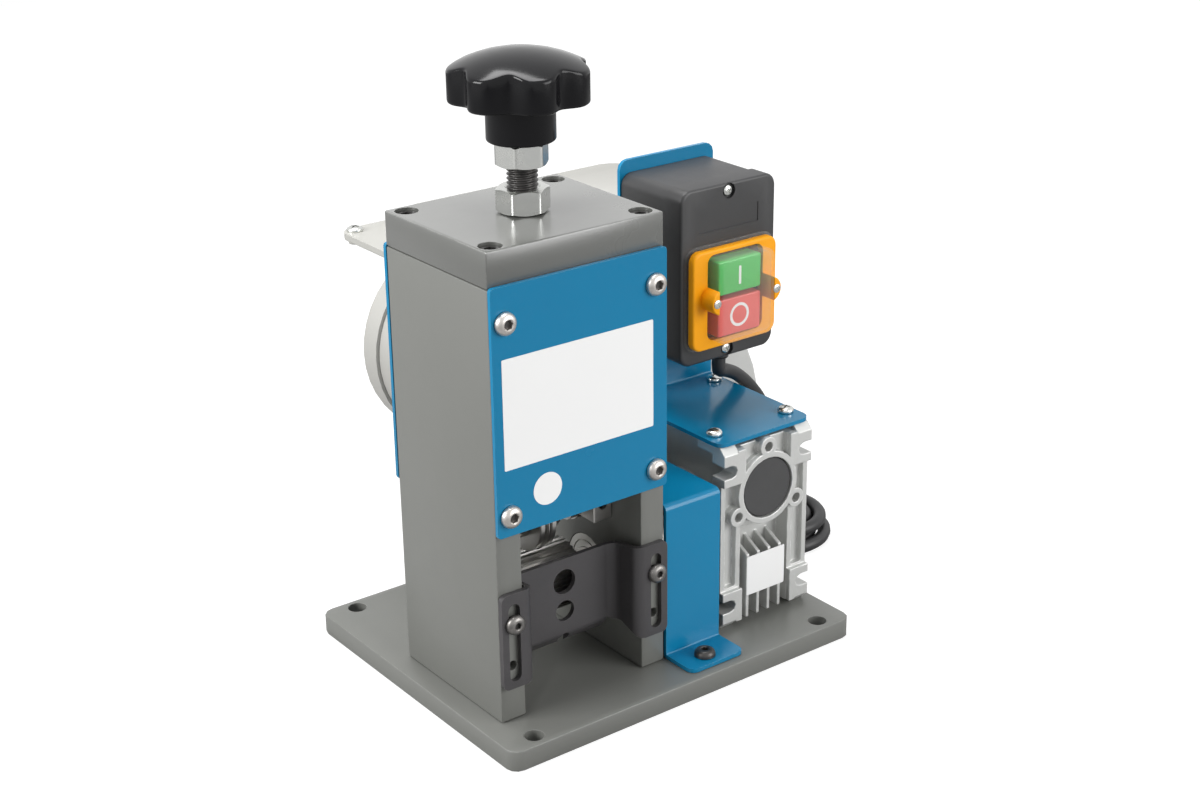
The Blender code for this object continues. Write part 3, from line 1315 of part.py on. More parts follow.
def wire_guide():
    """The guide: ears on the plates' fronts, webs that run back, and a panel with the wire holes."""
    front = FRAME_FRONT - GAP - GUIDE_SHEET
    back = front + GUIDE_DEPTH
    bottom = BASE_THICKNESS + GUIDE_RISE
    top = bottom + GUIDE_HEIGHT
    path = [
        (FRAME_LEFT, front),
        (FRAME_X - GUIDE_HALF_THROAT, front),
        (FRAME_X - GUIDE_HALF_THROAT, back),
        (FRAME_X, back),
    ]
    radii = [0.0, GUIDE_OUTER_BEND, GUIDE_INNER_BEND, 0.0]
    half_path = rounded(path, radii, 3, closed=False)[:-1]
    corner = [
        (FRAME_LEFT + GUIDE_CORNER_RADIUS * (1 - math.cos(a)), front)
        for a in (math.pi / 6, math.pi / 3, math.pi / 2)
    ]
    half_path = half_path[:1] + corner + half_path[1:]
    mirrored = [(2 * FRAME_X - x, y) for x, y in reversed(half_path)]
    full_path = half_path + mirrored
    panel_bottom = bottom + GUIDE_PANEL_BOTTOM_RISE
    panel_top = top - GUIDE_PANEL_TOP_DROP
    lip = guide_lip(back, panel_bottom)
    rows = []
    panel = []
    for x, y in full_path:
        share = (y - front) / GUIDE_DEPTH
        inset = GUIDE_CORNER_RADIUS - min(GUIDE_CORNER_RADIUS, x - FRAME_LEFT, FRAME_RIGHT - x)
        trim = GUIDE_CORNER_RADIUS - math.sqrt(max(0.0, GUIDE_CORNER_RADIUS**2 - inset**2))
        low = bottom + trim + (panel_bottom - bottom) * min(1.0, share * 2)
        high = top - trim + (panel_top - top) * share
        on_panel = abs(y - back) < WELD
        foot = lip[-1][1] if on_panel else low
        rows.append([(x, *point) for point in lip[:-1]] + [(x, y, foot), (x, y, high)])
        panel += [len(rows) - 1] * on_panel

    def kept(row, column):
        """The lip lies only under the panel; every other face is in the sheet."""
        return column >= len(lip) - 1 or panel[0] <= row < panel[-1]

    guide = sheet("wire_guide", rows, GUIDE_SHEET, DARK_SHEET, side=1.0, kept=kept)
    holes = (
        ("large", GUIDE_HOLE_LARGE_DIAMETER, bottom + GUIDE_HOLE_LARGE_RISE),
        ("small", GUIDE_HOLE_SMALL_DIAMETER, bottom + GUIDE_HOLE_SMALL_RISE),
        ("lip", GUIDE_HOLE_LIP_DIAMETER, panel_bottom - GUIDE_LIP_LENGTH / 3),
    )
    for name, diameter, z in holes:
        place = at("Y", (FRAME_X, front, z))
        length = GUIDE_DEPTH + 3 * OVERRUN
        cut(guide, rod(f"guide_hole_{name}", place, diameter / 2, length, steps=20))
    radius = GUIDE_SLOT_WIDTH / 2
    for index, x in enumerate((FRAME_LEFT + SIDE_THICKNESS / 2, FRAME_RIGHT - SIDE_THICKNESS / 2)):
        low = (x, bottom + GUIDE_SLOT_LOW + radius)
        high = (x, bottom + GUIDE_SLOT_HIGH - radius)
        place = at("-Y", (0, front + GUIDE_SHEET + OVERRUN, 0))
        slot = plate(
            f"guide_slot_{index}", place, [slot_outline(low, high, radius)], GUIDE_SHEET + 2 * OVERRUN
        )
        cut(guide, slot)
    carry("guide_axis", (FRAME_X, front, bottom), [guide])


def guide_lip(back, panel_bottom):
    """The lip that bends back under the guide's panel, as points from its tip up to the panel."""
    reach = GUIDE_LIP_LENGTH
    tip = (
        back + reach * math.sin(GUIDE_LIP_TILT),
        panel_bottom - reach * math.cos(GUIDE_LIP_TILT),
    )
    above = (back, panel_bottom + GUIDE_LIP_BEND)
    return rounded([tip, (back, panel_bottom), above], GUIDE_LIP_BEND, 3, closed=False)[:-1]


def guide_screws():
    face = FRAME_FRONT - 2 * GAP - GUIDE_SHEET
    places = (
        ("guide_screw_left", FRAME_LEFT + SIDE_THICKNESS / 2),
        ("guide_screw_right", FRAME_RIGHT - SIDE_THICKNESS / 2),
    )
    for name, x in places:
        socket_screw(
            name,
            at("-Y", (x, face, GUIDE_SCREW_Z)),
            GUIDE_SCREW_DIAMETER,
            GUIDE_SCREW_HEAD_DIAMETER,
            GUIDE_SCREW_HEAD_HEIGHT,
            GUIDE_SCREW_LENGTH,
            GUIDE_SCREW_SOCKET,
            DARK_STEEL,
        )


def folded_sheet(name, path, left, width, thickness, material, first_radius, last_radius):
    """A folded sheet: a path in the YZ plane carried along X, with rounded corners at both ends.

    The path runs towards +Y first, and the sheet's thickness lies on its left.
    """
    radii = sorted({first_radius, last_radius}, reverse=True)
    steps = 3
    places = {0.0, width}
    for radius in radii:
        for step in range(1, steps + 1):
            inset = radius * (1 - math.cos(math.pi / 2 * step / steps))
            places |= {inset, width - inset}
    first_aim = (Vector(path[1]) - Vector(path[0])).normalized()
    last_aim = (Vector(path[-2]) - Vector(path[-1])).normalized()
    rows = []
    for place in sorted(places):
        edge = min(place, width - place)
        row = [Vector(point) for point in path]
        row[0] = row[0] + first_aim * corner_trim(first_radius, edge)
        row[-1] = row[-1] + last_aim * corner_trim(last_radius, edge)
        rows.append([(left + place, y, z) for y, z in row])
    return sheet(name, rows, thickness, material)


def corner_trim(radius, edge):
    """How far a rounded corner trims a strip's end, at a distance from the strip's edge."""
    inset = max(0.0, radius - edge)
    return radius - math.sqrt(max(0.0, radius**2 - inset**2))


def coupling_guard():
    front = FRAME_FRONT - GAP
    back = INPUT_FRONT + INPUT_NECK_LENGTH - GUARD_BACK_ROOM - GUARD_SHEET
    low = DECK
    high = DECK + GUARD_HEIGHT
    path = [
        (front - GUARD_FOOT_LENGTH, low),
        (front + GUARD_SHEET, low),
        (front + GUARD_SHEET, high - GUARD_SHEET),
        (back, high - GUARD_SHEET),
        (back, low),
        (back + GUARD_SHEET + GUARD_FOOT_LENGTH, low),
    ]
    radii = [0.0, GUARD_BEND, GUARD_BEND / 2, GUARD_BEND / 2, GUARD_BEND, 0.0]
    bent = rounded(path, radii, 3, closed=False)
    guard = folded_sheet(
        "coupling_guard",
        bent,
        GUARD_LEFT,
        GUARD_WIDTH,
        GUARD_SHEET,
        BLUE,
        GUARD_FOOT_RADIUS,
        GUARD_FOOT_RADIUS,
    )
    x = GUARD_LEFT + GUARD_WIDTH * GUARD_SCREW_SHARE
    y = front - GUARD_SCREW_INSET
    through = BASE_THICKNESS + 2 * OVERRUN
    hole = rod(
        "guard_hole",
        at("Z", (x, y, DECK - OVERRUN)),
        GUARD_SCREW_DIAMETER / 2 + GAP,
        GUARD_SHEET + 2 * OVERRUN,
        steps=12,
    )
    cut(guard, hole)
    tapped = rod(
        "guard_tap",
        at("Z", (x, y, BASE_THICKNESS - GUARD_SCREW_LENGTH)),
        GUARD_SCREW_DIAMETER / 2 + GAP,
        through,
        steps=12,
    )
    cut(bpy.data.objects["base_plate"], tapped)
    socket_screw(
        "guard_screw",
        at("Z", (x, y, DECK + GUARD_SHEET + GAP)),
        GUARD_SCREW_DIAMETER,
        GUARD_SCREW_HEAD_DIAMETER,
        GUARD_SCREW_HEAD_HEIGHT,
        GUARD_SCREW_LENGTH,
        GUARD_SCREW_SOCKET,
        DARK_STEEL,
    )


def gear_box(name, x, y, z, material=None):
    """A box in the gear housing's own frame: middle of its width, its front and its foot."""
    low = (GEAR_X + x[0], GEAR_FRONT + y[0], DECK + z[0])
    high = (GEAR_X + x[1], GEAR_FRONT + y[1], DECK + z[1])
    return box(name, low, high, material)


def gear_flange(name, near):
    """The housing's front or rear face plate with four corner blocks and their open slots."""
    half = GEAR_WIDTH / 2
    edge = FLANGE_RECESS
    plate_y = (edge, edge + FLANGE_PLATE)
    plate_z = (edge, GEAR_HEIGHT - edge)
    ys = plate_y if near else (GEAR_DEPTH - plate_y[1], GEAR_DEPTH - plate_y[0])
    flange = gear_box(name, (-half, half), ys, plate_z)
    face = edge + FLANGE_PLATE
    pad = CORNER_PAD_LENGTH
    high = GEAR_HEIGHT
    step = GEAR_HEIGHT - CORNER_PAD_THICKNESS
    foot = GEAR_HEIGHT - CORNER_BLOCK_HEIGHT
    upper = [
        (0.0, foot),
        (face, foot),
        (face, step),
        (pad, step),
        (pad, high),
        (CORNER_CHAMFER, high),
        (0.0, high - CORNER_CHAMFER),
    ]
    for index, mirrored in enumerate((False, True)):
        profile = [(y, GEAR_HEIGHT - z) for y, z in upper] if mirrored else upper
        if not near:
            profile = [(GEAR_DEPTH - y, z) for y, z in profile]
        outline = [(GEAR_FRONT + y, DECK + z) for y, z in profile]
        for side, x in (("left", -half), ("right", half - CORNER_BLOCK_WIDTH)):
            block_name = f"{name}_block_{index}_{side}"
            place = at("X", (GEAR_X + x, 0, 0))
            join(flange, plate(block_name, place, [outline], CORNER_BLOCK_WIDTH))
    radius = MOUNT_SLOT_WIDTH / 2
    inner = half - CORNER_BLOCK_WIDTH + radius + MOUNT_SLOT_SKIN
    for side in (-1, 1):
        for z in (MOUNT_SLOT_RISE, GEAR_HEIGHT - MOUNT_SLOT_RISE):
            start = (GEAR_X + side * inner, DECK + z)
            end = (GEAR_X + side * (half + 2 * radius), DECK + z)
            back = GEAR_FRONT + (CORNER_PAD_LENGTH if near else GEAR_DEPTH + OVERRUN)
            place = at("-Y", (0, back, 0))
            outline = slot_outline(start, end, radius, steps=4)
            length = CORNER_PAD_LENGTH + OVERRUN
            cut(flange, plate(f"{name}_slot_{side}_{z:.3f}", place, [outline], length))
    return flange


def gear_fins():
    """The cooling fins in the pocket under the ring, their tops sloping back."""
    outline = [
        (GEAR_FRONT + GAP, DECK + FIN_RISE),
        (GEAR_FRONT + POCKET_DEPTH + FLANGE_RECESS, DECK + FIN_RISE),
        (GEAR_FRONT + POCKET_DEPTH + FLANGE_RECESS, DECK + FIN_BACK_HEIGHT),
        (GEAR_FRONT + GAP, DECK + FIN_FRONT_HEIGHT),
    ]
    fins = []
    for index in range(FIN_COUNT):
        x = FIN_PITCH * (index - (FIN_COUNT - 1) / 2) - FIN_SHIFT - FIN_THICKNESS / 2
        place = at("X", (GEAR_X + x, 0, 0))
        fins.append(plate(f"gear_fin_{index}", place, [outline], FIN_THICKNESS))
    return fins


def ring_boss_places():
    """Where the ring's three screw bosses lie, as (x, z) about the worm's axis."""
    turns = (math.pi / 2, -math.pi / 6, -5 * math.pi / 6)
    reach = RING_BOSS_CIRCLE / 2
    return [(GEAR_X + reach * math.cos(a), WORM_Z + reach * math.sin(a)) for a in turns]


def gear_housing():
    """The cast housing: a core with side bosses, two faces with corner blocks, a ring and fins."""
    half = GEAR_WIDTH / 2
    core = gear_box(
        "gear_housing",
        (-CORE_WIDTH / 2, CORE_WIDTH / 2),
        (2 * FLANGE_RECESS, GEAR_DEPTH - 2 * FLANGE_RECESS),
        (FLANGE_RECESS * CORE_END_SHARE, GEAR_HEIGHT - FLANGE_RECESS * CORE_END_SHARE),
        ALUMINIUM,
    )
    boss_place = at("X", (GEAR_X - half, FEED_Y, FEED_Z))
    boss_length = GEAR_WIDTH - SIDE_COVER_THICKNESS - GAP
    boss = rod("gear_boss", boss_place, SIDE_BOSS_DIAMETER / 2, boss_length, steps=30)
    join(core, boss, gear_flange("gear_face_front", True), gear_flange("gear_face_rear", False))
    ring_place = at("Y", (GEAR_X, GEAR_FRONT, WORM_Z))
    join(core, rod("gear_ring", ring_place, RING_DIAMETER / 2, RING_DEPTH, steps=30))
    for index, (x, z) in enumerate(ring_boss_places()):
        place = at("Y", (x, GEAR_FRONT, z))
        join(core, rod(f"ring_boss_{index}", place, RING_BOSS_DIAMETER / 2, RING_DEPTH, steps=14))
    pocket = gear_box(
        "gear_pocket",
        (-POCKET_WIDTH / 2, POCKET_WIDTH / 2),
        (-OVERRUN, POCKET_DEPTH),
        (-OVERRUN, POCKET_HEIGHT),
    )
    cut(core, pocket)
    join(core, *gear_fins())
    cut_gear_bores(core, half)
    return core


def cut_gear_bores(core, half):
    """The wheel's and the worm's cavities, their seats, and the blind holes of the ring."""
    wheel_left = GEAR_X - half + WHEEL_CAVITY_WALL
    wheel = rod(
        "wheel_cavity",
        at("X", (wheel_left, FEED_Y, FEED_Z)),
        WHEEL_CAVITY_DIAMETER / 2,
        GEAR_WIDTH,
        steps=24,
    )
    hub = rod(
        "hub_passage",
        at("X", (GEAR_X - half - OVERRUN, FEED_Y, FEED_Z)),
        WHEEL_HUB_DIAMETER / 2 + GAP,
        GEAR_WIDTH,
        steps=20,
    )
    cap_depth = END_CAP_RECESS + END_CAP_THICKNESS + GAP
    cap = rod(
        "cap_seat",
        at("Y", (GEAR_X, GEAR_FRONT - OVERRUN, WORM_Z)),
        END_CAP_DIAMETER / 2 + GAP,
        cap_depth + OVERRUN,
        steps=28,
    )
    worm_front = FEED_Y - WORM_LENGTH / 2 - WORM_JOURNAL_DIAMETER / 2
    worm = rod(
        "worm_cavity",
        at("Y", (GEAR_X, worm_front, WORM_Z)),
        WORM_CAVITY_DIAMETER / 2,
        GEAR_DEPTH,
        steps=16,
    )
    journal = rod(
        "worm_seat",
        at("Y", (GEAR_X, GEAR_FRONT - OVERRUN, WORM_Z)),
        WORM_JOURNAL_DIAMETER / 2 + GAP,
        GEAR_DEPTH / 2,
        steps=12,
    )
    cut(core, wheel, hub, cap, worm, journal)
    for index, (x, z) in enumerate(ring_boss_places()):
        place = at("Y", (x, GEAR_FRONT - OVERRUN, z))
        depth = RING_HOLE_DEPTH + OVERRUN
        cut(core, rod(f"ring_hole_{index}", place, RING_HOLE_DIAMETER / 2, depth, steps=10))


def gear_covers():
    """The side cover with its spigot, and the black cap at the worm's front end."""
    outer = SIDE_BOSS_DIAMETER / 2
    spigot = WHEEL_CAVITY_DIAMETER / 2 - GAP
    bore = WHEEL_HUB_DIAMETER / 2 + GAP
    profile = [
        (bore, 0.0),
        (outer - FRAME_EDGE, 0.0),
        (outer, -FRAME_EDGE),
        (outer, -SIDE_COVER_THICKNESS),
        (spigot, -SIDE_COVER_THICKNESS),
        (spigot, -SIDE_COVER_THICKNESS - SIDE_COVER_SPIGOT),
        (bore, -SIDE_COVER_THICKNESS - SIDE_COVER_SPIGOT),
    ]
    place = at("X", (GEAR_X + GEAR_WIDTH / 2, FEED_Y, FEED_Z))
    turned("gear_side_cover", place, profile, ALUMINIUM, steps=30)
    cap = [
        (0.0, END_CAP_THICKNESS),
        (END_CAP_DIAMETER / 2 - FRAME_EDGE, END_CAP_THICKNESS),
        (END_CAP_DIAMETER / 2, END_CAP_THICKNESS - FRAME_EDGE),
        (END_CAP_DIAMETER / 2, 0.0),
        (0.0, 0.0),
    ]
    cap_back = GEAR_FRONT + END_CAP_RECESS + END_CAP_THICKNESS
    turned("worm_end_cap", at("-Y", (GEAR_X, cap_back, WORM_Z)), cap, BLACK, steps=28)


def worm_shaft():
    """The worm: one thread as a height over a cylinder, with a journal at each end and a bore."""
    pitch = math.pi * WORM_MODULE
    pitch_radius = CENTRE_DISTANCE - WORM_MODULE * WHEEL_TEETH / 2
    root = pitch_radius - TOOTH_DEDENDUM
    depth = TOOTH_ADDENDUM + TOOTH_DEDENDUM
    count = round(WORM_LENGTH / pitch * WORM_STEPS_PER_PITCH)
    rings = []
    for row in range(count + 1):
        y = WORM_LENGTH * (row / count - 0.5)
        ring = []
        for index in range(WORM_POINTS):
            turn = FULL_TURN * index / WORM_POINTS
            phase = y / pitch - turn / FULL_TURN
            radius = root + depth * tooth_height(phase, pitch)
            ring.append((radius * math.cos(turn), radius * math.sin(turn), y))
        rings.append(ring)
    worm = lofted("worm_shaft", at("Y", (GEAR_X, FEED_Y, WORM_Z)), rings, STEEL, smooth=False)
    front = GEAR_FRONT + END_CAP_RECESS + END_CAP_THICKNESS + 2 * GAP
    journal = WORM_JOURNAL_DIAMETER / 2
    back = INPUT_BACK - PILOT_DEPTH - GAP
    place = at("Y", (GEAR_X, front, WORM_Z))
    join(worm, rod("worm_journals", place, journal, back - front, steps=16))
    bore_place = at("Y", (GEAR_X, FEED_Y + WORM_LENGTH / 2, WORM_Z))
    bore = rod("worm_bore", bore_place, WORM_BORE_DIAMETER / 2, GEAR_DEPTH, steps=12)
    return cut(worm, bore)


def input_flange():
    """The round flange between the gear housing and the motor."""
    neck = INPUT_NECK_DIAMETER / 2
    disc = MOTOR_FLANGE_DIAMETER / 2
    bore = WORM_JOURNAL_DIAMETER / 2 + GAP
    pilot = PILOT_DIAMETER / 2
    length = INPUT_NECK_LENGTH + INPUT_FLANGE_THICKNESS
    profile = [
        (bore, 0.0),
        (neck, 0.0),
        (neck, INPUT_NECK_LENGTH),
        (disc - FRAME_EDGE, INPUT_NECK_LENGTH),
        (disc, INPUT_NECK_LENGTH + FRAME_EDGE),
        (disc, length),
        (pilot, length),
        (pilot, length - PILOT_DEPTH),
        (bore, length - PILOT_DEPTH),
    ]
    return turned("input_flange", at("Y", (GEAR_X, INPUT_FRONT, WORM_Z)), profile, ALUMINIUM, 40)


def motor_front_shield():
    """The motor's front shield: flange, pilot and a taper to the shell, with the front bearing seat."""
    disc = MOTOR_FLANGE_DIAMETER / 2
    shell = SHELL_DIAMETER / 2
    pilot = PILOT_DIAMETER / 2 - GAP
    seat = MOTOR_SHAFT_DIAMETER / 2 + GAP
    spigot = shell - SHELL_WALL - GAP
    length = SHIELD_FLANGE_THICKNESS + SHIELD_TAPER_LENGTH
    pilot_height = PILOT_DEPTH - 2 * GAP
    profile = [
        (seat, -pilot_height),
        (pilot, -pilot_height),
        (pilot, 0.0),
        (disc, 0.0),
        (disc, SHIELD_FLANGE_THICKNESS - FRAME_EDGE),
        (disc - FRAME_EDGE, SHIELD_FLANGE_THICKNESS),
        (shell + FRAME_EDGE, SHIELD_FLANGE_THICKNESS + FRAME_EDGE),
        (shell, length),
        (spigot, length),
        (spigot, length + SPIGOT_LENGTH),
        (spigot - SHIELD_WALL, length + SPIGOT_LENGTH),
        (spigot - SHIELD_WALL, SHIELD_FLANGE_THICKNESS),
        (seat + SHIELD_WALL, SHIELD_FLANGE_THICKNESS),
        (seat + SHIELD_WALL, length),
        (seat, length),
    ]
    place = at("Y", (GEAR_X, SHIELD_FRONT, WORM_Z))
    return turned("motor_front_shield", place, profile, MOTOR_PAINT, 40)


def motor_shell():
    """The motor's tube with the flat pad that carries the box on top."""
    radius = SHELL_DIAMETER / 2
    place = at("Y", (GEAR_X, SHELL_FRONT, WORM_Z))
    shell = rod("motor_shell", place, radius, SHELL_LENGTH, MOTOR_PAINT, steps=48)
    pad = box(
        "motor_pad",
        (GEAR_X - PAD_WIDTH / 2, CAPACITOR_Y - PAD_DEPTH / 2, WORM_Z + radius * PAD_FOOT_SHARE),
        (GEAR_X + PAD_WIDTH / 2, CAPACITOR_Y + PAD_DEPTH / 2, PAD_TOP),
    )
    join(shell, pad)
    before = place @ Matrix.Translation((0, 0, -OVERRUN))
    bore = rod("shell_bore", before, radius - SHELL_WALL, SHELL_LENGTH + 2 * OVERRUN, steps=32)
    return cut(shell, bore)


def motor_rear_shield():
    """The motor's rear shield with a rounded edge, the rear bearing seat and air slots."""
    radius = REAR_SHIELD_DIAMETER / 2
    seat = MOTOR_SHAFT_DIAMETER / 2 + GAP
    spigot = SHELL_DIAMETER / 2 - SHELL_WALL - GAP
    length = REAR_SHIELD_LENGTH
    edge = REAR_SHIELD_EDGE
    rim = arc((radius - edge, length - edge), edge, 0, math.pi / 2, 3)
    profile = [
        (spigot - SHIELD_WALL, -SPIGOT_LENGTH),
        (spigot, -SPIGOT_LENGTH),
        (spigot, 0.0),
        (radius, 0.0),
        *rim,
        (seat, length),
        (seat, 0.0),
        (seat + SHIELD_WALL, 0.0),
        (seat + SHIELD_WALL, length - SHIELD_WALL),
        (spigot - SHIELD_WALL, length - SHIELD_WALL),
    ]
    place = at("Y", (GEAR_X, REAR_FRONT, WORM_Z))
    shield = turned("motor_rear_shield", place, profile, MOTOR_PAINT, 40)
    for index in range(VENT_COUNT):
        turn = Matrix.Rotation(FULL_TURN * (index + 0.5) / VENT_COUNT, 4, "Z")
        start = (radius * VENT_START_SHARE, 0.0)
        end = (radius * VENT_END_SHARE, 0.0)
        outline = slot_outline(start, end, VENT_WIDTH / 2, steps=3)
        deep = Matrix.Translation((0, 0, length - SHIELD_WALL - OVERRUN))
        vent = plate(f"vent_{index}", place @ turn @ deep, [outline], SHIELD_WALL + 2 * OVERRUN)
        cut(shield, vent)
    return shield


def cooling_fan():
    """The fan on the rotor's shaft: a disc, a hub and straight blades."""
    back = SHELL_BACK - FAN_INSET
    hub_length = FAN_THICKNESS + FAN_BLADE_HEIGHT
    bore = MOTOR_SHAFT_DIAMETER / 2 + GAP
    profile = [
        (bore, 0.0),
        (FAN_DIAMETER / 2, 0.0),
        (FAN_DIAMETER / 2, FAN_THICKNESS),
        (FAN_HUB_DIAMETER / 2, FAN_THICKNESS),
        (FAN_HUB_DIAMETER / 2, hub_length),
        (bore, hub_length),
    ]
    place = at("Y", (GEAR_X, back - hub_length, WORM_Z))
    fan = turned("cooling_fan", place, profile, BLACK, 22)
    inner = FAN_HUB_DIAMETER / 2 - FAN_THICKNESS / 2
    outer = FAN_DIAMETER / 2 - FAN_THICKNESS
    for index in range(FAN_BLADES):
        turn = Matrix.Rotation(FULL_TURN * index / FAN_BLADES, 4, "Z")
        outline = rectangle(inner, outer, -FAN_THICKNESS / 2, FAN_THICKNESS / 2)
        lift = Matrix.Translation((0, 0, FAN_THICKNESS / 2))
        blade = plate(f"fan_blade_{index}", place @ turn @ lift, [outline], FAN_BLADE_HEIGHT)
        join(fan, blade)
    return fan


def motor_rotor():
    """The rotor's core on its stepped shaft, which runs into the worm."""
    core = ROTOR_DIAMETER / 2
    shaft = MOTOR_SHAFT_DIAMETER / 2
    nose = WORM_BORE_DIAMETER / 2 - GAP
    front = FEED_Y + WORM_LENGTH / 2 + GAP
    step = INPUT_BACK - PILOT_DEPTH + GAP
    core_front = SHELL_FRONT + ROTOR_OFFSET
    back = REAR_BACK - GAP
    profile = [
        (0.0, front),
        (nose, front),
        (nose, step),
        (shaft, step),
        (shaft, core_front),
        (core, core_front),
        (core, core_front + ROTOR_LENGTH),
        (shaft, core_front + ROTOR_LENGTH),
        (shaft, back),
        (0.0, back),
    ]
    return turned("motor_rotor", at("Y", (GEAR_X, 0, WORM_Z)), profile, STEEL, 20)


def ring_at(half_width, half_depth, radius, z, crown=0.0):
    """A rounded rectangle as a ring of points about the motor's box, arched along X by the crown."""
    outline = rectangle(-half_width, half_width, -half_depth, half_depth, radius, steps=5)
    return [(x, y, z + crown * (1 - (x / half_width) ** 2)) for x, y in outline]


def capacitor_box():
    """The box on the motor: a deep tray with a rounded belly, and its flanged, crowned lid."""
    half_width = CAPACITOR_WIDTH / 2
    half_depth = CAPACITOR_DEPTH / 2
    belly = CAPACITOR_BELLY
    rings = []
    for step in range(5):
        turn = math.pi / 2 * step / 4
        inset = belly * (1 - math.sin(turn))
        z = belly * (1 - math.cos(turn))
        corner = CAPACITOR_CORNER - inset / 2
        rings.append(ring_at(half_width - inset, half_depth - inset, corner, z))
    rings.append(ring_at(half_width, half_depth, CAPACITOR_CORNER, CAPACITOR_HEIGHT))
    place = at("Z", (GEAR_X, CAPACITOR_Y, CAPACITOR_BOTTOM))
    tray = lofted("capacitor_box", place, rings, CAPACITOR_PLASTIC)
    wall = CAPACITOR_WALL
    inner_corner = CAPACITOR_CORNER - wall
    hollow = [
        ring_at(half_width - wall - belly / 2, half_depth - wall - belly / 2, inner_corner, wall),
        ring_at(half_width - wall, half_depth - wall, inner_corner, wall + belly),
        ring_at(half_width - wall, half_depth - wall, inner_corner, CAPACITOR_HEIGHT + OVERRUN),
    ]
    cut(tray, lofted("capacitor_hollow", place, hollow))
    capacitor_lid(half_width, half_depth)


def capacitor_lid(half_width, half_depth):
    """The box's lid: a flange all round and an arched, softly rounded top, hollow below."""
    side = LID_SIDE_REACH
    end = LID_END_REACH
    wall = CAPACITOR_WALL
    crown = LID_CROWN
    raised = LID_FLANGE + LID_RISE
    draft = LID_DRAFT
    soft = LID_ROUND
    corner = CAPACITOR_CORNER
    rings = [
        ring_at(half_width + side, half_depth + end, LID_CORNER, 0.0),
        ring_at(half_width + side, half_depth + end, LID_CORNER, LID_FLANGE),
        ring_at(half_width, half_depth, corner, LID_FLANGE + GAP),
        ring_at(half_width - draft, half_depth - draft, corner, raised - soft, crown / 2),
    ]
    round_shares = (0.3, 1.0)
    for share in round_shares:
        inset = draft + soft * share**2
        lift = raised - soft + soft * share
        rings.append(
            ring_at(half_width - inset, half_depth - inset, corner - inset / 2, lift, crown)
        )
    place = at("Z", (GEAR_X, CAPACITOR_Y, CAPACITOR_TOP + GAP))
    lid = lofted("capacitor_lid", place, rings, CAPACITOR_PLASTIC)
    inset = CAPACITOR_WALL + draft
    hollow = [
        ring_at(half_width - inset, half_depth - inset, corner - inset, z)
        for z in (-OVERRUN, LID_FLANGE)
    ]
    inset += soft
    hollow.append(ring_at(half_width - inset, half_depth - inset, corner - inset, raised - wall))
    cut(lid, lofted("capacitor_lid_hollow", place, hollow))


def motor():
    input_flange()
    motor_front_shield()
    motor_shell()
    motor_rear_shield()
    capacitor_box()
    pieces = [worm_shaft(), motor_rotor(), cooling_fan()]
    carry("worm_axis", (GEAR_X, FEED_Y, WORM_Z), pieces)


def bracket_screw_places():
    xs = (GEAR_X - BRACKET_SCREW_SPREAD / 2, GEAR_X + BRACKET_SCREW_SPREAD / 2)
    ys = (GEAR_FRONT + BRACKET_SCREW_FRONT, GEAR_BACK - BRACKET_SCREW_BACK)
    return [(x, y) for y in ys for x in xs]


def switch_bracket():
    """The bent sheet that carries the switch box, screwed to the housing's corner pads."""
    left = GEAR_X - BRACKET_WIDTH / 2
    top = BRACKET_BOTTOM + BRACKET_HEIGHT
    path = [(BRACKET_FRONT, BRACKET_BOTTOM), (BRACKET_BACK, BRACKET_BOTTOM), (BRACKET_BACK, top)]
    bent = rounded(path, [0.0, BRACKET_BEND, 0.0], 4, closed=False)
    bracket = folded_sheet(
        "switch_bracket",
        bent,
        left,
        BRACKET_WIDTH,
        BRACKET_SHEET,
        BLUE,
        BRACKET_CORNER,
        BRACKET_CORNER,
    )
    housing = bpy.data.objects["gear_housing"]
    radius = BRACKET_SCREW_DIAMETER / 2 + GAP
    for index, (x, y) in enumerate(bracket_screw_places()):
        place = at("Z", (x, y, BRACKET_BOTTOM - BRACKET_SCREW_LENGTH - OVERRUN))
        hole = rod(f"bracket_hole_{index}", place, radius, BRACKET_SCREW_LENGTH * 2, steps=14)
        cut(bracket, hole)
        cut(housing, hole)
        pan_screw(
            f"bracket_screw_{index + 1}",
            at("Z", (x, y, BRACKET_BOTTOM + BRACKET_SHEET + GAP)),
            BRACKET_SCREW_DIAMETER,
            BRACKET_SCREW_HEAD_DIAMETER,
            BRACKET_SCREW_HEAD_HEIGHT,
            BRACKET_SCREW_LENGTH,
            ZINC,
        )


def switch_box_outline(inset, corner):
    half = SWITCH_WIDTH / 2 - inset
    return rectangle(
        GEAR_X - half, GEAR_X + half, SWITCH_BOTTOM + inset, SWITCH_TOP - inset, corner, steps=3
    )


def button_places():
    """The two buttons' low and high edges."""
    red_low = SWITCH_BOTTOM + RED_RISE
    red_high = red_low + RED_HEIGHT
    green_low = red_high + BUTTON_GAP
    return {"red_button": (red_low, red_high), "green_button": (green_low, green_low + GREEN_HEIGHT)}


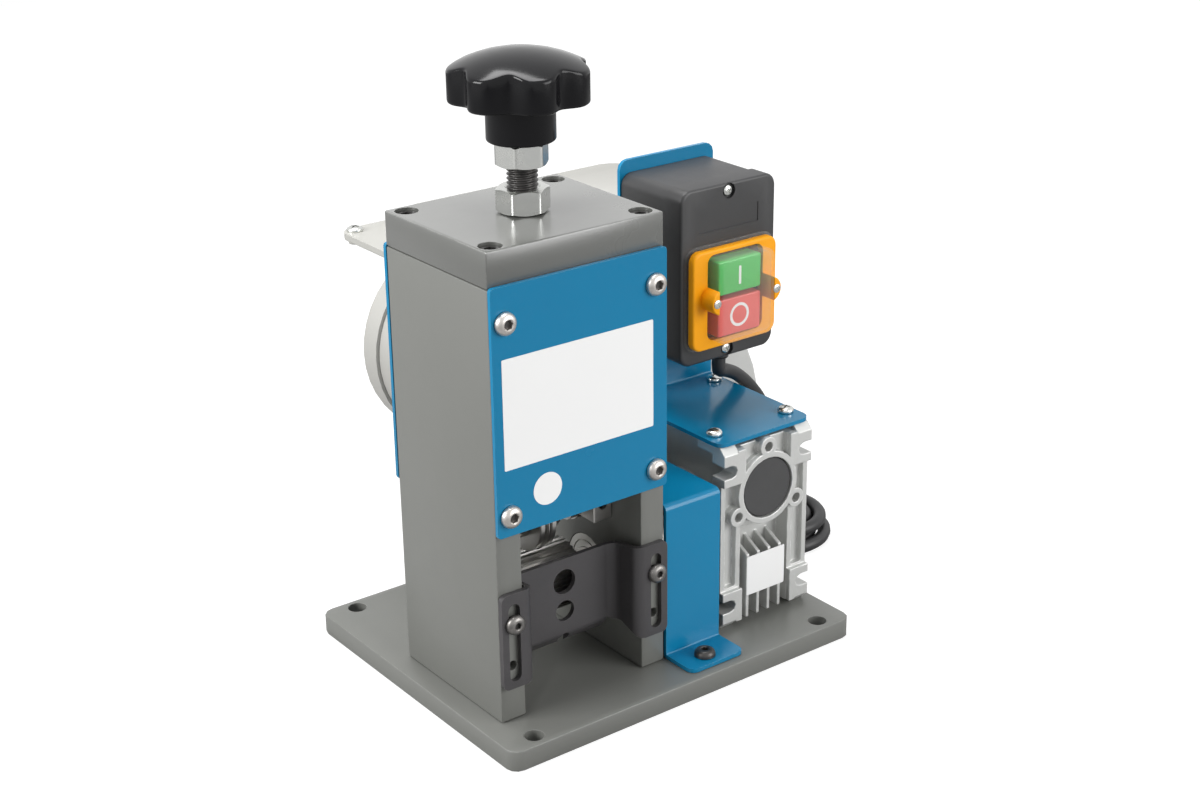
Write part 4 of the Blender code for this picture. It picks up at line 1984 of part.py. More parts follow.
def switch_box():
    """The switch's box: a deep base on the bracket and a lid with a window for the buttons."""
    corner = SWITCH_CORNER
    wall = SWITCH_WALL
    step = SWITCH_BASE_STEP
    base = plate(
        "switch_base",
        at("-Y", (0, SWITCH_BACK, 0)),
        [switch_box_outline(step, corner)],
        SWITCH_BASE_DEPTH,
        BLACK,
    )
    hollow = plate(
        "switch_base_hollow",
        at("-Y", (0, SWITCH_BACK - wall, 0)),
        [switch_box_outline(step + wall, corner - wall)],
        SWITCH_BASE_DEPTH,
    )
    cut(base, hollow)
    red = button_places()["red_button"]
    green = button_places()["green_button"]
    button_back = SWITCH_FRONT - BUTTON_PROUD + BUTTON_LENGTH + BUTTON_TRAVEL + GAP
    contacts = box(
        "contact_block",
        (GEAR_X - CONTACT_BLOCK_WIDTH / 2, button_back, red[0]),
        (GEAR_X + CONTACT_BLOCK_WIDTH / 2, SWITCH_BACK - wall / 2, green[1]),
    )
    join(base, contacts)
    lid = plate(
        "switch_lid",
        at("-Y", (0, SWITCH_FRONT + SWITCH_LID_DEPTH, 0)),
        [switch_box_outline(0.0, corner)],
        SWITCH_LID_DEPTH,
        BLACK,
    )
    bevel(lid, SWITCH_EDGE, 2, angle=50.0)
    lid_hollow = plate(
        "switch_lid_hollow",
        at("-Y", (0, SWITCH_FRONT + SWITCH_LID_DEPTH + OVERRUN, 0)),
        [switch_box_outline(wall, corner - wall)],
        SWITCH_LID_DEPTH - wall + OVERRUN,
    )
    cut(lid, lid_hollow)
    half = BUTTON_WIDTH / 2 + BUTTON_CLEARANCE
    window = box(
        "button_window",
        (GEAR_X - half, SWITCH_FRONT - OVERRUN, red[0] - BUTTON_CLEARANCE),
        (GEAR_X + half, SWITCH_FRONT + wall + OVERRUN, green[1] + BUTTON_CLEARANCE),
    )
    cut(lid, window)
    inset = SWITCH_SCREW_INSET
    for index, z in enumerate((SWITCH_BOTTOM + inset, SWITCH_TOP - inset)):
        well = rod(
            f"switch_screw_well_{index}",
            at("Y", (GEAR_X, SWITCH_FRONT - OVERRUN, z)),
            SWITCH_SCREW_WELL_DIAMETER / 2,
            SWITCH_SCREW_WELL_DEPTH + OVERRUN,
            steps=10,
        )
        cut(lid, well)
    return lid


def switch_hood():
    """The clear hood over the buttons: a box open at the back, with a thin flange under the frame."""
    bottom = SWITCH_BOTTOM + HOOD_RISE
    half = HOOD_WIDTH / 2
    back = SWITCH_FRONT - GAP
    outline = rectangle(
        GEAR_X - half, GEAR_X + half, bottom, bottom + HOOD_HEIGHT, HOOD_CORNER, steps=3
    )
    depth = HOOD_PROUD - GAP
    hood = plate("switch_hood", at("-Y", (0, back, 0)), [outline], depth, CLEAR)
    bevel(hood, HOOD_EDGE, 2, angle=50.0)
    reach = HOOD_FLANGE_REACH
    flange_half = BEZEL_WIDTH / 2 + reach
    low = SWITCH_BOTTOM + BEZEL_RISE - reach
    high = SWITCH_BOTTOM + BEZEL_RISE + BEZEL_HEIGHT + reach
    flange_outline = rectangle(
        GEAR_X - flange_half, GEAR_X + flange_half, low, high, BEZEL_CORNER + reach, steps=3
    )
    flange = plate("hood_flange", at("-Y", (0, back, 0)), [flange_outline], HOOD_WALL)
    wall = HOOD_WALL
    inner = rectangle(
        GEAR_X - half + wall,
        GEAR_X + half - wall,
        bottom + wall,
        bottom + HOOD_HEIGHT - wall,
        HOOD_CORNER - wall,
        steps=3,
    )
    hollow = plate("hood_hollow", at("-Y", (0, back + OVERRUN, 0)), [inner], depth - wall + OVERRUN)
    join(hood, flange)
    cut(hood, hollow)
    return hood


def switch_bezel():
    """The frame that holds the hood down, with a lug at each side for its screws."""
    low = SWITCH_BOTTOM + BEZEL_RISE
    half = BEZEL_WIDTH / 2
    outline = rectangle(GEAR_X - half, GEAR_X + half, low, low + BEZEL_HEIGHT, BEZEL_CORNER, 3)
    back = SWITCH_FRONT - 2 * GAP - HOOD_WALL
    frame_plate = plate("switch_bezel", at("-Y", (0, back, 0)), [outline], BEZEL_THICKNESS, ORANGE)
    bevel(frame_plate, BEZEL_EDGE, 2, angle=50.0)
    lug_depth = LUG_PROUD - (SWITCH_FRONT - back)
    for side in (-1, 1):
        middle = GEAR_X + side * LUG_OFFSET
        z = SWITCH_BOTTOM + LUG_RISE
        place = at("-Y", (middle, back, z))
        join(frame_plate, rod(f"lug_{side}", place, LUG_RADIUS, lug_depth, steps=16))
    hood_low = SWITCH_BOTTOM + HOOD_RISE - GAP
    hood_half = HOOD_WIDTH / 2 + GAP
    opening = rectangle(
        GEAR_X - hood_half,
        GEAR_X + hood_half,
        hood_low,
        hood_low + HOOD_HEIGHT + 2 * GAP,
        HOOD_CORNER,
        steps=3,
    )
    place = at("-Y", (0, back + OVERRUN, 0))
    cut(frame_plate, plate("bezel_opening", place, [opening], LUG_PROUD + 2 * OVERRUN))
    return frame_plate


def buttons():
    half = BUTTON_WIDTH / 2
    front = SWITCH_FRONT - BUTTON_PROUD
    looks = {"red_button": RED, "green_button": GREEN}
    for name, (low, high) in button_places().items():
        button = box(
            name,
            (GEAR_X - half, front, low),
            (GEAR_X + half, front + BUTTON_LENGTH, high),
            looks[name],
            BUTTON_EDGE,
        )
        carry(f"{name}_axis", (GEAR_X, front, (low + high) / 2), [button])


def hank_points():
    """The hank's centre line: two layers of loops, wound in above and out again below."""
    turn_steps = 2 * (HANK_RUN_STEPS + HANK_BEND_STEPS)
    inward_steps = HANK_LOOPS_PER_LAYER * turn_steps
    low = CORD_RADIUS + HANK_LIFT
    points = []
    for step in range(1, 2 * inward_steps + 2):
        away = abs(step - inward_steps - HANK_RUN_STEPS / 2)
        held = max(0.0, away - HANK_RUN_STEPS / 2)
        loops_left = HANK_LOOPS_PER_LAYER - held / turn_steps
        radius = HANK_RADIUS - HANK_STEP * loops_left
        sunk = min(1.0, max(0.0, (step - inward_steps) / HANK_RUN_STEPS))
        eased = sunk * sunk * (3 - 2 * sunk)
        z = low + HANK_LAYER * (1 - eased)
        x, y = hank_place(step % turn_steps, radius)
        points.append((x, y, z))
    return points


def hank_place(step, radius):
    """Where one step of a loop lies: left run, back bend, right run, front bend."""
    runs = HANK_RUN_STEPS
    bends = HANK_BEND_STEPS
    back_y = HANK_FRONT_Y + HANK_RUN
    if step <= runs:
        share = step / runs
        waist = HANK_WAIST * math.sin(math.pi * share) ** 2
        return HANK_X - radius + waist, HANK_FRONT_Y + HANK_RUN * share
    if step <= runs + bends:
        turn = math.pi * (1 - (step - runs) / bends)
        return HANK_X + radius * math.cos(turn), back_y + radius * math.sin(turn)
    if step <= 2 * runs + bends:
        share = (step - runs - bends) / runs
        waist = HANK_WAIST * math.sin(math.pi * share) ** 2
        return HANK_X + radius - waist, back_y - HANK_RUN * share
    turn = -math.pi * (step - 2 * runs - bends) / bends
    return HANK_X + radius * math.cos(turn), HANK_FRONT_Y + radius * math.sin(turn)


def least_gap(points, radius):
    """The least clear distance between parts of a tube that lie over three diameters apart along it."""
    spots = [Vector(point) for point in points]
    fine = []
    for first, second in zip(spots, spots[1:]):
        fine += [first.lerp(second, share / 6) for share in range(6)]
    along = [0.0]
    for first, second in zip(fine, fine[1:]):
        along.append(along[-1] + (second - first).length)
    least = None
    for i, first in enumerate(fine):
        for j in range(i + 1, len(fine)):
            if along[j] - along[i] > 6 * radius:
                gap = (fine[j] - first).length - 2 * radius
                least = gap if least is None else min(least, gap)
    return least


def cord():
    """The mains cord: its gland, the free stretch, the hank with its tail, and the plug."""
    half_top = GLAND_TOP_DIAMETER / 2
    half_end = GLAND_END_DIAMETER / 2
    profile = [
        (0.0, 0.0),
        (half_top, 0.0),
        (half_top, -GLAND_LENGTH * GLAND_COLLAR_SHARES[0]),
        (half_end + NUT_CHAMFER / 2, -GLAND_LENGTH * GLAND_COLLAR_SHARES[1]),
        (half_end, -GLAND_LENGTH),
        (0.0, -GLAND_LENGTH),
    ]
    turned("cord_gland", at("Z", (GLAND_X, GLAND_Y, GLAND_TOP)), profile, RUBBER, steps=16)
    hank = hank_points()
    start, after = Vector(hank[0]), Vector(hank[1])
    aim = (after - start).normalized()
    end = start - aim * GAP
    lead = [
        (GLAND_X, GLAND_Y, GLAND_BOTTOM - GAP),
        (GLAND_X, GLAND_Y, GLAND_BOTTOM - CORD_DIAMETER),
        *[tuple(value * MM for value in point) for point in CORD_ROUTE_MM],
        tuple(end - aim * CORD_DIAMETER),
        tuple(end),
    ]
    tube("mains_cord", smooth_route(lead, CORD_POINT_PITCH), CORD_RADIUS, RUBBER, 2)
    plug_z = PLUG_DIAMETER / 2 + HANK_LIFT
    tail_end = (PLUG_X, PLUG_Y - GAP, plug_z)
    tail = [
        hank[-2],
        hank[-1],
        *[tuple(value * MM for value in point) for point in TAIL_ROUTE_MM],
        (PLUG_X, PLUG_Y - GAP - CORD_DIAMETER, plug_z),
        tail_end,
    ]
    whole = hank[:-2] + smooth_route(tail, CORD_POINT_PITCH)
    tube("cord_hank", whole, CORD_RADIUS, RUBBER, 1)
    print(f"least gap of the hank to itself: {least_gap(whole, CORD_RADIUS) / MM:.2f} mm")
    mains_plug(plug_z)


def mains_plug(z):
    """A round plug with a tapered tail and two pins."""
    tail = PLUG_TAIL_DIAMETER / 2
    body = PLUG_DIAMETER / 2
    length = PLUG_TAIL_LENGTH + PLUG_BODY_LENGTH
    profile = [
        (0.0, 0.0),
        (tail, 0.0),
        (tail * PLUG_FLARE_SHARE, PLUG_TAIL_LENGTH),
        (body - PLUG_EDGE, PLUG_TAIL_LENGTH + PLUG_EDGE),
        (body, PLUG_TAIL_LENGTH + 3 * PLUG_EDGE),
        (body, length - PLUG_EDGE / 3),
        (body - PLUG_EDGE / 3, length),
        (0.0, length),
    ]
    plug = turned("mains_plug", at("Y", (PLUG_X, PLUG_Y, z)), profile, RUBBER, steps=20)
    for side in (-1, 1):
        x = PLUG_X + side * PLUG_PIN_SPREAD / 2
        place = at("Y", (x, PLUG_Y + length - PLUG_EDGE, z))
        pin_length = PLUG_PIN_LENGTH + PLUG_EDGE
        join(plug, rod(f"plug_pin_{side}", place, PLUG_PIN_DIAMETER / 2, pin_length, steps=8))
    return plug


def main():
    base_plate()
    frame()
    knob_stack()
    carriage()
    blade()
    feed_train()
    wire_guide()
    guide_screws()
    coupling_guard()
    gear_housing()
    gear_covers()
    motor()
    switch_bracket()
    switch_box()
    switch_bezel()
    switch_hood()
    buttons()
    cord()


for leftover in list(bpy.data.objects):
    bpy.data.objects.remove(leftover, do_unlink=True)

PARTS = new_collection("cable_stripping_machine")
CUTTERS = new_collection("cutters", shown=False)

PAINT = look("grey_paint", (0.26, 0.26, 0.24), 0.45)
BLUE = look("blue_paint", (0.02, 0.22, 0.42), 0.3)
STEEL = look("bright_steel", (0.62, 0.61, 0.6), 0.3, 1.0)
ZINC = look("zinc_plate", (0.75, 0.74, 0.7), 0.25, 1.0)
DARK_STEEL = look("blackened_steel", (0.12, 0.12, 0.12), 0.35, 1.0)
DARK_SHEET = look("dark_sheet", (0.08, 0.08, 0.08), 0.5, 0.3)
BRASS = look("bronze", (0.6, 0.42, 0.18), 0.35, 1.0)
ALUMINIUM = look("cast_aluminium", (0.72, 0.73, 0.72), 0.4, 0.8)
MOTOR_PAINT = look("motor_aluminium", (0.66, 0.66, 0.63), 0.45, 0.4)
CAPACITOR_PLASTIC = look("pale_plastic", (0.8, 0.8, 0.77), 0.4)
BLACK = look("black_plastic", (0.02, 0.02, 0.02), 0.35)
ORANGE = look("orange_plastic", (0.9, 0.35, 0.01), 0.4)
GREEN = look("green_plastic", (0.1, 0.5, 0.12), 0.4)
RED = look("red_plastic", (0.7, 0.08, 0.08), 0.4)
CLEAR = look("clear_plastic", (0.9, 0.9, 0.9), 0.1, 0.0, 0.3)
RUBBER = look("black_rubber", (0.015, 0.015, 0.015), 0.5)

main()
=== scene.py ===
"""Looks of a bench machine that strips cable.

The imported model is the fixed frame. Each sub-assembly is a class: its sizes are dataclass fields, its
methods build the finer meshes that stand for the model's solids, and it dresses what it keeps. All
lengths are in metres, +X is right, +Y is back and +Z is up.
"""

import json
import logging
import math
from collections.abc import Callable, Sequence
from dataclasses import dataclass
from enum import Enum

import bmesh
import bpy
from mathutils import Matrix, Vector


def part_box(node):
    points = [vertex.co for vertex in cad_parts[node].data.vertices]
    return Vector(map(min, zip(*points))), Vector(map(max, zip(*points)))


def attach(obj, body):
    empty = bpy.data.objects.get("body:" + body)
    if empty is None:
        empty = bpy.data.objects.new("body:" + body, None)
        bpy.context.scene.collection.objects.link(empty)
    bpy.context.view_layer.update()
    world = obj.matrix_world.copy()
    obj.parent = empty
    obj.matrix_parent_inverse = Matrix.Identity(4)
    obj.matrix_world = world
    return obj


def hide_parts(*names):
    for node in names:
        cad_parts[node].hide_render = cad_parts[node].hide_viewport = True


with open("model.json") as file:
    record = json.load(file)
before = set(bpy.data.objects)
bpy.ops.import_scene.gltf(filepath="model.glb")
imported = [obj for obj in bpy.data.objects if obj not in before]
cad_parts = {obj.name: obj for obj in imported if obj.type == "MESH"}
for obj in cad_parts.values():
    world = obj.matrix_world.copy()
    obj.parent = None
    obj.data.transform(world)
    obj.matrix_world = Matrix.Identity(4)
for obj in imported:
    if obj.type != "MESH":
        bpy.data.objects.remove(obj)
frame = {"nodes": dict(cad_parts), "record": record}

MM = 0.001
FULL_TURN = 2 * math.pi
WELD = 0.004 * MM
# Faces that would lie in one plane are kept this far apart.
HAIR = 0.02 * MM
# From this angle in degrees an edge is shaded sharp.
SHARP_ANGLE = 35.0
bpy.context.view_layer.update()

log = logging.getLogger("cable_stripping_machine")

Point = Sequence[float]
Ring = list[tuple[float, float, float]]
Outline = list[tuple[float, float]]


class Facing(Enum):
    """The way a place's own +Z points, as the world directions of its x, y and z."""

    BACK = ((0, 0, 1), (1, 0, 0), (0, 1, 0))
    UP = ((1, 0, 0), (0, 1, 0), (0, 0, 1))
    FRONT = ((1, 0, 0), (0, 0, 1), (0, -1, 0))

    def at(self, point: Point) -> Matrix:
        """The place at the point with this facing."""
        turn = Matrix([Vector(row) for row in self.value]).transposed().to_4x4()
        return Matrix.Translation(point) @ turn


def corners(node: str) -> tuple[Vector, Vector]:
    """The lowest and highest corner of a node of the model."""
    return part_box(node)


def middle(node: str) -> Vector:
    """The middle of a node's box."""
    low, high = corners(node)
    return (low + high) / 2


def corner_spots(low: Vector, high: Vector, inset: float) -> Outline:
    """The four spots that lie inside a box's corners by the inset, seen from above."""
    xs, ys = (low.x + inset, high.x - inset), (low.y + inset, high.y - inset)
    return [(x, y) for x in xs for y in ys]


def mesh_object(name: str, shape: bmesh.types.BMesh, angle: float = SHARP_ANGLE) -> bpy.types.Object:
    """Makes an object of the shape, shaded smooth but for its sharp edges.

    Args:
        name: the object's name.
        shape: the geometry, which is freed.
        angle: the angle in degrees from which an edge stays sharp.

    Returns:
        The new object, linked to the scene.
    """
    bmesh.ops.recalc_face_normals(shape, faces=shape.faces)
    data = bpy.data.meshes.new(name)
    shape.to_mesh(data)
    shape.free()
    data.shade_smooth()
    data.set_sharp_from_angle(angle=math.radians(angle))
    made = bpy.data.objects.new(name, data)
    bpy.context.scene.collection.objects.link(made)
    return made


def loft(name: str, place: Matrix, rings: Sequence[Ring], angle: float = SHARP_ANGLE) -> bpy.types.Object:
    """Skins rings of equal count from first to last and caps both ends."""
    shape = bmesh.new()
    rows = [[shape.verts.new(place @ Vector(point)) for point in ring] for ring in rings]
    for near, far in zip(rows, rows[1:]):
        for index in range(len(near)):
            after = (index + 1) % len(near)
            shape.faces.new((near[index], near[after], far[after], far[index]))
    for ring in (rows[0], rows[-1]):
        shape.faces.new(ring)
    return mesh_object(name, shape, angle)


def turned(
    name: str, place: Matrix, profile: Outline, steps: int = 64, angle: float = SHARP_ANGLE
) -> bpy.types.Object:
    """Turns a closed or axis-to-axis profile of (radius, height) about the place's +Z."""
    shape = bmesh.new()
    closed = bool(profile[0][0] or profile[-1][0])
    points = [shape.verts.new(place @ Vector((radius, 0, height))) for radius, height in profile]
    for first, second in zip(points, points[1:]):
        shape.edges.new((first, second))
    if closed:
        shape.edges.new((points[-1], points[0]))
    bmesh.ops.spin(
        shape,
        geom=shape.verts[:] + shape.edges[:],
        cent=place.translation,
        axis=place.to_3x3() @ Vector((0, 0, 1)),
        angle=FULL_TURN,
        steps=steps,
    )
    bmesh.ops.remove_doubles(shape, verts=shape.verts, dist=WELD)
    return mesh_object(name, shape, angle)


def arc(middle_point: Point, radius: float, start: float, end: float, steps: int) -> Outline:
    """Points along an arc, both ends included, angles in degrees."""
    turns = [math.radians(start + (end - start) * step / steps) for step in range(steps + 1)]
    u, v = middle_point
    return [(u + radius * math.cos(turn), v + radius * math.sin(turn)) for turn in turns]


def quarter_round(steps: int) -> Outline:
    """A quarter round at even steps, as shares of its radius along one side and off the other."""
    turns = [math.pi / 2 * step / steps for step in range(steps + 1)]
    return [(1 - math.cos(turn), 1 - math.sin(turn)) for turn in turns]


def rounded_rectangle(
    left: float, right: float, low: float, high: float, radius: float, steps: int = 6
) -> Outline:
    """A rectangle's outline with rounded corners, counter-clockwise."""
    spots = ((right - radius, high - radius), (left + radius, high - radius))
    spots += ((left + radius, low + radius), (right - radius, low + radius))
    made: Outline = []
    for index, spot in enumerate(spots):
        made += arc(spot, radius, 90 * index, 90 * (index + 1), steps)
    return made


def plate(
    name: str, place: Matrix, outline: Outline, thickness: float, edge: float = 0.0, steps: int = 3
) -> bpy.types.Object:
    """A flat outline thickened along the place's +Z, its outer face's edge rounded."""
    rings = [[(u, v, 0.0) for u, v in outline]]
    centre = Vector((sum(u for u, _ in outline), sum(v for _, v in outline))) / len(outline)
    for along, off in quarter_round(steps) if edge else ((0.0, 0.0),):
        height = thickness - edge * off
        rings.append([(*inward((u, v), centre, edge * along), height) for u, v in outline])
    return loft(name, place, rings)


def inward(spot: Point, centre: Vector, inset: float) -> tuple[float, float]:
    """A spot of a box-like outline drawn in by the inset on each axis."""
    u, v = spot
    du, dv = centre[0] - u, centre[1] - v
    return (
        u + math.copysign(min(inset, abs(du)), du),
        v + math.copysign(min(inset, abs(dv)), dv),
    )


def rod(
    name: str, place: Matrix, radius: float, length: float, edge: float = 0.0, steps: int = 48
) -> bpy.types.Object:
    """A cylinder from the place's origin along its +Z, its far edge rounded."""
    rounding = quarter_round(3) if edge else [(0.0, 0.0)]
    wall = [(radius - edge * along, length - edge * off) for along, off in rounding]
    return turned(name, place, [(0.0, 0.0), (radius, 0.0), *wall, (0.0, length)], steps)


def combine(item: bpy.types.Object, others: Sequence[bpy.types.Object], way: str) -> bpy.types.Object:
    """Cuts the others from the item or joins them to it, and removes them.

    Args:
        item: the object that is changed.
        others: the objects that it is changed by.
        way: DIFFERENCE or UNION.

    Returns:
        The item.
    """
    for other in others:
        change = item.modifiers.new(way.lower(), "BOOLEAN")
        change.operation = way
        change.object = other
    graph = bpy.context.evaluated_depsgraph_get()
    data = bpy.data.meshes.new_from_object(item.evaluated_get(graph))
    item.modifiers.clear()
    item.data = data
    data.set_sharp_from_angle(angle=math.radians(SHARP_ANGLE))
    for other in others:
        bpy.data.objects.remove(other, do_unlink=True)
    return item


def hexagon(reach: float) -> Outline:
    """A hexagon's outline, its corners at the reach."""
    return arc((0.0, 0.0), reach, 0, 300, 5)


@dataclass(frozen=True)
class CrossHead:
    """A pan head with a cross recess, its form given as shares of its radius and height."""

    shank: float = 1.2 * MM
    shank_share: float = 0.55
    seat_share: float = 0.95
    rim_share: float = 0.3
    roundness: float = 0.8
    dome_steps: int = 7
    slot_reach_share: float = 0.55
    slot_width_share: float = 0.11
    slot_floor_share: float = 0.35
    slot_turn: float = 28.0

    def build(self, name: str, place: Matrix, radius: float, height: float) -> bpy.types.Object:
        """One head, seated at the place, with a short piece of its shank."""
        neck, rim = radius * self.shank_share, self.rim_share
        profile = [(0.0, -self.shank), (neck, -self.shank), (neck, 0.0)]
        profile.append((radius * self.seat_share, 0.0))
        for step in range(self.dome_steps + 1):
            turn = math.pi / 2 * step / self.dome_steps
            reach = radius * math.cos(turn) ** self.roundness
            profile.append((reach, height * (rim + (1 - rim) * math.sin(turn))))
        head = turned(name, place, profile, steps=40, angle=30.0)
        reach, width = radius * self.slot_reach_share, radius * self.slot_width_share
        slot = [(-reach, -width), (reach, -width), (reach, width), (-reach, width)]
        cutters = []
        for index in range(2):
            spin = Matrix.Rotation(math.radians(self.slot_turn + 90 * index), 4, "Z")
            deep = place @ spin @ Matrix.Translation((0, 0, height * self.slot_floor_share))
            cutters.append(plate(f"{name}_slot_{index}", deep, slot, height))
        return combine(head, cutters, "DIFFERENCE")


CROSS_HEAD = CrossHead()


def smooth_route(points: Sequence[Point], pitch: float) -> list[Vector]:
    """Points about one pitch apart on a smooth curve through the given points."""
    spots = [Vector(point) for point in points]
    made = [spots[0]]
    for index in range(len(spots) - 1):
        p1, p2 = spots[index], spots[index + 1]
        p0 = spots[index - 1] if index else p1 * 2 - p2
        p3 = spots[index + 2] if index + 2 < len(spots) else p2 * 2 - p1
        count = max(1, round((p2 - p1).length / pitch))
        for step in range(1, count + 1):
            t = step / count
            bent = p1 * 2 + (p2 - p0) * t + (p0 * 2 - p1 * 5 + p2 * 4 - p3) * t**2
            made.append((bent + (p1 * 3 - p0 - p2 * 3 + p3) * t**3) / 2)
    return made


class Grain(Enum):
    """The way a surface's fine marks run."""

    EVEN = (1.0, 1.0, 1.0)
    ROUND_X = (0.02, 0.6, 0.6)


class SharedGroups:
    """Node groups that more than one finish places, each built once."""

    def __init__(self) -> None:
        """Starts with none built."""
        self.built: dict[str, bpy.types.NodeTree] = {}

    def start(
        self, name: str, inputs: dict[str, float | Point], outputs: Sequence[str]
    ) -> tuple[bpy.types.NodeTree, bpy.types.Node, bpy.types.Node]:
        """Makes an empty group with named sockets.

        Args:
            name: the group's name.
            inputs: each input's name and default, a number, a point or a colour of four numbers.
            outputs: the names of the outputs; one that ends in Colour is a colour.

        Returns:
            The group, its input node and its output node.
        """
        tree = bpy.data.node_groups.new(name, "ShaderNodeTree")
        for label, value in inputs.items():
            kind = "NodeSocketFloat"
            if not isinstance(value, float):
                kind = "NodeSocketColor" if len(value) > 3 else "NodeSocketVector"
            socket = tree.interface.new_socket(label, in_out="INPUT", socket_type=kind)
            socket.default_value = value
        for label in outputs:
            kind = "NodeSocketColor" if label.endswith("Colour") else "NodeSocketFloat"
            tree.interface.new_socket(label, in_out="OUTPUT", socket_type=kind)
        self.built[name] = tree
        return tree, tree.nodes.new("NodeGroupInput"), tree.nodes.new("NodeGroupOutput")

    def marks(self) -> bpy.types.NodeTree:
        """Fine grain or brushing: a height that runs with the stretch."""
        if "fine_marks" in self.built:
            return self.built["fine_marks"]
        tree, given, out = self.start(
            "fine_marks",
            {"Scale": 900.0, "Stretch": (1.0, 1.0, 1.0), "Detail": 3.0},
            ("Height",),
        )
        link = tree.links.new
        place = tree.nodes.new("ShaderNodeTexCoord")
        stretch = tree.nodes.new("ShaderNodeVectorMath")
        stretch.operation = "MULTIPLY"
        link(place.outputs["Object"], stretch.inputs[0])
        link(given.outputs["Stretch"], stretch.inputs[1])
        noise = tree.nodes.new("ShaderNodeTexNoise")
        link(stretch.outputs[0], noise.inputs["Vector"])
        link(given.outputs["Scale"], noise.inputs["Scale"])
        link(given.outputs["Detail"], noise.inputs["Detail"])
        link(noise.outputs["Fac"], out.inputs["Height"])
        return tree

    def handling(self) -> bpy.types.NodeTree:
        """Slow patches that change a colour and a roughness a little, as handling and dust do."""
        if "handling" in self.built:
            return self.built["handling"]
        tree, given, out = self.start(
            "handling",
            {
                "Colour": (0.5, 0.5, 0.5, 1.0),
                "Patch Colour": (0.4, 0.4, 0.4, 1.0),
                "Scale": 18.0,
                "Amount": 0.5,
                "Roughness": 0.4,
                "Change": 0.1,
            },
            ("Colour", "Roughness"),
        )
        link = tree.links.new
        place = tree.nodes.new("ShaderNodeTexCoord")
        patches = tree.nodes.new("ShaderNodeTexNoise")
        patches.inputs["Detail"].default_value = 5.0
        patches.inputs["Roughness"].default_value = 0.62
        link(place.outputs["Object"], patches.inputs["Vector"])
        link(given.outputs["Scale"], patches.inputs["Scale"])
        spread = tree.nodes.new("ShaderNodeMapRange")
        spread.inputs["From Min"].default_value = 0.36
        spread.inputs["From Max"].default_value = 0.68
        link(patches.outputs["Fac"], spread.inputs["Value"])
        share = tree.nodes.new("ShaderNodeMath")
        share.operation = "MULTIPLY"
        link(spread.outputs["Result"], share.inputs[0])
        link(given.outputs["Amount"], share.inputs[1])
        mix = tree.nodes.new("ShaderNodeMix")
        mix.data_type = "RGBA"
        link(share.outputs[0], mix.inputs["Factor"])
        link(given.outputs["Colour"], mix.inputs[6])
        link(given.outputs["Patch Colour"], mix.inputs[7])
        gloss = tree.nodes.new("ShaderNodeMath")
        gloss.operation = "MULTIPLY_ADD"
        link(spread.outputs["Result"], gloss.inputs[0])
        link(given.outputs["Change"], gloss.inputs[1])
        link(given.outputs["Roughness"], gloss.inputs[2])
        link(mix.outputs[2], out.inputs["Colour"])
        link(gloss.outputs[0], out.inputs["Roughness"])
        return tree

    def edge_highlight_paint(self) -> bpy.types.NodeTree:
        """Painted highlight: a lighter colour laid over the base along its edges, broken up by noise."""
        if "edge_highlight_paint" in self.built:
            return self.built["edge_highlight_paint"]
        tree, given, out = self.start(
            "edge_highlight_paint",
            {
                "Colour": (0.5, 0.5, 0.5, 1.0),
                "Highlight Colour": (0.7, 0.7, 0.7, 1.0),
                "Width": 0.0007,
                "Amount": 0.5,
                "Breakup": 160.0,
            },
            ("Colour",),
        )
        link = tree.links.new
        place = tree.nodes.new("ShaderNodeTexCoord")
        surface = tree.nodes.new("ShaderNodeNewGeometry")
        soft = tree.nodes.new("ShaderNodeBevel")
        soft.samples = 4
        link(given.outputs["Width"], soft.inputs["Radius"])
        likeness = tree.nodes.new("ShaderNodeVectorMath")
        likeness.operation = "DOT_PRODUCT"
        link(soft.outputs["Normal"], likeness.inputs[0])
        link(surface.outputs["Normal"], likeness.inputs[1])
        edge = tree.nodes.new("ShaderNodeMapRange")
        edge.inputs["From Min"].default_value = 0.99
        edge.inputs["From Max"].default_value = 0.86
        link(likeness.outputs["Value"], edge.inputs["Value"])
        noise = tree.nodes.new("ShaderNodeTexNoise")
        link(place.outputs["Object"], noise.inputs["Vector"])
        link(given.outputs["Breakup"], noise.inputs["Scale"])
        broken = tree.nodes.new("ShaderNodeMapRange")
        broken.inputs["From Min"].default_value = 0.42
        broken.inputs["From Max"].default_value = 0.6
        link(noise.outputs["Fac"], broken.inputs["Value"])
        both = tree.nodes.new("ShaderNodeMath")
        both.operation = "MULTIPLY"
        link(edge.outputs["Result"], both.inputs[0])
        link(broken.outputs["Result"], both.inputs[1])
        share = tree.nodes.new("ShaderNodeMath")
        share.operation = "MULTIPLY"
        link(both.outputs[0], share.inputs[0])
        link(given.outputs["Amount"], share.inputs[1])
        mix = tree.nodes.new("ShaderNodeMix")
        mix.data_type = "RGBA"
        link(share.outputs[0], mix.inputs["Factor"])
        link(given.outputs["Colour"], mix.inputs[6])
        link(given.outputs["Highlight Colour"], mix.inputs[7])
        link(mix.outputs[2], out.inputs["Colour"])
        return tree


GROUPS = SharedGroups()


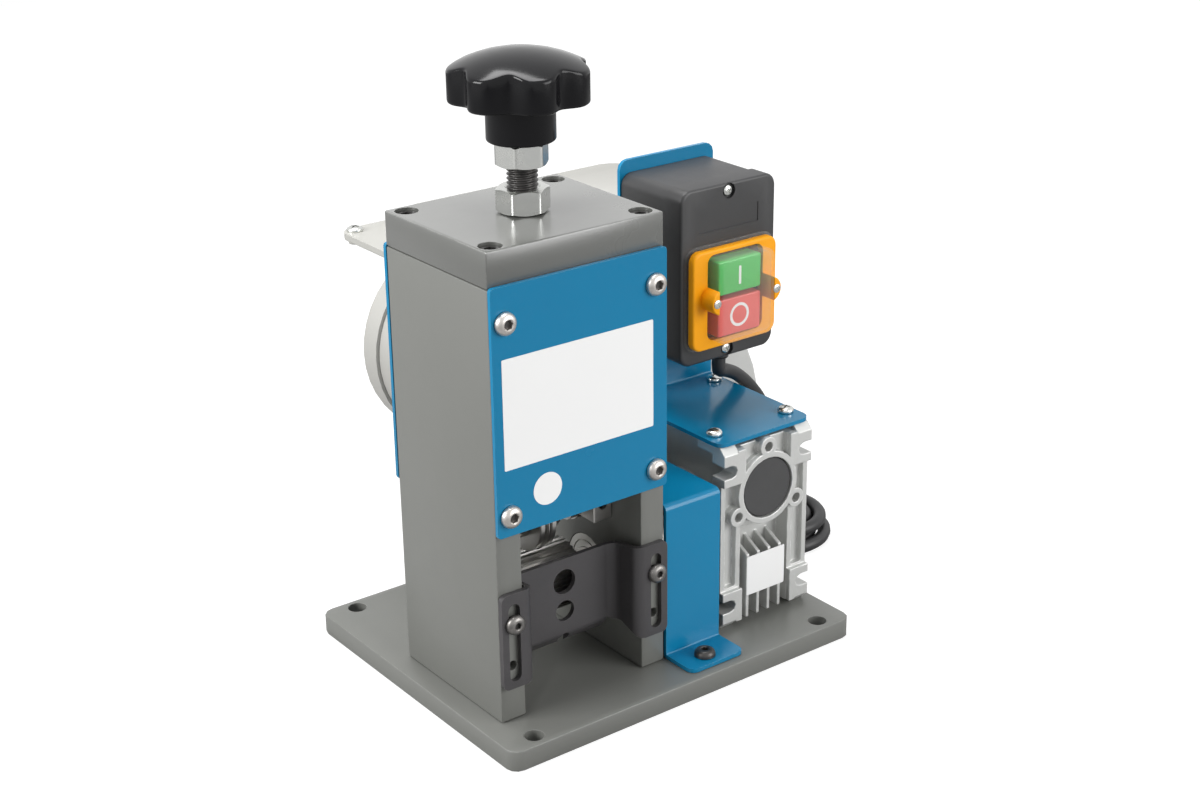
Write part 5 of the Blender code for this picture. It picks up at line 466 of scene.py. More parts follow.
@dataclass(frozen=True)
class Finish:
    """One finish of the machine, from its colour to the fine marks on it."""

    name: str
    slot: str
    colour: tuple[float, float, float]
    roughness: float
    patch: tuple[float, float, float] | None = None
    patch_scale: float = 18.0
    patch_amount: float = 0.5
    roughness_change: float = 0.08
    metallic: float = 0.0
    coat: float = 0.0
    coat_roughness: float = 0.1
    specular: float = 0.5
    grain: Grain = Grain.EVEN
    grain_scale: float = 900.0
    grain_depth: float = 0.01 * MM
    grain_detail: float = 3.0
    # The three fields below paint a lighter colour along the edges: painted highlight.
    edge_highlight: tuple[float, float, float] | None = None
    edge_highlight_width: float = 0.7 * MM
    edge_highlight_amount: float = 0.5
    soft_edge: float = 0.0

    def make(self) -> bpy.types.Material:
        """The material, built the first time it is asked for."""
        title = f"{self.name}_finish"
        known = bpy.data.materials.get(title)
        if known:
            return known
        made = bpy.data.materials.new(title)
        made.use_nodes = True
        made.diffuse_color = (*self.colour, 1.0)
        shader = made.node_tree.nodes["Principled BSDF"]
        shader.inputs["Metallic"].default_value = self.metallic
        shader.inputs["Coat Weight"].default_value = self.coat
        shader.inputs["Coat Roughness"].default_value = self.coat_roughness
        shader.inputs["Specular IOR Level"].default_value = self.specular
        self.colour_nodes(made.node_tree, shader)
        self.bump_nodes(made.node_tree, shader)
        return made

    def colour_nodes(self, tree: bpy.types.NodeTree, shader: bpy.types.Node) -> None:
        """Lays the handling patches and the painted edge highlights over the colour."""
        patches = tree.nodes.new("ShaderNodeGroup")
        patches.node_tree = GROUPS.handling()
        patches.inputs["Colour"].default_value = (*self.colour, 1.0)
        patches.inputs["Patch Colour"].default_value = (*(self.patch or self.colour), 1.0)
        patches.inputs["Scale"].default_value = self.patch_scale
        patches.inputs["Amount"].default_value = self.patch_amount
        patches.inputs["Roughness"].default_value = self.roughness
        patches.inputs["Change"].default_value = self.roughness_change
        tree.links.new(patches.outputs["Roughness"], shader.inputs["Roughness"])
        colour = patches.outputs["Colour"]
        # Painted highlight: a lighter colour along the edges.
        if self.edge_highlight:
            edge_highlight_node = tree.nodes.new("ShaderNodeGroup")
            edge_highlight_node.node_tree = GROUPS.edge_highlight_paint()
            edge_highlight_node.inputs["Highlight Colour"].default_value = (*self.edge_highlight, 1.0)
            edge_highlight_node.inputs["Width"].default_value = self.edge_highlight_width
            edge_highlight_node.inputs["Amount"].default_value = self.edge_highlight_amount
            tree.links.new(colour, edge_highlight_node.inputs["Colour"])
            colour = edge_highlight_node.outputs["Colour"]
        tree.links.new(colour, shader.inputs["Base Color"])

    def bump_nodes(self, tree: bpy.types.NodeTree, shader: bpy.types.Node) -> None:
        """Raises the fine marks."""
        marks = tree.nodes.new("ShaderNodeGroup")
        marks.node_tree = GROUPS.marks()
        marks.inputs["Scale"].default_value = self.grain_scale
        marks.inputs["Stretch"].default_value = self.grain.value
        marks.inputs["Detail"].default_value = self.grain_detail
        bump = tree.nodes.new("ShaderNodeBump")
        bump.inputs["Distance"].default_value = self.grain_depth
        tree.links.new(marks.outputs["Height"], bump.inputs["Height"])
        if self.soft_edge:
            rounding = tree.nodes.new("ShaderNodeBevel")
            rounding.samples = 6
            rounding.inputs["Radius"].default_value = self.soft_edge
            tree.links.new(rounding.outputs["Normal"], bump.inputs["Normal"])
        tree.links.new(bump.outputs["Normal"], shader.inputs["Normal"])


@dataclass(frozen=True)
class ClearFinish:
    """Clear or milky plastic that lets what lies behind it show; its pale colour grows more opaque at grazing
    angles, a painted reflection on its edges.
    """

    name: str
    slot: str
    colour: tuple[float, float, float]
    roughness: float
    clear_share: float
    edge_reflection_alpha: float
    slant_blend: float = 0.35
    grain_scale: float = 120.0
    grain_depth: float = 0.02 * MM

    def make(self) -> bpy.types.Material:
        """The material, built the first time it is asked for."""
        title = f"{self.name}_finish"
        known = bpy.data.materials.get(title)
        if known:
            return known
        made = bpy.data.materials.new(title)
        made.use_nodes = True
        tree = made.node_tree
        shader = tree.nodes["Principled BSDF"]
        shader.inputs["Base Color"].default_value = (*self.colour, 1.0)
        shader.inputs["Roughness"].default_value = self.roughness
        shader.inputs["IOR"].default_value = 1.45
        # Painted reflection: the pale colour grows more opaque toward grazing angles, so the hood's edges
        # show bright.
        slant = tree.nodes.new("ShaderNodeLayerWeight")
        slant.inputs["Blend"].default_value = self.slant_blend
        cover = tree.nodes.new("ShaderNodeMapRange")
        cover.inputs["To Min"].default_value = self.clear_share
        cover.inputs["To Max"].default_value = self.edge_reflection_alpha
        tree.links.new(slant.outputs["Facing"], cover.inputs["Value"])
        tree.links.new(cover.outputs["Result"], shader.inputs["Alpha"])
        marks = tree.nodes.new("ShaderNodeGroup")
        marks.node_tree = GROUPS.marks()
        marks.inputs["Scale"].default_value = self.grain_scale
        bump = tree.nodes.new("ShaderNodeBump")
        bump.inputs["Distance"].default_value = self.grain_depth
        tree.links.new(marks.outputs["Height"], bump.inputs["Height"])
        tree.links.new(bump.outputs["Normal"], shader.inputs["Normal"])
        return made


class Finishes:
    """Every finish of the machine."""

    # The lighter colours given for the edges below are painted highlight along the parts' edges.
    GREY_PAINT = Finish(
        "grey_enamel", "grey_paint", (0.178, 0.181, 0.168), 0.38, (0.16, 0.163, 0.151),
        patch_scale=9.0, grain_scale=420.0, grain_depth=0.012 * MM, coat=0.15, coat_roughness=0.3,
        edge_highlight=(0.42, 0.42, 0.4), edge_highlight_amount=0.35, soft_edge=0.5 * MM,
    )
    TOP_PAINT = Finish(
        "dark_grey_enamel", "grey_paint", (0.13, 0.133, 0.124), 0.24, (0.115, 0.118, 0.11),
        patch_scale=9.0, grain_scale=420.0, grain_depth=0.01 * MM, coat=1.0, coat_roughness=0.24,
        edge_highlight=(0.42, 0.42, 0.4), edge_highlight_amount=0.45, soft_edge=0.5 * MM,
    )
    BLUE_PAINT = Finish(
        "blue_enamel", "blue_paint", (0.004, 0.205, 0.395), 0.2, (0.003, 0.185, 0.365),
        patch_scale=14.0, specular=0.3, coat=0.08, coat_roughness=0.05, grain_scale=260.0,
        grain_depth=0.008 * MM, edge_highlight=(0.03, 0.3, 0.5), edge_highlight_amount=0.5, soft_edge=0.3 * MM,
    )
    BRIGHT_STEEL = Finish(
        "machined_steel", "bright_steel", (0.56, 0.55, 0.53), 0.3, (0.42, 0.41, 0.39),
        metallic=1.0, patch_scale=60.0, grain=Grain.ROUND_X, grain_scale=900.0,
        grain_depth=0.006 * MM,
    )
    DULL_STEEL = Finish(
        "dull_screw_steel", "bright_steel", (0.62, 0.59, 0.56), 0.33, (0.45, 0.42, 0.39),
        metallic=1.0, patch_scale=240.0, patch_amount=0.7, grain_scale=1500.0,
        grain_depth=0.01 * MM,
    )
    ZINC = Finish(
        "zinc_plated_steel", "zinc_plate", (0.68, 0.69, 0.67), 0.22, (0.58, 0.58, 0.55),
        metallic=1.0, patch_scale=90.0, grain_scale=700.0, grain_depth=0.004 * MM,
    )
    BLACK_STEEL = Finish(
        "blackened_steel", "blackened_steel", (0.05, 0.048, 0.047), 0.34, (0.1, 0.095, 0.09),
        metallic=0.7, patch_scale=220.0, grain_scale=1400.0, grain_depth=0.008 * MM,
    )
    GUIDE_STEEL = Finish(
        "worn_black_steel", "blackened_steel", (0.24, 0.23, 0.22), 0.36, (0.1, 0.095, 0.09),
        metallic=0.95, patch_scale=260.0, patch_amount=0.7, grain_scale=1400.0,
        grain_depth=0.008 * MM,
    )
    DARK_SHEET = Finish(
        "dark_sheet", "dark_sheet", (0.064, 0.061, 0.064), 0.38, (0.075, 0.071, 0.074),
        metallic=0.25, patch_scale=35.0, grain_scale=800.0, grain_depth=0.01 * MM,
        edge_highlight=(0.2, 0.19, 0.19), edge_highlight_amount=0.35,
    )
    BRONZE = Finish(
        "bronze", "bronze", (0.6, 0.4, 0.17), 0.35, (0.5, 0.32, 0.13), metallic=1.0,
        patch_scale=50.0,
    )
    # Its near-white edges are painted highlight, which also brightens the narrow ring and the pads.
    CAST_ALUMINIUM = Finish(
        "cast_aluminium", "cast_aluminium", (0.62, 0.625, 0.61), 0.42, (0.55, 0.555, 0.54),
        metallic=0.45, patch_scale=40.0, patch_amount=0.6, grain_scale=650.0,
        grain_depth=0.05 * MM, grain_detail=5.0, edge_highlight=(0.93, 0.93, 0.92), edge_highlight_width=1.3 * MM,
        edge_highlight_amount=0.85, soft_edge=0.9 * MM,
    )
    MOTOR_PAINT = Finish(
        "pale_motor_paint", "motor_aluminium", (0.46, 0.455, 0.43), 0.4, (0.43, 0.425, 0.4),
        patch_scale=20.0, grain_scale=500.0, grain_depth=0.02 * MM, soft_edge=0.8 * MM,
    )
    PALE_PLASTIC = Finish(
        "pale_plastic", "pale_plastic", (0.46, 0.455, 0.425), 0.35, (0.43, 0.425, 0.4),
        patch_scale=25.0, grain_scale=900.0, grain_depth=0.01 * MM, soft_edge=0.8 * MM,
    )
    KNOB_PLASTIC = Finish(
        "polished_black_plastic", "black_plastic", (0.004, 0.004, 0.005), 0.1,
        (0.006, 0.006, 0.007), patch_scale=40.0, specular=0.25, grain_scale=180.0,
        grain_depth=0.004 * MM,
    )
    SWITCH_PLASTIC = Finish(
        "grained_black_plastic", "black_plastic", (0.031, 0.031, 0.032), 0.4,
        (0.036, 0.036, 0.038), patch_scale=30.0, grain_scale=1500.0, grain_depth=0.02 * MM,
    )
    CAP_RUBBER = Finish(
        "black_seal", "black_plastic", (0.052, 0.052, 0.053), 0.55, (0.045, 0.045, 0.046),
        patch_scale=50.0, grain_scale=900.0, grain_depth=0.015 * MM,
    )
    ORANGE = Finish(
        "orange_plastic", "orange_plastic", (0.98, 0.4, 0.004), 0.35, (0.92, 0.35, 0.003),
        patch_scale=45.0, specular=0.25, grain_scale=700.0,
    )
    GREEN = Finish(
        "green_plastic", "green_plastic", (0.07, 0.5, 0.1), 0.3, (0.06, 0.45, 0.09),
        patch_scale=60.0,
    )
    RED = Finish(
        "red_plastic", "red_plastic", (0.78, 0.12, 0.1), 0.3, (0.7, 0.1, 0.09), patch_scale=60.0
    )
    WHITE_MARK = Finish(
        "white_mark", "pale_plastic", (0.86, 0.86, 0.85), 0.4, (0.82, 0.82, 0.81)
    )
    LABEL = Finish(
        "white_label", "pale_plastic", (0.93, 0.93, 0.925), 0.3, (0.91, 0.91, 0.905),
        patch_scale=12.0, grain_scale=300.0, grain_depth=0.003 * MM,
    )
    RUBBER = Finish(
        "black_cord", "black_rubber", (0.02, 0.02, 0.021), 0.42, (0.026, 0.026, 0.027),
        patch_scale=60.0, grain_scale=1300.0, grain_depth=0.02 * MM,
    )
    PIN_METAL = Finish(
        "nickel_pins", "black_rubber", (0.62, 0.61, 0.58), 0.2, (0.5, 0.49, 0.46), metallic=1.0,
        patch_scale=200.0, grain_scale=600.0,
    )
    CLEAR = ClearFinish("clear_hood", "clear_plastic", (0.84, 0.82, 0.79), 0.06, 0.03, 0.2)


SLOT_FINISHES: dict[str, Finish | ClearFinish] = {
    finish.slot: finish
    for finish in (
        Finishes.GREY_PAINT, Finishes.BLUE_PAINT, Finishes.BRIGHT_STEEL, Finishes.ZINC,
        Finishes.BLACK_STEEL, Finishes.DARK_SHEET, Finishes.BRONZE, Finishes.CAST_ALUMINIUM,
        Finishes.MOTOR_PAINT, Finishes.PALE_PLASTIC, Finishes.SWITCH_PLASTIC, Finishes.ORANGE,
        Finishes.GREEN, Finishes.RED, Finishes.CLEAR, Finishes.RUBBER,
    )
}


class SmoothShading:
    """Welds a model's solid and shades it smooth up to an angle, by geometry nodes."""

    def __init__(self, angle: float = 32.0) -> None:
        """Builds the node group.

        Args:
            angle: the angle in degrees from which an edge stays sharp.
        """
        tree = bpy.data.node_groups.new("smooth_up_to_an_angle", "GeometryNodeTree")
        tree.interface.new_socket("Geometry", in_out="INPUT", socket_type="NodeSocketGeometry")
        tree.interface.new_socket("Geometry", in_out="OUTPUT", socket_type="NodeSocketGeometry")
        given = tree.nodes.new("NodeGroupInput")
        out = tree.nodes.new("NodeGroupOutput")
        weld = tree.nodes.new("GeometryNodeMergeByDistance")
        weld.inputs["Distance"].default_value = WELD
        faces = tree.nodes.new("GeometryNodeSetShadeSmooth")
        edges = tree.nodes.new("GeometryNodeSetShadeSmooth")
        edges.domain = "EDGE"
        bend = tree.nodes.new("GeometryNodeInputMeshEdgeAngle")
        flat = tree.nodes.new("FunctionNodeCompare")
        flat.operation = "LESS_THAN"
        flat.inputs["B"].default_value = math.radians(angle)
        link = tree.links.new
        link(given.outputs["Geometry"], weld.inputs["Geometry"])
        link(weld.outputs["Geometry"], faces.inputs["Geometry"])
        link(faces.outputs["Geometry"], edges.inputs["Geometry"])
        link(bend.outputs["Unsigned Angle"], flat.inputs["A"])
        link(flat.outputs["Result"], edges.inputs["Shade Smooth"])
        link(edges.outputs["Geometry"], out.inputs["Geometry"])
        self.tree = tree

    def on(self, item: bpy.types.Object) -> None:
        """Adds the shading to an object."""
        smooth = item.modifiers.new("smooth_shading", "NODES")
        smooth.node_group = self.tree


class SubAssembly:
    """What every sub-assembly does: it dresses the model's nodes and adds its own pieces."""

    body = "machine"
    shading: SmoothShading | None = None

    def dress(self, node: str, finish: Finish | ClearFinish) -> None:
        """Gives a kept node of the model its finish and smooth shading."""
        item = frame["nodes"][node]
        item.data.materials.clear()
        item.data.materials.append(finish.make())
        if SubAssembly.shading is None:
            SubAssembly.shading = SmoothShading()
        SubAssembly.shading.on(item)

    def put(
        self,
        item: bpy.types.Object,
        finish: Finish | ClearFinish,
        *nodes: str,
        body: str | None = None,
    ) -> bpy.types.Object:
        """Adds a piece: its finish, the body that it rides on and the nodes that it stands for."""
        item.data.materials.clear()
        item.data.materials.append(finish.make())
        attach(item, body or self.body)
        if nodes:
            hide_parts(*nodes)
        log.info("piece %s rides on %s", item.name, body or self.body)
        return item


@dataclass(frozen=True)
class Softbox:
    """A square lamp: its place, the length of its side and its power in watts."""

    name: str
    place: tuple[float, float, float]
    side: float
    power: float

    def build(self, aim_height: float) -> None:
        """Sets the lamp up, aimed at a point above the origin."""
        data = bpy.data.lights.new(self.name, "AREA")
        data.size = self.side
        data.energy = self.power
        made = bpy.data.objects.new(self.name, data)
        aim = Vector((0.0, 0.0, aim_height)) - Vector(self.place)
        turn = aim.to_track_quat("-Z", "Y").to_matrix().to_4x4()
        made.matrix_world = Matrix.Translation(self.place) @ turn
        bpy.context.scene.collection.objects.link(made)


@dataclass
class Studio:
    """The pale floor, the soft lamps and the camera."""

    floor_half: float = 1.8
    fade_start: float = 0.9
    floor_drop: float = 0.1 * MM
    lens: float = 59.37
    sensor: float = 36.0
    nearest: float = 0.01
    camera_place: tuple[float, float, float] = (-0.5206, -0.7088, 0.4846)
    yaw: float = 36.880
    pitch: float = 22.182
    roll: float = -0.767
    ambient: float = 0.26
    floor_colour: float = 0.42
    floor_glow: float = 0.78
    aim_height: float = 0.13
    lamps: tuple[Softbox, ...] = (
        Softbox("key_lamp", (-2.1, 0.4, 1.1), 1.1, 52.0),
        Softbox("fill_lamp", (0.9, -1.7, 0.8), 1.4, 31.0),
        Softbox("top_lamp", (-0.05, 0.12, 0.95), 0.5, 6.0),
    )

    def build(self) -> None:
        """Sets up everything that isn't the machine."""
        self.camera()
        self.floor()
        self.world()
        for lamp in self.lamps:
            lamp.build(self.aim_height)
        bpy.context.scene.view_settings.view_transform = "Standard"

    def camera(self) -> None:
        """The camera, at the place and turn that were solved from the photograph."""
        yaw, pitch, roll = (math.radians(a) for a in (self.yaw, self.pitch, self.roll))
        ahead = Vector(
            (math.sin(yaw) * math.cos(pitch), math.cos(yaw) * math.cos(pitch), -math.sin(pitch))
        )
        level = Vector((math.cos(yaw), -math.sin(yaw), 0))
        upright = level.cross(ahead)
        right = level * math.cos(roll) + upright * math.sin(roll)
        up = upright * math.cos(roll) - level * math.sin(roll)
        data = bpy.data.cameras.new("camera")
        data.lens = self.lens
        data.sensor_width = self.sensor
        data.clip_start = self.nearest
        made = bpy.data.objects.new("camera", data)
        turn = Matrix((right, up, -ahead)).transposed().to_4x4()
        made.matrix_world = Matrix.Translation(self.camera_place) @ turn
        bpy.context.scene.collection.objects.link(made)
        bpy.context.scene.camera = made

    def floor(self) -> None:
        """A wide floor that shows white and keeps the machine's shadow."""
        shape = bmesh.new()
        bmesh.ops.create_grid(shape, x_segments=1, y_segments=1, size=self.floor_half)
        floor = mesh_object("floor", shape)
        floor.location.z = -self.floor_drop
        made = bpy.data.materials.new("white_floor")
        made.use_nodes = True
        tree = made.node_tree
        shader = tree.nodes["Principled BSDF"]
        shader.inputs["Base Color"].default_value = (*[self.floor_colour] * 3, 1.0)
        shader.inputs["Roughness"].default_value = 0.9
        shader.inputs["Specular IOR Level"].default_value = 0.0
        shader.inputs["Emission Color"].default_value = (1.0, 1.0, 1.0, 1.0)
        seen = tree.nodes.new("ShaderNodeLightPath")
        glow = tree.nodes.new("ShaderNodeMath")
        glow.operation = "MULTIPLY"
        tree.links.new(seen.outputs["Is Camera Ray"], glow.inputs[0])
        tree.links.new(self.far_white(tree), glow.inputs[1])
        tree.links.new(glow.outputs[0], shader.inputs["Emission Strength"])
        floor.data.materials.append(made)

    def far_white(self, tree: bpy.types.NodeTree) -> bpy.types.NodeSocket:
        """A glow that grows to full white far from the machine, so that the floor has no edge.

        Args:
            tree: the floor material's nodes.

        Returns:
            The socket that holds the glow's strength.
        """
        place = tree.nodes.new("ShaderNodeTexCoord")
        reach = tree.nodes.new("ShaderNodeVectorMath")
        reach.operation = "LENGTH"
        tree.links.new(place.outputs["Object"], reach.inputs[0])
        fade = tree.nodes.new("ShaderNodeMapRange")
        fade.inputs["From Min"].default_value = self.fade_start
        fade.inputs["From Max"].default_value = self.floor_half
        fade.inputs["To Min"].default_value = self.floor_glow
        fade.inputs["To Max"].default_value = 1.0
        tree.links.new(reach.outputs["Value"], fade.inputs["Value"])
        return fade.outputs["Result"]

    def world(self) -> None:
        """A world that looks white and lights at a plain level."""
        made = bpy.data.worlds.new("studio")
        bpy.context.scene.world = made
        made.use_nodes = True
        tree = made.node_tree
        back = tree.nodes["Background"]
        path = tree.nodes.new("ShaderNodeLightPath")
        first = tree.nodes.new("ShaderNodeMath")
        first.operation = "MAXIMUM"
        tree.links.new(path.outputs["Is Camera Ray"], first.inputs[0])
        tree.links.new(path.outputs["Is Glossy Ray"], first.inputs[1])
        shown = tree.nodes.new("ShaderNodeMath")
        shown.operation = "MAXIMUM"
        tree.links.new(first.outputs[0], shown.inputs[0])
        tree.links.new(path.outputs["Is Transmission Ray"], shown.inputs[1])
        level = tree.nodes.new("ShaderNodeMapRange")
        level.inputs["To Min"].default_value = self.ambient
        level.inputs["To Max"].default_value = 1.0
        tree.links.new(shown.outputs[0], level.inputs["Value"])
        tree.links.new(level.outputs["Result"], back.inputs["Strength"])
        back.inputs["Color"].default_value = (1.0, 1.0, 1.0, 1.0)


@dataclass
class MainsCord(SubAssembly):
    """The mains cord from its gland to its plug, with the spare length in a hank behind."""

    diameter: float = 7.0 * MM
    pitch: float = 3.0 * MM
    gap: float = 0.3 * MM
    hank_x: float = 150.5 * MM
    hank_front: float = 25.3 * MM
    hank_run: float = 99.7 * MM
    hank_radius: float = 30.5 * MM
    hank_step: float = 8.0 * MM
    hank_layer: float = 7.9 * MM
    hank_waist: float = 5.0 * MM
    hank_loops: int = 2
    run_steps: int = 16
    bend_steps: int = 24
    lift: float = 0.15 * MM
    sleeve_wall: float = 1.4 * MM
    sleeve_ribs: int = 3
    sleeve_rib_share: float = 0.3
    sleeve_groove: tuple[float, float] = (0.4 * MM, 1.0 * MM)
    rib_depth: float = 0.5 * MM
    collar_radius: float = 7.0 * MM
    collar_height: float = 3.0 * MM
    plug_tail: float = 6.0 * MM
    plug_tail_length: float = 16.0 * MM
    plug_radius: float = 18.5 * MM
    plug_length: float = 30.0 * MM
    plug_edge: float = 3.0 * MM
    plug_ribs: int = 4
    plug_rib_start: float = 2.4 * MM
    plug_groove: tuple[float, float] = (0.4 * MM, 1.4 * MM)
    plug_groove_width: float = 1.8 * MM
    plug_rib_pitch: float = 3.0 * MM
    plug_rib_depth: float = 0.7 * MM
    plug_rib_growth: float = 0.1 * MM
    soft: float = 0.6 * MM
    pin_radius: float = 2.4 * MM
    pin_offset: float = 9.5 * MM
    pin_root: float = 0.5 * MM
    pin_tip: float = 1.0 * MM
    lead_mm: tuple[tuple[float, float, float], ...] = (
        (89.4, -1.2, 120.4),
        (98.8, 0.6, 115.4),
        (110.0, 2.6, 105.2),
        (119.6, 4.4, 92.6),
        (126.2, 8.0, 75.0),
        (129.4, 13.0, 54.0),
        (128.6, 20.0, 34.0),
        (124.6, 31.0, 18.0),
    )
    tail_mm: tuple[tuple[float, float, float], ...] = (
        (116.2, 84.0, 3.7),
        (110.6, 104.0, 4.4),
        (110.0, 124.0, 8.4),
        (114.6, 142.0, 14.6),
    )

    def hank(self) -> list[Vector]:
        """The hank's centre line: wound in above and out again below."""
        turn_steps = 2 * (self.run_steps + self.bend_steps)
        wound = self.hank_loops * turn_steps
        low = self.diameter / 2 + self.lift
        points = []
        for step in range(self.run_steps // 4, 2 * wound + 2):
            away = abs(step - wound - self.run_steps / 2)
            held = max(0.0, away - self.run_steps / 2)
            radius = self.hank_radius - self.hank_step * (self.hank_loops - held / turn_steps)
            sunk = min(1.0, max(0.0, (step - wound) / self.run_steps))
            height = low + self.hank_layer * (1 - sunk * sunk * (3 - 2 * sunk))
            x, y = self.loop_place(step % turn_steps, radius)
            points.append(Vector((x, y, height)))
        return points

    def loop_place(self, step: int, radius: float) -> tuple[float, float]:
        """Where one step of a loop lies: left run, back bend, right run, front bend."""
        runs, bends = self.run_steps, self.bend_steps
        back = self.hank_front + self.hank_run
        if step <= runs:
            share = step / runs
            waist = self.hank_waist * math.sin(math.pi * share) ** 2
            return self.hank_x - radius + waist, self.hank_front + self.hank_run * share
        if step <= runs + bends:
            turn = math.pi * (1 - (step - runs) / bends)
            return self.hank_x + radius * math.cos(turn), back + radius * math.sin(turn)
        if step <= 2 * runs + bends:
            share = (step - runs - bends) / runs
            waist = self.hank_waist * math.sin(math.pi * share) ** 2
            return self.hank_x + radius - waist, back - self.hank_run * share
        turn = -math.pi * (step - 2 * runs - bends) / bends
        return (
            self.hank_x + radius * math.cos(turn),
            self.hank_front + radius * math.sin(turn),
        )

    def build(self) -> None:
        """Lays the cord and dresses the gland and the plug."""
        gland_low, gland_high = corners("cord_gland")
        x, y = (gland_low.x + gland_high.x) / 2, (gland_low.y + gland_high.y) / 2
        out = Vector((x, y, gland_low.z - self.gap))
        hank = self.hank()
        aim = (hank[1] - hank[0]).normalized()
        lead = [
            out,
            out - Vector((0, 0, self.diameter)),
            *[Vector(point) * MM for point in self.lead_mm],
            hank[0] - aim * self.diameter,
            hank[0],
        ]
        plug_low, plug_high = corners("mains_plug")
        plug_x, plug_z = (plug_low.x + plug_high.x) / 2, (plug_low.z + plug_high.z) / 2
        end = Vector((plug_x, plug_low.y - self.gap, plug_z))
        tail = [
            hank[-1],
            *[Vector(point) * MM for point in self.tail_mm],
            end - Vector((0, self.diameter, 0)),
            end,
        ]
        path = smooth_route(lead, self.pitch)[:-1] + hank[:-1] + smooth_route(tail, self.pitch)
        curve = bpy.data.curves.new("power_cord", "CURVE")
        curve.dimensions = "3D"
        curve.bevel_depth = self.diameter / 2
        curve.bevel_resolution = 4
        curve.use_fill_caps = True
        spline = curve.splines.new("POLY")
        spline.points.add(len(path) - 1)
        for point, spot in zip(spline.points, path):
            point.co = (*spot, 1.0)
        spline.use_smooth = True
        cord = bpy.data.objects.new("power_cord", curve)
        bpy.context.scene.collection.objects.link(cord)
        self.put(cord, Finishes.RUBBER, "mains_cord", "cord_hank")
        self.gland(x, y, gland_low.z, gland_high.z)
        plug = self.plug(end, plug_high.y)

    def gland(self, x: float, y: float, low: float, high: float) -> None:
        """The ribbed sleeve that the cord leaves the switch box through."""
        radius = self.diameter / 2 + self.sleeve_wall
        top, soft = self.collar_radius, self.soft
        collar = high - low - self.collar_height
        groove = radius - self.rib_depth
        profile = [(0.0, high - low), (top, high - low), (top, collar + soft), (top - soft, collar)]
        for index in range(self.sleeve_ribs):
            z = collar - (index + self.sleeve_rib_share) * collar / self.sleeve_ribs
            profile.append((radius, z))
            profile += [(groove, z - drop) for drop in self.sleeve_groove]
        profile += [(radius, soft / 2), (radius - soft / 2, 0.0), (0.0, 0.0)]
        sleeve = turned("cord_gland_sleeve", Facing.UP.at((x, y, low)), profile, steps=40)
        self.put(sleeve, Finishes.RUBBER, "cord_gland")

    def plug(self, end: Vector, back: float) -> bpy.types.Object:
        """The round plug with its ribbed tail and two pins."""
        tail, body, edge = self.plug_tail, self.plug_radius, self.plug_edge
        tail_length = self.plug_tail_length
        length = tail_length + self.plug_length
        groove = tail - self.plug_rib_depth
        profile = [(0.0, 0.0), (tail - self.soft, 0.0), (tail, self.soft)]
        for index in range(self.plug_ribs):
            z = self.plug_rib_start + self.plug_rib_pitch * index
            crest = tail + self.plug_rib_growth * index
            profile.append((crest, z))
            profile += [(groove, z + rise) for rise in self.plug_groove]
            profile.append((crest, z + self.plug_groove_width))
        profile += [
            (tail * 1.2, tail_length),
            (body - edge, tail_length + edge),
            (body - edge * 0.3, tail_length + edge * 1.7),
            (body, tail_length + 3 * edge),
            (body, length - edge / 3),
            (body - edge / 3, length),
            (0.0, length),
        ]
        place = Facing.BACK.at((end.x, end.y + self.gap, end.z))
        plug = turned("plug_body", place, profile, steps=56)
        self.put(plug, Finishes.RUBBER, "mains_plug")
        for side, word in ((-1, "left"), (1, "right")):
            root = end.y + self.gap + length - self.pin_root
            start = Facing.BACK.at((end.x + side * self.pin_offset, root, end.z))
            pin = rod(f"plug_pin_{word}", start, self.pin_radius, back - root, self.pin_tip, steps=24)
            pin.parent = plug
            pin.data.materials.append(Finishes.PIN_METAL.make())
        return plug


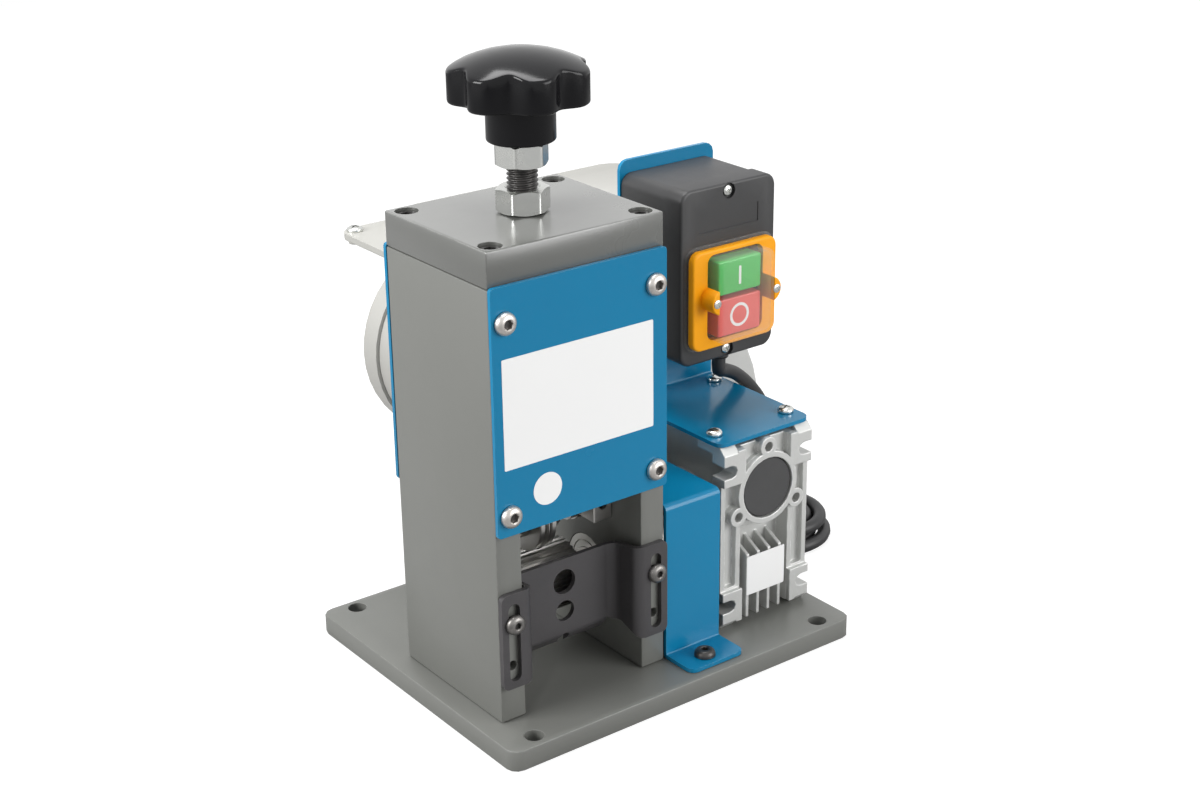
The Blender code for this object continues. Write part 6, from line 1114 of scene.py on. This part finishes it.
@dataclass
class KnobStack(SubAssembly):
    """The lobed knob on its threaded screw, with the jam nut below it and the lock nut."""

    lobes: int = 7
    diameter: float = 63.0 * MM
    valley: float = 4.8 * MM
    phase: float = math.radians(-108.4)
    hub_diameter: float = 30.8 * MM
    hub_height: float = 17.2 * MM
    rim_height: float = 31.8 * MM
    dome: float = 8.4 * MM
    dome_shares: tuple[tuple[float, float], ...] = (
        (0.92, 0.96),
        (0.84, 0.75),
        (0.72, 0.45),
        (0.58, 0.2),
        (0.4, 0.05),
        (0.2, 0.0),
        (0.04, 0.0),
    )
    points: int = 252
    valley_power: float = 1.5
    soft: float = 1.1 * MM
    under: float = 1.6 * MM
    neck_radius: float = 5.0 * MM
    collar_radius: float = 8.5 * MM
    collar_height: float = 4.0 * MM
    gap: float = 0.3 * MM
    thread_diameter: float = 14.0 * MM
    thread_pitch: float = 2.0 * MM
    thread_depth: float = 1.1 * MM
    crest_share: float = 0.12
    flank_share: float = 0.72
    steps_per_turn: int = 40
    steps_per_pitch: int = 8
    nut_flats: float = 21.5 * MM
    nut_play: float = 0.1 * MM
    nut_mouth: float = 0.9 * MM
    nut_face_share: float = 0.97
    nut_corner: float = 0.25 * MM
    nut_slope: float = 30.0
    nut_points: int = 144
    jam_turn: float = 41.9
    lock_turn: float = 34.4
    body: str = "knob_and_screw"

    def build(self) -> None:
        """Builds the knob, the screw and both nuts."""
        self.knob()
        self.screw()
        self.nut("zinc_jam_nut", "jam_nut", self.jam_turn, "knob_and_screw")
        self.nut("zinc_lock_nut", "top_lock_nut", self.lock_turn, "machine")

    def dome_rise(self, radius: float) -> float:
        """How high the dome stands over the rim's edge at a radius."""
        rim = self.diameter / 2
        ball = (rim**2 + self.dome**2) / (2 * self.dome)
        return math.sqrt(ball**2 - radius**2) - ball + self.dome

    def ring(self, height: float, radius: float, lobed: float, on_dome: bool = False) -> Ring:
        """One ring of the knob, its lobes as deep as the share says."""
        made: Ring = []
        for index in range(self.points):
            turn = FULL_TURN * index / self.points
            valley = ((1 - math.cos(self.lobes * turn)) / 2) ** self.valley_power
            reach = radius * (1 - self.valley * 2 / self.diameter * lobed * valley)
            rise = height + (self.dome_rise(reach) if on_dome else 0.0)
            made.append((reach * math.cos(turn), reach * math.sin(turn), rise))
        return made

    def knob(self) -> None:
        """The knob: a round hub, seven upright lobes and a low dome, all edges rounded."""
        low, _ = corners("knob")
        axis = middle("jam_nut")
        hub, lobe = self.hub_diameter / 2, self.diameter / 2
        soft, under = self.soft, self.under
        rings = [self.ring(soft * along, hub - soft * off, 0.0) for along, off in quarter_round(4)]
        for along, off in quarter_round(4):
            rings.append(self.ring(self.hub_height - under * off, hub + under * along, 0.0))
        for along, off in quarter_round(4):
            rings.append(self.ring(self.hub_height + under * along, lobe - under * off, 1.0))
        for along, off in quarter_round(5):
            rise = self.rim_height - soft * off
            rings.append(self.ring(rise, lobe - soft * along, 1.0, on_dome=True))
        for share, lobed in self.dome_shares:
            rings.append(self.ring(self.rim_height, lobe * share, lobed, on_dome=True))
        place = Facing.UP.at((axis.x, axis.y, low.z)) @ Matrix.Rotation(self.phase, 4, "Z")
        self.put(loft("lobed_knob", place, rings, angle=50.0), Finishes.KNOB_PLASTIC, "knob")

    def screw(self) -> None:
        """The screw: its thread from the crossbar's shoulder to the knob, its neck and its collar."""
        low, high = corners("pressure_screw")
        axis = middle("jam_nut")
        shoulder = corners("carriage_crossbar")[1].z + self.gap
        neck, collar = self.neck_radius, self.collar_radius
        self.put(self.thread_mesh(axis, shoulder, high.z), Finishes.BLACK_STEEL, "pressure_screw")
        profile = [
            (0.0, shoulder),
            (neck, shoulder),
            (neck, low.z + self.collar_height),
            (collar, low.z + self.collar_height),
            (collar, low.z),
            (0.0, low.z),
        ]
        place = Facing.UP.at((axis.x, axis.y, 0.0))
        self.put(turned("screw_neck", place, profile), Finishes.BLACK_STEEL)

    def thread_mesh(self, axis: Vector, low: float, high: float) -> bpy.types.Object:
        """A rod whose wall follows one helical thread."""
        per_turn = self.steps_per_turn
        radius, depth = self.thread_diameter / 2, self.thread_depth
        rings: list[Ring] = []
        steps = int((high - low) / self.thread_pitch * self.steps_per_pitch)
        for level in range(steps + 1):
            z = low + (high - low) * level / steps
            ring: Ring = []
            for index in range(per_turn):
                share = index / per_turn
                wave = (z - low) / self.thread_pitch - share
                saw = abs((wave % 1.0) * 2 - 1)
                cut_share = min(1.0, max(0.0, (saw - self.crest_share) / self.flank_share))
                reach = radius - depth * cut_share
                turn = FULL_TURN * share
                ring.append((axis.x + reach * math.cos(turn), axis.y + reach * math.sin(turn), z))
            rings.append(ring)
        return loft("threaded_screw", Matrix.Identity(4), rings, angle=80.0)

    def nut(self, name: str, node: str, turn: float, body: str) -> None:
        """A hexagon nut whose corners are turned off at both faces; the turn is in degrees."""
        low, high = corners(node)
        axis = middle(node)
        height = high.z - low.z
        flat = self.nut_flats / 2
        bore = self.thread_diameter / 2 + self.nut_play
        mouth = bore + self.nut_mouth
        slope = math.tan(math.radians(self.nut_slope))

        def across(angle: float) -> float:
            """The hexagon's reach at an angle, its corners a little rounded."""
            off = (angle % (math.pi / 3)) - math.pi / 6
            return min(flat / math.cos(off), flat / math.cos(math.pi / 6) - self.nut_corner)

        def ring(reach: Callable[[float], float], rise: Callable[[float], float]) -> Ring:
            """A ring whose reach and height follow the angle."""
            made: Ring = []
            for index in range(self.nut_points):
                angle = FULL_TURN * index / self.nut_points
                r = reach(angle)
                made.append((r * math.cos(angle), r * math.sin(angle), rise(r)))
            return made

        face = flat * self.nut_face_share
        rings = [
            ring(lambda a: mouth, lambda r: 0.0),
            ring(lambda a: face, lambda r: 0.0),
            ring(across, lambda r: (r - face) * slope),
            ring(across, lambda r: height - (r - face) * slope),
            ring(lambda a: face, lambda r: height),
            ring(lambda a: mouth, lambda r: height),
            ring(lambda a: bore, lambda r: height - self.nut_mouth),
        ]
        place = Facing.UP.at((axis.x, axis.y, low.z)) @ Matrix.Rotation(math.radians(turn), 4, "Z")
        nut = loft(name, place, rings, angle=28.0)
        self.put(nut, Finishes.ZINC, node, body=body)


@dataclass(frozen=True)
class ButtonHead:
    """One kind of button-head screw: its head, the width of its key and its finish."""

    radius: float
    height: float
    key: float
    finish: Finish


@dataclass
class Screws(SubAssembly):
    """Every small screw: button heads with a hexagon socket, and cross heads."""

    shank_depth: float = 2.4 * MM
    counterbore: float = 6.5 * MM
    cap_inset: float = 7.2 * MM
    cap_radius: float = 4.9 * MM
    cap_height: float = 5.0 * MM
    cap_edge: float = 0.5 * MM
    cap_key_reach: float = 2.9 * MM
    cap_lift: float = 0.05 * MM
    cover: ButtonHead = ButtonHead(5.25 * MM, 3.3 * MM, 4.0 * MM, Finishes.DULL_STEEL)
    guide: ButtonHead = ButtonHead(4.8 * MM, 2.9 * MM, 3.0 * MM, Finishes.GUIDE_STEEL)
    guard: ButtonHead = ButtonHead(5.2 * MM, 3.4 * MM, 3.2 * MM, Finishes.BLACK_STEEL)
    bracket_radius: float = 4.0 * MM
    bracket_height: float = 3.0 * MM
    flat_share: float = 0.5
    rim: float = 0.5 * MM
    soft: float = 0.15 * MM
    dome_steps: int = 8
    socket_share: float = 0.62
    socket_turn: float = 11.0
    # A dark plate at the socket's bottom is painted shade; these give its reach, as a share of the socket's,
    # and its thickness.
    socket_shade_plate_share: float = 0.97
    socket_shade_plate: float = 0.1 * MM
    mouth_low: float = 0.25 * MM
    mouth_high: float = 0.45 * MM
    mouth_depth: float = 0.3 * MM
    shank_share: float = 0.55
    shank_overlap: float = 0.1 * MM

    def build(self) -> None:
        """Builds each screw where its node stands."""
        for index in range(1, 5):
            self.button_head(f"cover_screw_{index}", Facing.FRONT, self.cover)
        for side in ("left", "right"):
            self.button_head(f"guide_screw_{side}", Facing.FRONT, self.guide)
        self.button_head("guard_screw", Facing.UP, self.guard)
        for index in range(1, 5):
            node = f"bracket_screw_{index}"
            place = self.seat(node, Facing.UP, self.bracket_height)
            head = CROSS_HEAD.build(f"{node}_head", place, self.bracket_radius, self.bracket_height)
            self.put(head, Finishes.ZINC, node)
        self.top_screws()

    def seat(self, node: str, facing: Facing, height: float) -> Matrix:
        """The place under a screw's head, from its node's box."""
        low, high = corners(node)
        centre = (low + high) / 2
        if facing is Facing.FRONT:
            return facing.at((centre.x, low.y + height, centre.z))
        return facing.at((centre.x, centre.y, high.z - height))

    def button_head(self, node: str, facing: Facing, kind: ButtonHead) -> None:
        """A domed head with a hexagon socket on its node's seat."""
        radius, height = kind.radius, kind.height
        place = self.seat(node, facing, height)
        flat, rim = radius * self.flat_share, self.rim
        profile = [(0.0, 0.0), (radius - self.soft, 0.0), (radius, self.soft)]
        for step in range(1, self.dome_steps + 1):
            turn = math.pi / 2 * step / self.dome_steps
            reach = flat + (radius - flat) * math.cos(turn)
            profile.append((reach, rim + (height - rim) * math.sin(turn)))
        profile.append((0.0, height))
        head = turned(f"{node}_head", place, profile, steps=48, angle=30.0)
        corner = kind.key / 2 / math.cos(math.pi / 6)
        depth = height * self.socket_share
        spin = Matrix.Rotation(math.radians(self.socket_turn), 4, "Z")
        deep = place @ Matrix.Translation((0, 0, height - depth)) @ spin
        socket = plate(f"{node}_socket", deep, hexagon(corner), depth + MM)
        lip = [
            (0.0, -corner),
            (corner + self.mouth_low, 0.0),
            (corner + self.mouth_high, self.mouth_depth),
            (0.0, self.mouth_depth),
        ]
        mouth = turned(f"{node}_mouth", place @ Matrix.Translation((0, 0, height)), lip, steps=32)
        combine(head, [socket, mouth], "DIFFERENCE")
        # Painted shade: a dark hexagon plate at the socket's bottom, where the socket's shadow falls.
        floor = place @ Matrix.Translation((0, 0, height - depth))
        inside = hexagon(corner * self.socket_shade_plate_share)
        bottom = plate(f"{node}_socket_floor", floor @ spin, inside, self.socket_shade_plate)
        self.put(bottom, Finishes.BLACK_STEEL)
        sunk = place @ Matrix.Translation((0, 0, -self.shank_depth))
        length = self.shank_depth + self.shank_overlap
        combine(head, [rod(f"{node}_shank", sunk, radius * self.shank_share, length)], "UNION")
        self.put(head, kind.finish, node)

    def top_screws(self) -> None:
        """The dark cap screws, sunk in the top plate's counterbores."""
        low, high = corners("top_plate")
        for index, (x, y) in enumerate(corner_spots(low, high, self.cap_inset), start=1):
            seat = Facing.UP.at((x, y, high.z - self.counterbore + self.cap_lift))
            name = f"top_screw_{index}_head"
            head = rod(name, seat, self.cap_radius, self.cap_height, self.cap_edge, 40)
            deep = seat @ Matrix.Translation((0, 0, self.cap_height / 2))
            key = hexagon(self.cap_key_reach)
            socket = plate(f"top_socket_{index}", deep, key, self.cap_height)
            combine(head, [socket], "DIFFERENCE")
            self.put(head, Finishes.BLACK_STEEL)


@dataclass
class PlainNodes(SubAssembly):
    """The model's nodes that stay as they are, with their finish."""

    def build(self) -> None:
        """Dresses every node that nothing else stands for."""
        slots = {row["node"]: row["material_slot"] for row in frame["record"]["subparts"]}
        special = {
            "worm_end_cap": Finishes.CAP_RUBBER,
            "cooling_fan": Finishes.SWITCH_PLASTIC,
            "top_plate": Finishes.TOP_PAINT,
        }
        for node, item in frame["nodes"].items():
            if not item.hide_render:
                self.dress(node, special.get(node, SLOT_FINISHES[slots[node]]))


@dataclass
class SwitchBox(SubAssembly):
    """The switch: a black box and lid, a clear hood held by an orange frame, and two buttons."""

    corner: float = 6.0 * MM
    edge: float = 1.3 * MM
    wall: float = 2.5 * MM
    step_in: float = 0.7 * MM
    well_inset: float = 4.0 * MM
    well_radius: float = 3.8 * MM
    well_depth: float = 1.6 * MM
    panel_width: float = 37.0 * MM
    panel_height: float = 9.4 * MM
    panel_rise: float = 65.4 * MM
    panel_depth: float = 0.35 * MM
    frame_width: float = 52.0 * MM
    frame_height: float = 49.5 * MM
    frame_rise: float = 8.6 * MM
    frame_thickness: float = 3.6 * MM
    frame_corner: float = 5.0 * MM
    hood_width: float = 34.0 * MM
    hood_height: float = 42.4 * MM
    hood_rise: float = 13.2 * MM
    hood_proud: float = 15.2 * MM
    hood_corner: float = 4.0 * MM
    hood_wall: float = 1.2 * MM
    hood_reach: float = 1.3 * MM
    lug_radius: float = 6.2 * MM
    lug_offset: float = 15.4 * MM
    lug_rise: float = 34.6 * MM
    lug_proud: float = 14.4 * MM
    screw_offset: float = 18.6 * MM
    gap: float = 0.3 * MM
    window_room: float = 0.4 * MM
    window_corner: float = 0.6 * MM
    panel_corner: float = 0.4 * MM
    lid_screw: tuple[float, float] = (2.7 * MM, 1.5 * MM)
    frame_screw: tuple[float, float] = (2.2 * MM, 0.7 * MM)
    hood_edge: float = 2.0 * MM
    hood_inner_edge: float = 1.2 * MM
    flange_edge: float = 0.5 * MM
    frame_edge: float = 1.1 * MM
    lug_edge: float = 0.7 * MM
    key_corner: float = 0.9 * MM
    key_edge: float = 0.8 * MM
    line_half: tuple[float, float] = (0.7 * MM, 4.6 * MM)
    line_corner: float = 0.5 * MM
    ring_radii: tuple[float, float] = (5.9 * MM, 4.5 * MM)
    mark_proud: float = 0.12 * MM
    cut_depth: float = 20.0 * MM

    def build(self) -> None:
        """Builds the box from the back to the front."""
        low, high = corners("switch_lid")
        self.x = (low.x + high.x) / 2
        self.bottom, self.top = low.z, high.z
        self.front, self.lid_back = low.y, high.y
        self.half = (high.x - low.x) / 2
        self.base()
        self.lid()
        self.hood()
        self.orange_frame()
        self.button("green_button", "start_button", Finishes.GREEN)
        self.button("red_button", "stop_button", Finishes.RED)

    def at_front(self, depth: float) -> Matrix:
        """A place that faces the front, this far behind the lid's face."""
        return Facing.FRONT.at((0.0, self.front + depth, 0.0))

    def outline(self, inset: float, corner: float) -> Outline:
        """The box's outline, drawn in by the inset."""
        left, right = self.x - self.half + inset, self.x + self.half - inset
        return rounded_rectangle(left, right, self.bottom + inset, self.top - inset, corner, 8)

    def base(self) -> None:
        """The deep base that stands against the bracket, with a step where the lid seats."""
        low, high = corners("switch_base")
        outer = self.outline(self.step_in, self.corner)
        base = plate("switch_body", Facing.FRONT.at((0.0, high.y, 0.0)), outer, high.y - low.y)
        hollow = plate(
            "switch_hollow",
            Facing.FRONT.at((0.0, high.y - self.wall, 0.0)),
            self.outline(self.step_in + self.wall, self.corner - self.wall),
            high.y - low.y,
        )
        combine(base, [hollow], "DIFFERENCE")
        self.put(base, Finishes.SWITCH_PLASTIC, "switch_base")

    def lid(self) -> None:
        """The lid: rounded front edge, a window for the buttons, two screw wells and a bare panel."""
        depth = self.lid_back - self.front
        lid = plate("switch_cover", self.at_front(depth), self.outline(0.0, self.corner), depth, self.edge, 4)
        cutters = []
        red, green = corners("red_button"), corners("green_button")
        room = self.window_room
        window = rounded_rectangle(
            red[0].x - room,
            red[1].x + room,
            red[0].z - room,
            green[1].z + room,
            self.window_corner,
            3,
        )
        cutters.append(plate("switch_window", self.at_front(2 * depth), window, 3 * depth))
        inside = self.outline(self.wall, self.corner - self.wall)
        cutters.append(plate("lid_hollow", self.at_front(depth + MM), inside, depth + MM - self.wall))
        spots = (self.bottom + self.well_inset, self.top - self.well_inset)
        for index, z in enumerate(spots):
            well = Facing.FRONT.at((self.x, self.front + self.well_depth, z))
            cutters.append(rod(f"lid_well_{index}", well, self.well_radius, 3 * self.well_depth, steps=40))
        left = self.x - self.panel_width / 2
        low = self.bottom + self.panel_rise
        right, high = left + self.panel_width, low + self.panel_height
        panel = rounded_rectangle(left, right, low, high, self.panel_corner, 2)
        cutters.append(plate("bare_panel", self.at_front(self.panel_depth), panel, MM))
        combine(lid, cutters, "DIFFERENCE")
        self.put(lid, Finishes.SWITCH_PLASTIC, "switch_lid")
        for index, z in enumerate(spots, start=1):
            seat = Facing.FRONT.at((self.x, self.front + self.well_depth - HAIR, z))
            screw = CROSS_HEAD.build(f"lid_screw_{index}", seat, *self.lid_screw)
            self.put(screw, Finishes.ZINC)

    def box_outline(self, width: float, rise: float, height: float, corner: float) -> Outline:
        """A rounded rectangle on the lid's front, centred on the box."""
        low = self.bottom + rise
        return rounded_rectangle(
            self.x - width / 2, self.x + width / 2, low, low + height, corner, 7
        )

    def hood(self) -> None:
        """The clear hood, open at the back, with a flange that shows round the orange frame."""
        hood = plate(
            "clear_hood",
            self.at_front(-self.gap),
            self.box_outline(self.hood_width, self.hood_rise, self.hood_height, self.hood_corner),
            self.hood_proud - self.gap,
            self.hood_edge,
            6,
        )
        wall = self.hood_wall
        inner = plate(
            "hood_inside",
            self.at_front(self.gap),
            self.box_outline(
                self.hood_width - 2 * wall,
                self.hood_rise + wall,
                self.hood_height - 2 * wall,
                self.hood_corner - wall,
            ),
            self.hood_proud - wall + self.gap,
            self.hood_inner_edge,
            4,
        )
        reach = self.hood_reach
        flange = plate(
            "hood_flange",
            self.at_front(-self.gap),
            self.box_outline(
                self.frame_width + 2 * reach,
                self.frame_rise - reach,
                self.frame_height + 2 * reach,
                self.frame_corner + reach,
            ),
            wall,
            self.flange_edge,
            3,
        )
        combine(hood, [flange], "UNION")
        combine(hood, [inner], "DIFFERENCE")
        self.put(hood, Finishes.CLEAR, "switch_hood")

    def orange_frame(self) -> None:
        """The frame that holds the hood down, with a lug and a small screw at each side."""
        back = -self.gap - self.hood_wall - self.gap
        outline = self.box_outline(self.frame_width, self.frame_rise, self.frame_height, self.frame_corner)
        frame_plate = plate(
            "orange_frame", self.at_front(back), outline, self.frame_thickness, self.frame_edge, 4
        )
        z = self.bottom + self.lug_rise
        length = self.lug_proud + back
        lugs = []
        for side in (-1, 1):
            place = Facing.FRONT.at((self.x + side * self.lug_offset, self.front + back, z))
            lugs.append(rod(f"frame_lug_{side}", place, self.lug_radius, length, self.lug_edge))
        combine(frame_plate, lugs, "UNION")
        opening = self.box_outline(
            self.hood_width + 2 * self.gap,
            self.hood_rise - self.gap,
            self.hood_height + 2 * self.gap,
            self.hood_corner + self.gap,
        )
        cutter = plate("frame_opening", self.at_front(MM), opening, self.cut_depth)
        combine(frame_plate, [cutter], "DIFFERENCE")
        self.put(frame_plate, Finishes.ORANGE, "switch_bezel")
        for side, word in ((-1, "left"), (1, "right")):
            seat = Facing.FRONT.at((self.x + side * self.screw_offset, self.front - self.lug_proud, z))
            screw = CROSS_HEAD.build(f"frame_screw_{word}", seat, *self.frame_screw)
            self.put(screw, Finishes.ZINC)

    def button(self, node: str, body: str, finish: Finish) -> None:
        """One button with its mark, an upright line for start and a ring for stop."""
        low, high = corners(node)
        outline = rounded_rectangle(low.x, high.x, low.z, high.z, self.key_corner, 4)
        place = Facing.FRONT.at((0.0, high.y, 0.0))
        key = plate(f"{node}_key", place, outline, high.y - low.y, self.key_edge, 4)
        self.put(key, finish, node, body=body)
        centre = (low + high) / 2
        seat = Facing.FRONT.at((centre.x, low.y + HAIR, centre.z))
        proud = self.mark_proud
        if body == "start_button":
            wide, tall = self.line_half
            line = rounded_rectangle(-wide, wide, -tall, tall, self.line_corner, 3)
            mark = plate("start_mark", seat, line, proud)
        else:
            outer, inner = self.ring_radii
            ring = [(outer, 0.0), (outer, proud), (inner, proud), (inner, 0.0)]
            mark = turned("stop_mark", seat, ring, steps=64)
        self.put(mark, Finishes.WHITE_MARK, body=body)


@dataclass
class GearFace(SubAssembly):
    """The gear housing with the hollows of its front face: round the ring, and beside the fins."""

    worm_rise: float = 70.0 * MM
    ring_radius: float = 18.9 * MM
    boss_radius: float = 5.1 * MM
    boss_circle: float = 21.5 * MM
    pocket_half: float = 15.5 * MM
    pocket_top: float = 46.8 * MM
    pocket_depth: float = 10.8 * MM
    field_half: float = 14.2 * MM
    field_depth: float = 5.0 * MM
    rib_outer: float = 18.3 * MM
    rim_inner: float = 25.2 * MM
    column_low: float = 21.4 * MM
    column_high: float = 75.8 * MM
    column_depth: float = 5.4 * MM
    pad_inner: float = 14.4 * MM
    pad_outer: float = 19.4 * MM
    pad_height: float = 20.0 * MM
    pad_proud: float = 2.8 * MM
    pad_edge: float = 2.6 * MM
    field_low: float = 74.0 * MM
    field_high: float = 99.0 * MM
    pocket_below: float = 3.0 * MM
    pocket_above: float = 14.0 * MM
    cut_corner: float = 1.2 * MM
    pad_corner: float = 0.3 * MM
    pad_play: float = 0.2 * MM
    kept_start: float = 2.0 * MM
    kept_length: float = 30.0 * MM
    boss_turns: tuple[int, ...] = (90, -30, 210)
    weld: float = 0.001 * MM

    def build(self) -> None:
        """Copies the housing's solid, cuts the hollows and adds the pads' inner halves."""
        node = frame["nodes"]["gear_housing"]
        low, high = corners("gear_housing")
        self.x = middle("worm_end_cap").x
        self.front, self.foot, self.top = low.y, low.z, high.z
        shape = bmesh.new()
        shape.from_mesh(node.data)
        shape.transform(node.matrix_world)
        bmesh.ops.remove_doubles(shape, verts=shape.verts, dist=self.weld)
        housing = mesh_object("cast_housing", shape, 32.0)
        carried = housing.data.attributes.get("custom_normal")
        if carried:
            housing.data.attributes.remove(carried)
        combine(housing, self.hollows(), "DIFFERENCE")
        combine(housing, self.pads(), "UNION")
        self.put(housing, Finishes.CAST_ALUMINIUM, "gear_housing")

    def slab(
        self, name: str, left: float, right: float, low: float, high: float, depth: float
    ) -> bpy.types.Object:
        """A block that reaches from before the housing's front to the depth behind it."""
        outline = rounded_rectangle(
            self.x + left, self.x + right, self.foot + low, self.foot + high, self.cut_corner, 4
        )
        return plate(name, Facing.FRONT.at((0.0, self.front + depth, 0.0)), outline, depth + MM)

    def kept(self, name: str) -> list[bpy.types.Object]:
        """The ring and its three bosses, which the hollows go round."""
        start = self.front - self.kept_start
        centre = (self.x, start, self.foot + self.worm_rise)
        length = self.kept_length
        shapes = [rod(f"{name}_ring", Facing.BACK.at(centre), self.ring_radius, length, steps=72)]
        for index, turn in enumerate(self.boss_turns):
            angle = math.radians(turn)
            spot = (
                self.x + self.boss_circle * math.cos(angle),
                start,
                centre[2] + self.boss_circle * math.sin(angle),
            )
            shapes.append(rod(f"{name}_boss_{index}", Facing.BACK.at(spot), self.boss_radius, length))
        return shapes

    def hollows(self) -> list[bpy.types.Object]:
        """The cutters: above the ring, between the ring and the fins, and a column at each side."""
        cutters = [
            self.slab(
                "field_cut",
                -self.field_half,
                self.field_half,
                self.field_low,
                self.field_high,
                self.field_depth,
            ),
            self.slab(
                "pocket_cut",
                -self.pocket_half,
                self.pocket_half,
                self.pocket_top - self.pocket_below,
                self.pocket_top + self.pocket_above,
                self.pocket_depth,
            ),
        ]
        for side in (-1, 1):
            left, right = sorted((side * self.rib_outer, side * self.rim_inner))
            rows = (self.column_low, self.column_high)
            cutters.append(self.slab(f"column_cut_{side}", left, right, *rows, self.column_depth))
        return [combine(cutter, self.kept(cutter.name), "DIFFERENCE") for cutter in cutters]

    def pads(self) -> list[bpy.types.Object]:
        """The inner halves of the four corner pads, flush with the model's own."""
        height = self.top - self.foot
        edge = self.pad_edge
        spans = (
            (self.pocket_half + self.pad_play, edge, self.pad_height),
            (self.pad_inner, height - self.pad_height, height - edge),
        )
        place = Facing.FRONT.at((0.0, self.front + self.pad_proud, 0.0))
        shapes = []
        for side in (-1, 1):
            for inner, low, high in spans:
                left, right = sorted((side * inner, side * self.pad_outer))
                outline = rounded_rectangle(
                    self.x + left,
                    self.x + right,
                    self.foot + low,
                    self.foot + high,
                    self.pad_corner,
                    2,
                )
                name = f"pad_{len(shapes)}"
                shapes.append(plate(name, place, outline, self.pad_proud - HAIR))
        return shapes


@dataclass
class MotorBoxScrews(SubAssembly):
    """The four pan screws that hold the lid of the motor's box, with the bosses under its flange."""

    inset: float = 6.6 * MM
    flange: float = 3.4 * MM
    radius: float = 4.4 * MM
    height: float = 2.8 * MM
    boss_radius: float = 3.6 * MM
    boss_height: float = 3.0 * MM

    def build(self) -> None:
        """Sets a screw and a boss at each corner of the lid."""
        low, high = corners("capacitor_lid")
        for index, (x, y) in enumerate(corner_spots(low, high, self.inset), start=1):
            seat = Facing.UP.at((x, y, low.z + self.flange - HAIR))
            screw = CROSS_HEAD.build(f"box_screw_{index}", seat, self.radius, self.height)
            self.put(screw, Finishes.ZINC)
            under = Facing.UP.at((x, y, low.z - self.boss_height))
            boss = rod(f"box_boss_{index}", under, self.boss_radius, self.boss_height + HAIR, 0.0, 32)
            self.put(boss, Finishes.PALE_PLASTIC)


@dataclass
class BareLabels(SubAssembly):
    """The bare stickers on the front cover and on the gear housing's fins."""

    thickness: float = 0.12 * MM
    front_sides: tuple[float, float] = (-87.6 * MM, -6.0 * MM)
    front_rows: tuple[float, float] = (135.4 * MM, 186.6 * MM)
    front_corner: float = 0.6 * MM
    round_place: tuple[float, float] = (-65.2 * MM, 121.2 * MM)
    round_radius: float = 7.65 * MM
    gear_sides: tuple[float, float] = (-13.0 * MM, 11.5 * MM)
    gear_rows: tuple[float, float] = (15.0 * MM, 36.0 * MM)
    gear_corner: float = 0.8 * MM

    def build(self) -> None:
        """Sticks each label on its face."""
        face = corners("front_cover")[0].y - HAIR
        panel = rounded_rectangle(*self.front_sides, *self.front_rows, self.front_corner, 3)
        place = Facing.FRONT.at((0.0, face, 0.0))
        self.put(plate("front_label", place, panel, self.thickness), Finishes.LABEL)
        spot = Facing.FRONT.at((self.round_place[0], face, self.round_place[1]))
        label = rod("round_label", spot, self.round_radius, self.thickness, steps=64)
        self.put(label, Finishes.LABEL)
        low, high = corners("gear_housing")
        x = (low.x + high.x) / 2
        sides = [x + side for side in self.gear_sides]
        rows = [low.z + row for row in self.gear_rows]
        sticker = rounded_rectangle(*sides, *rows, self.gear_corner, 3)
        place = Facing.FRONT.at((0.0, low.y - HAIR, 0.0))
        self.put(plate("gear_label", place, sticker, self.thickness), Finishes.LABEL)


def main() -> None:
    """Builds the studio and every sub-assembly in order."""
    logging.basicConfig(level=logging.INFO, format="%(message)s")
    Studio().build()
    assemblies = (
        MainsCord(), KnobStack(), Screws(), SwitchBox(), GearFace(), MotorBoxScrews(), BareLabels(),
        PlainNodes(),
    )
    for assembly in assemblies:
        assembly.build()
        log.info("%s is built", type(assembly).__name__)


if __name__ == "__main__":
    main()
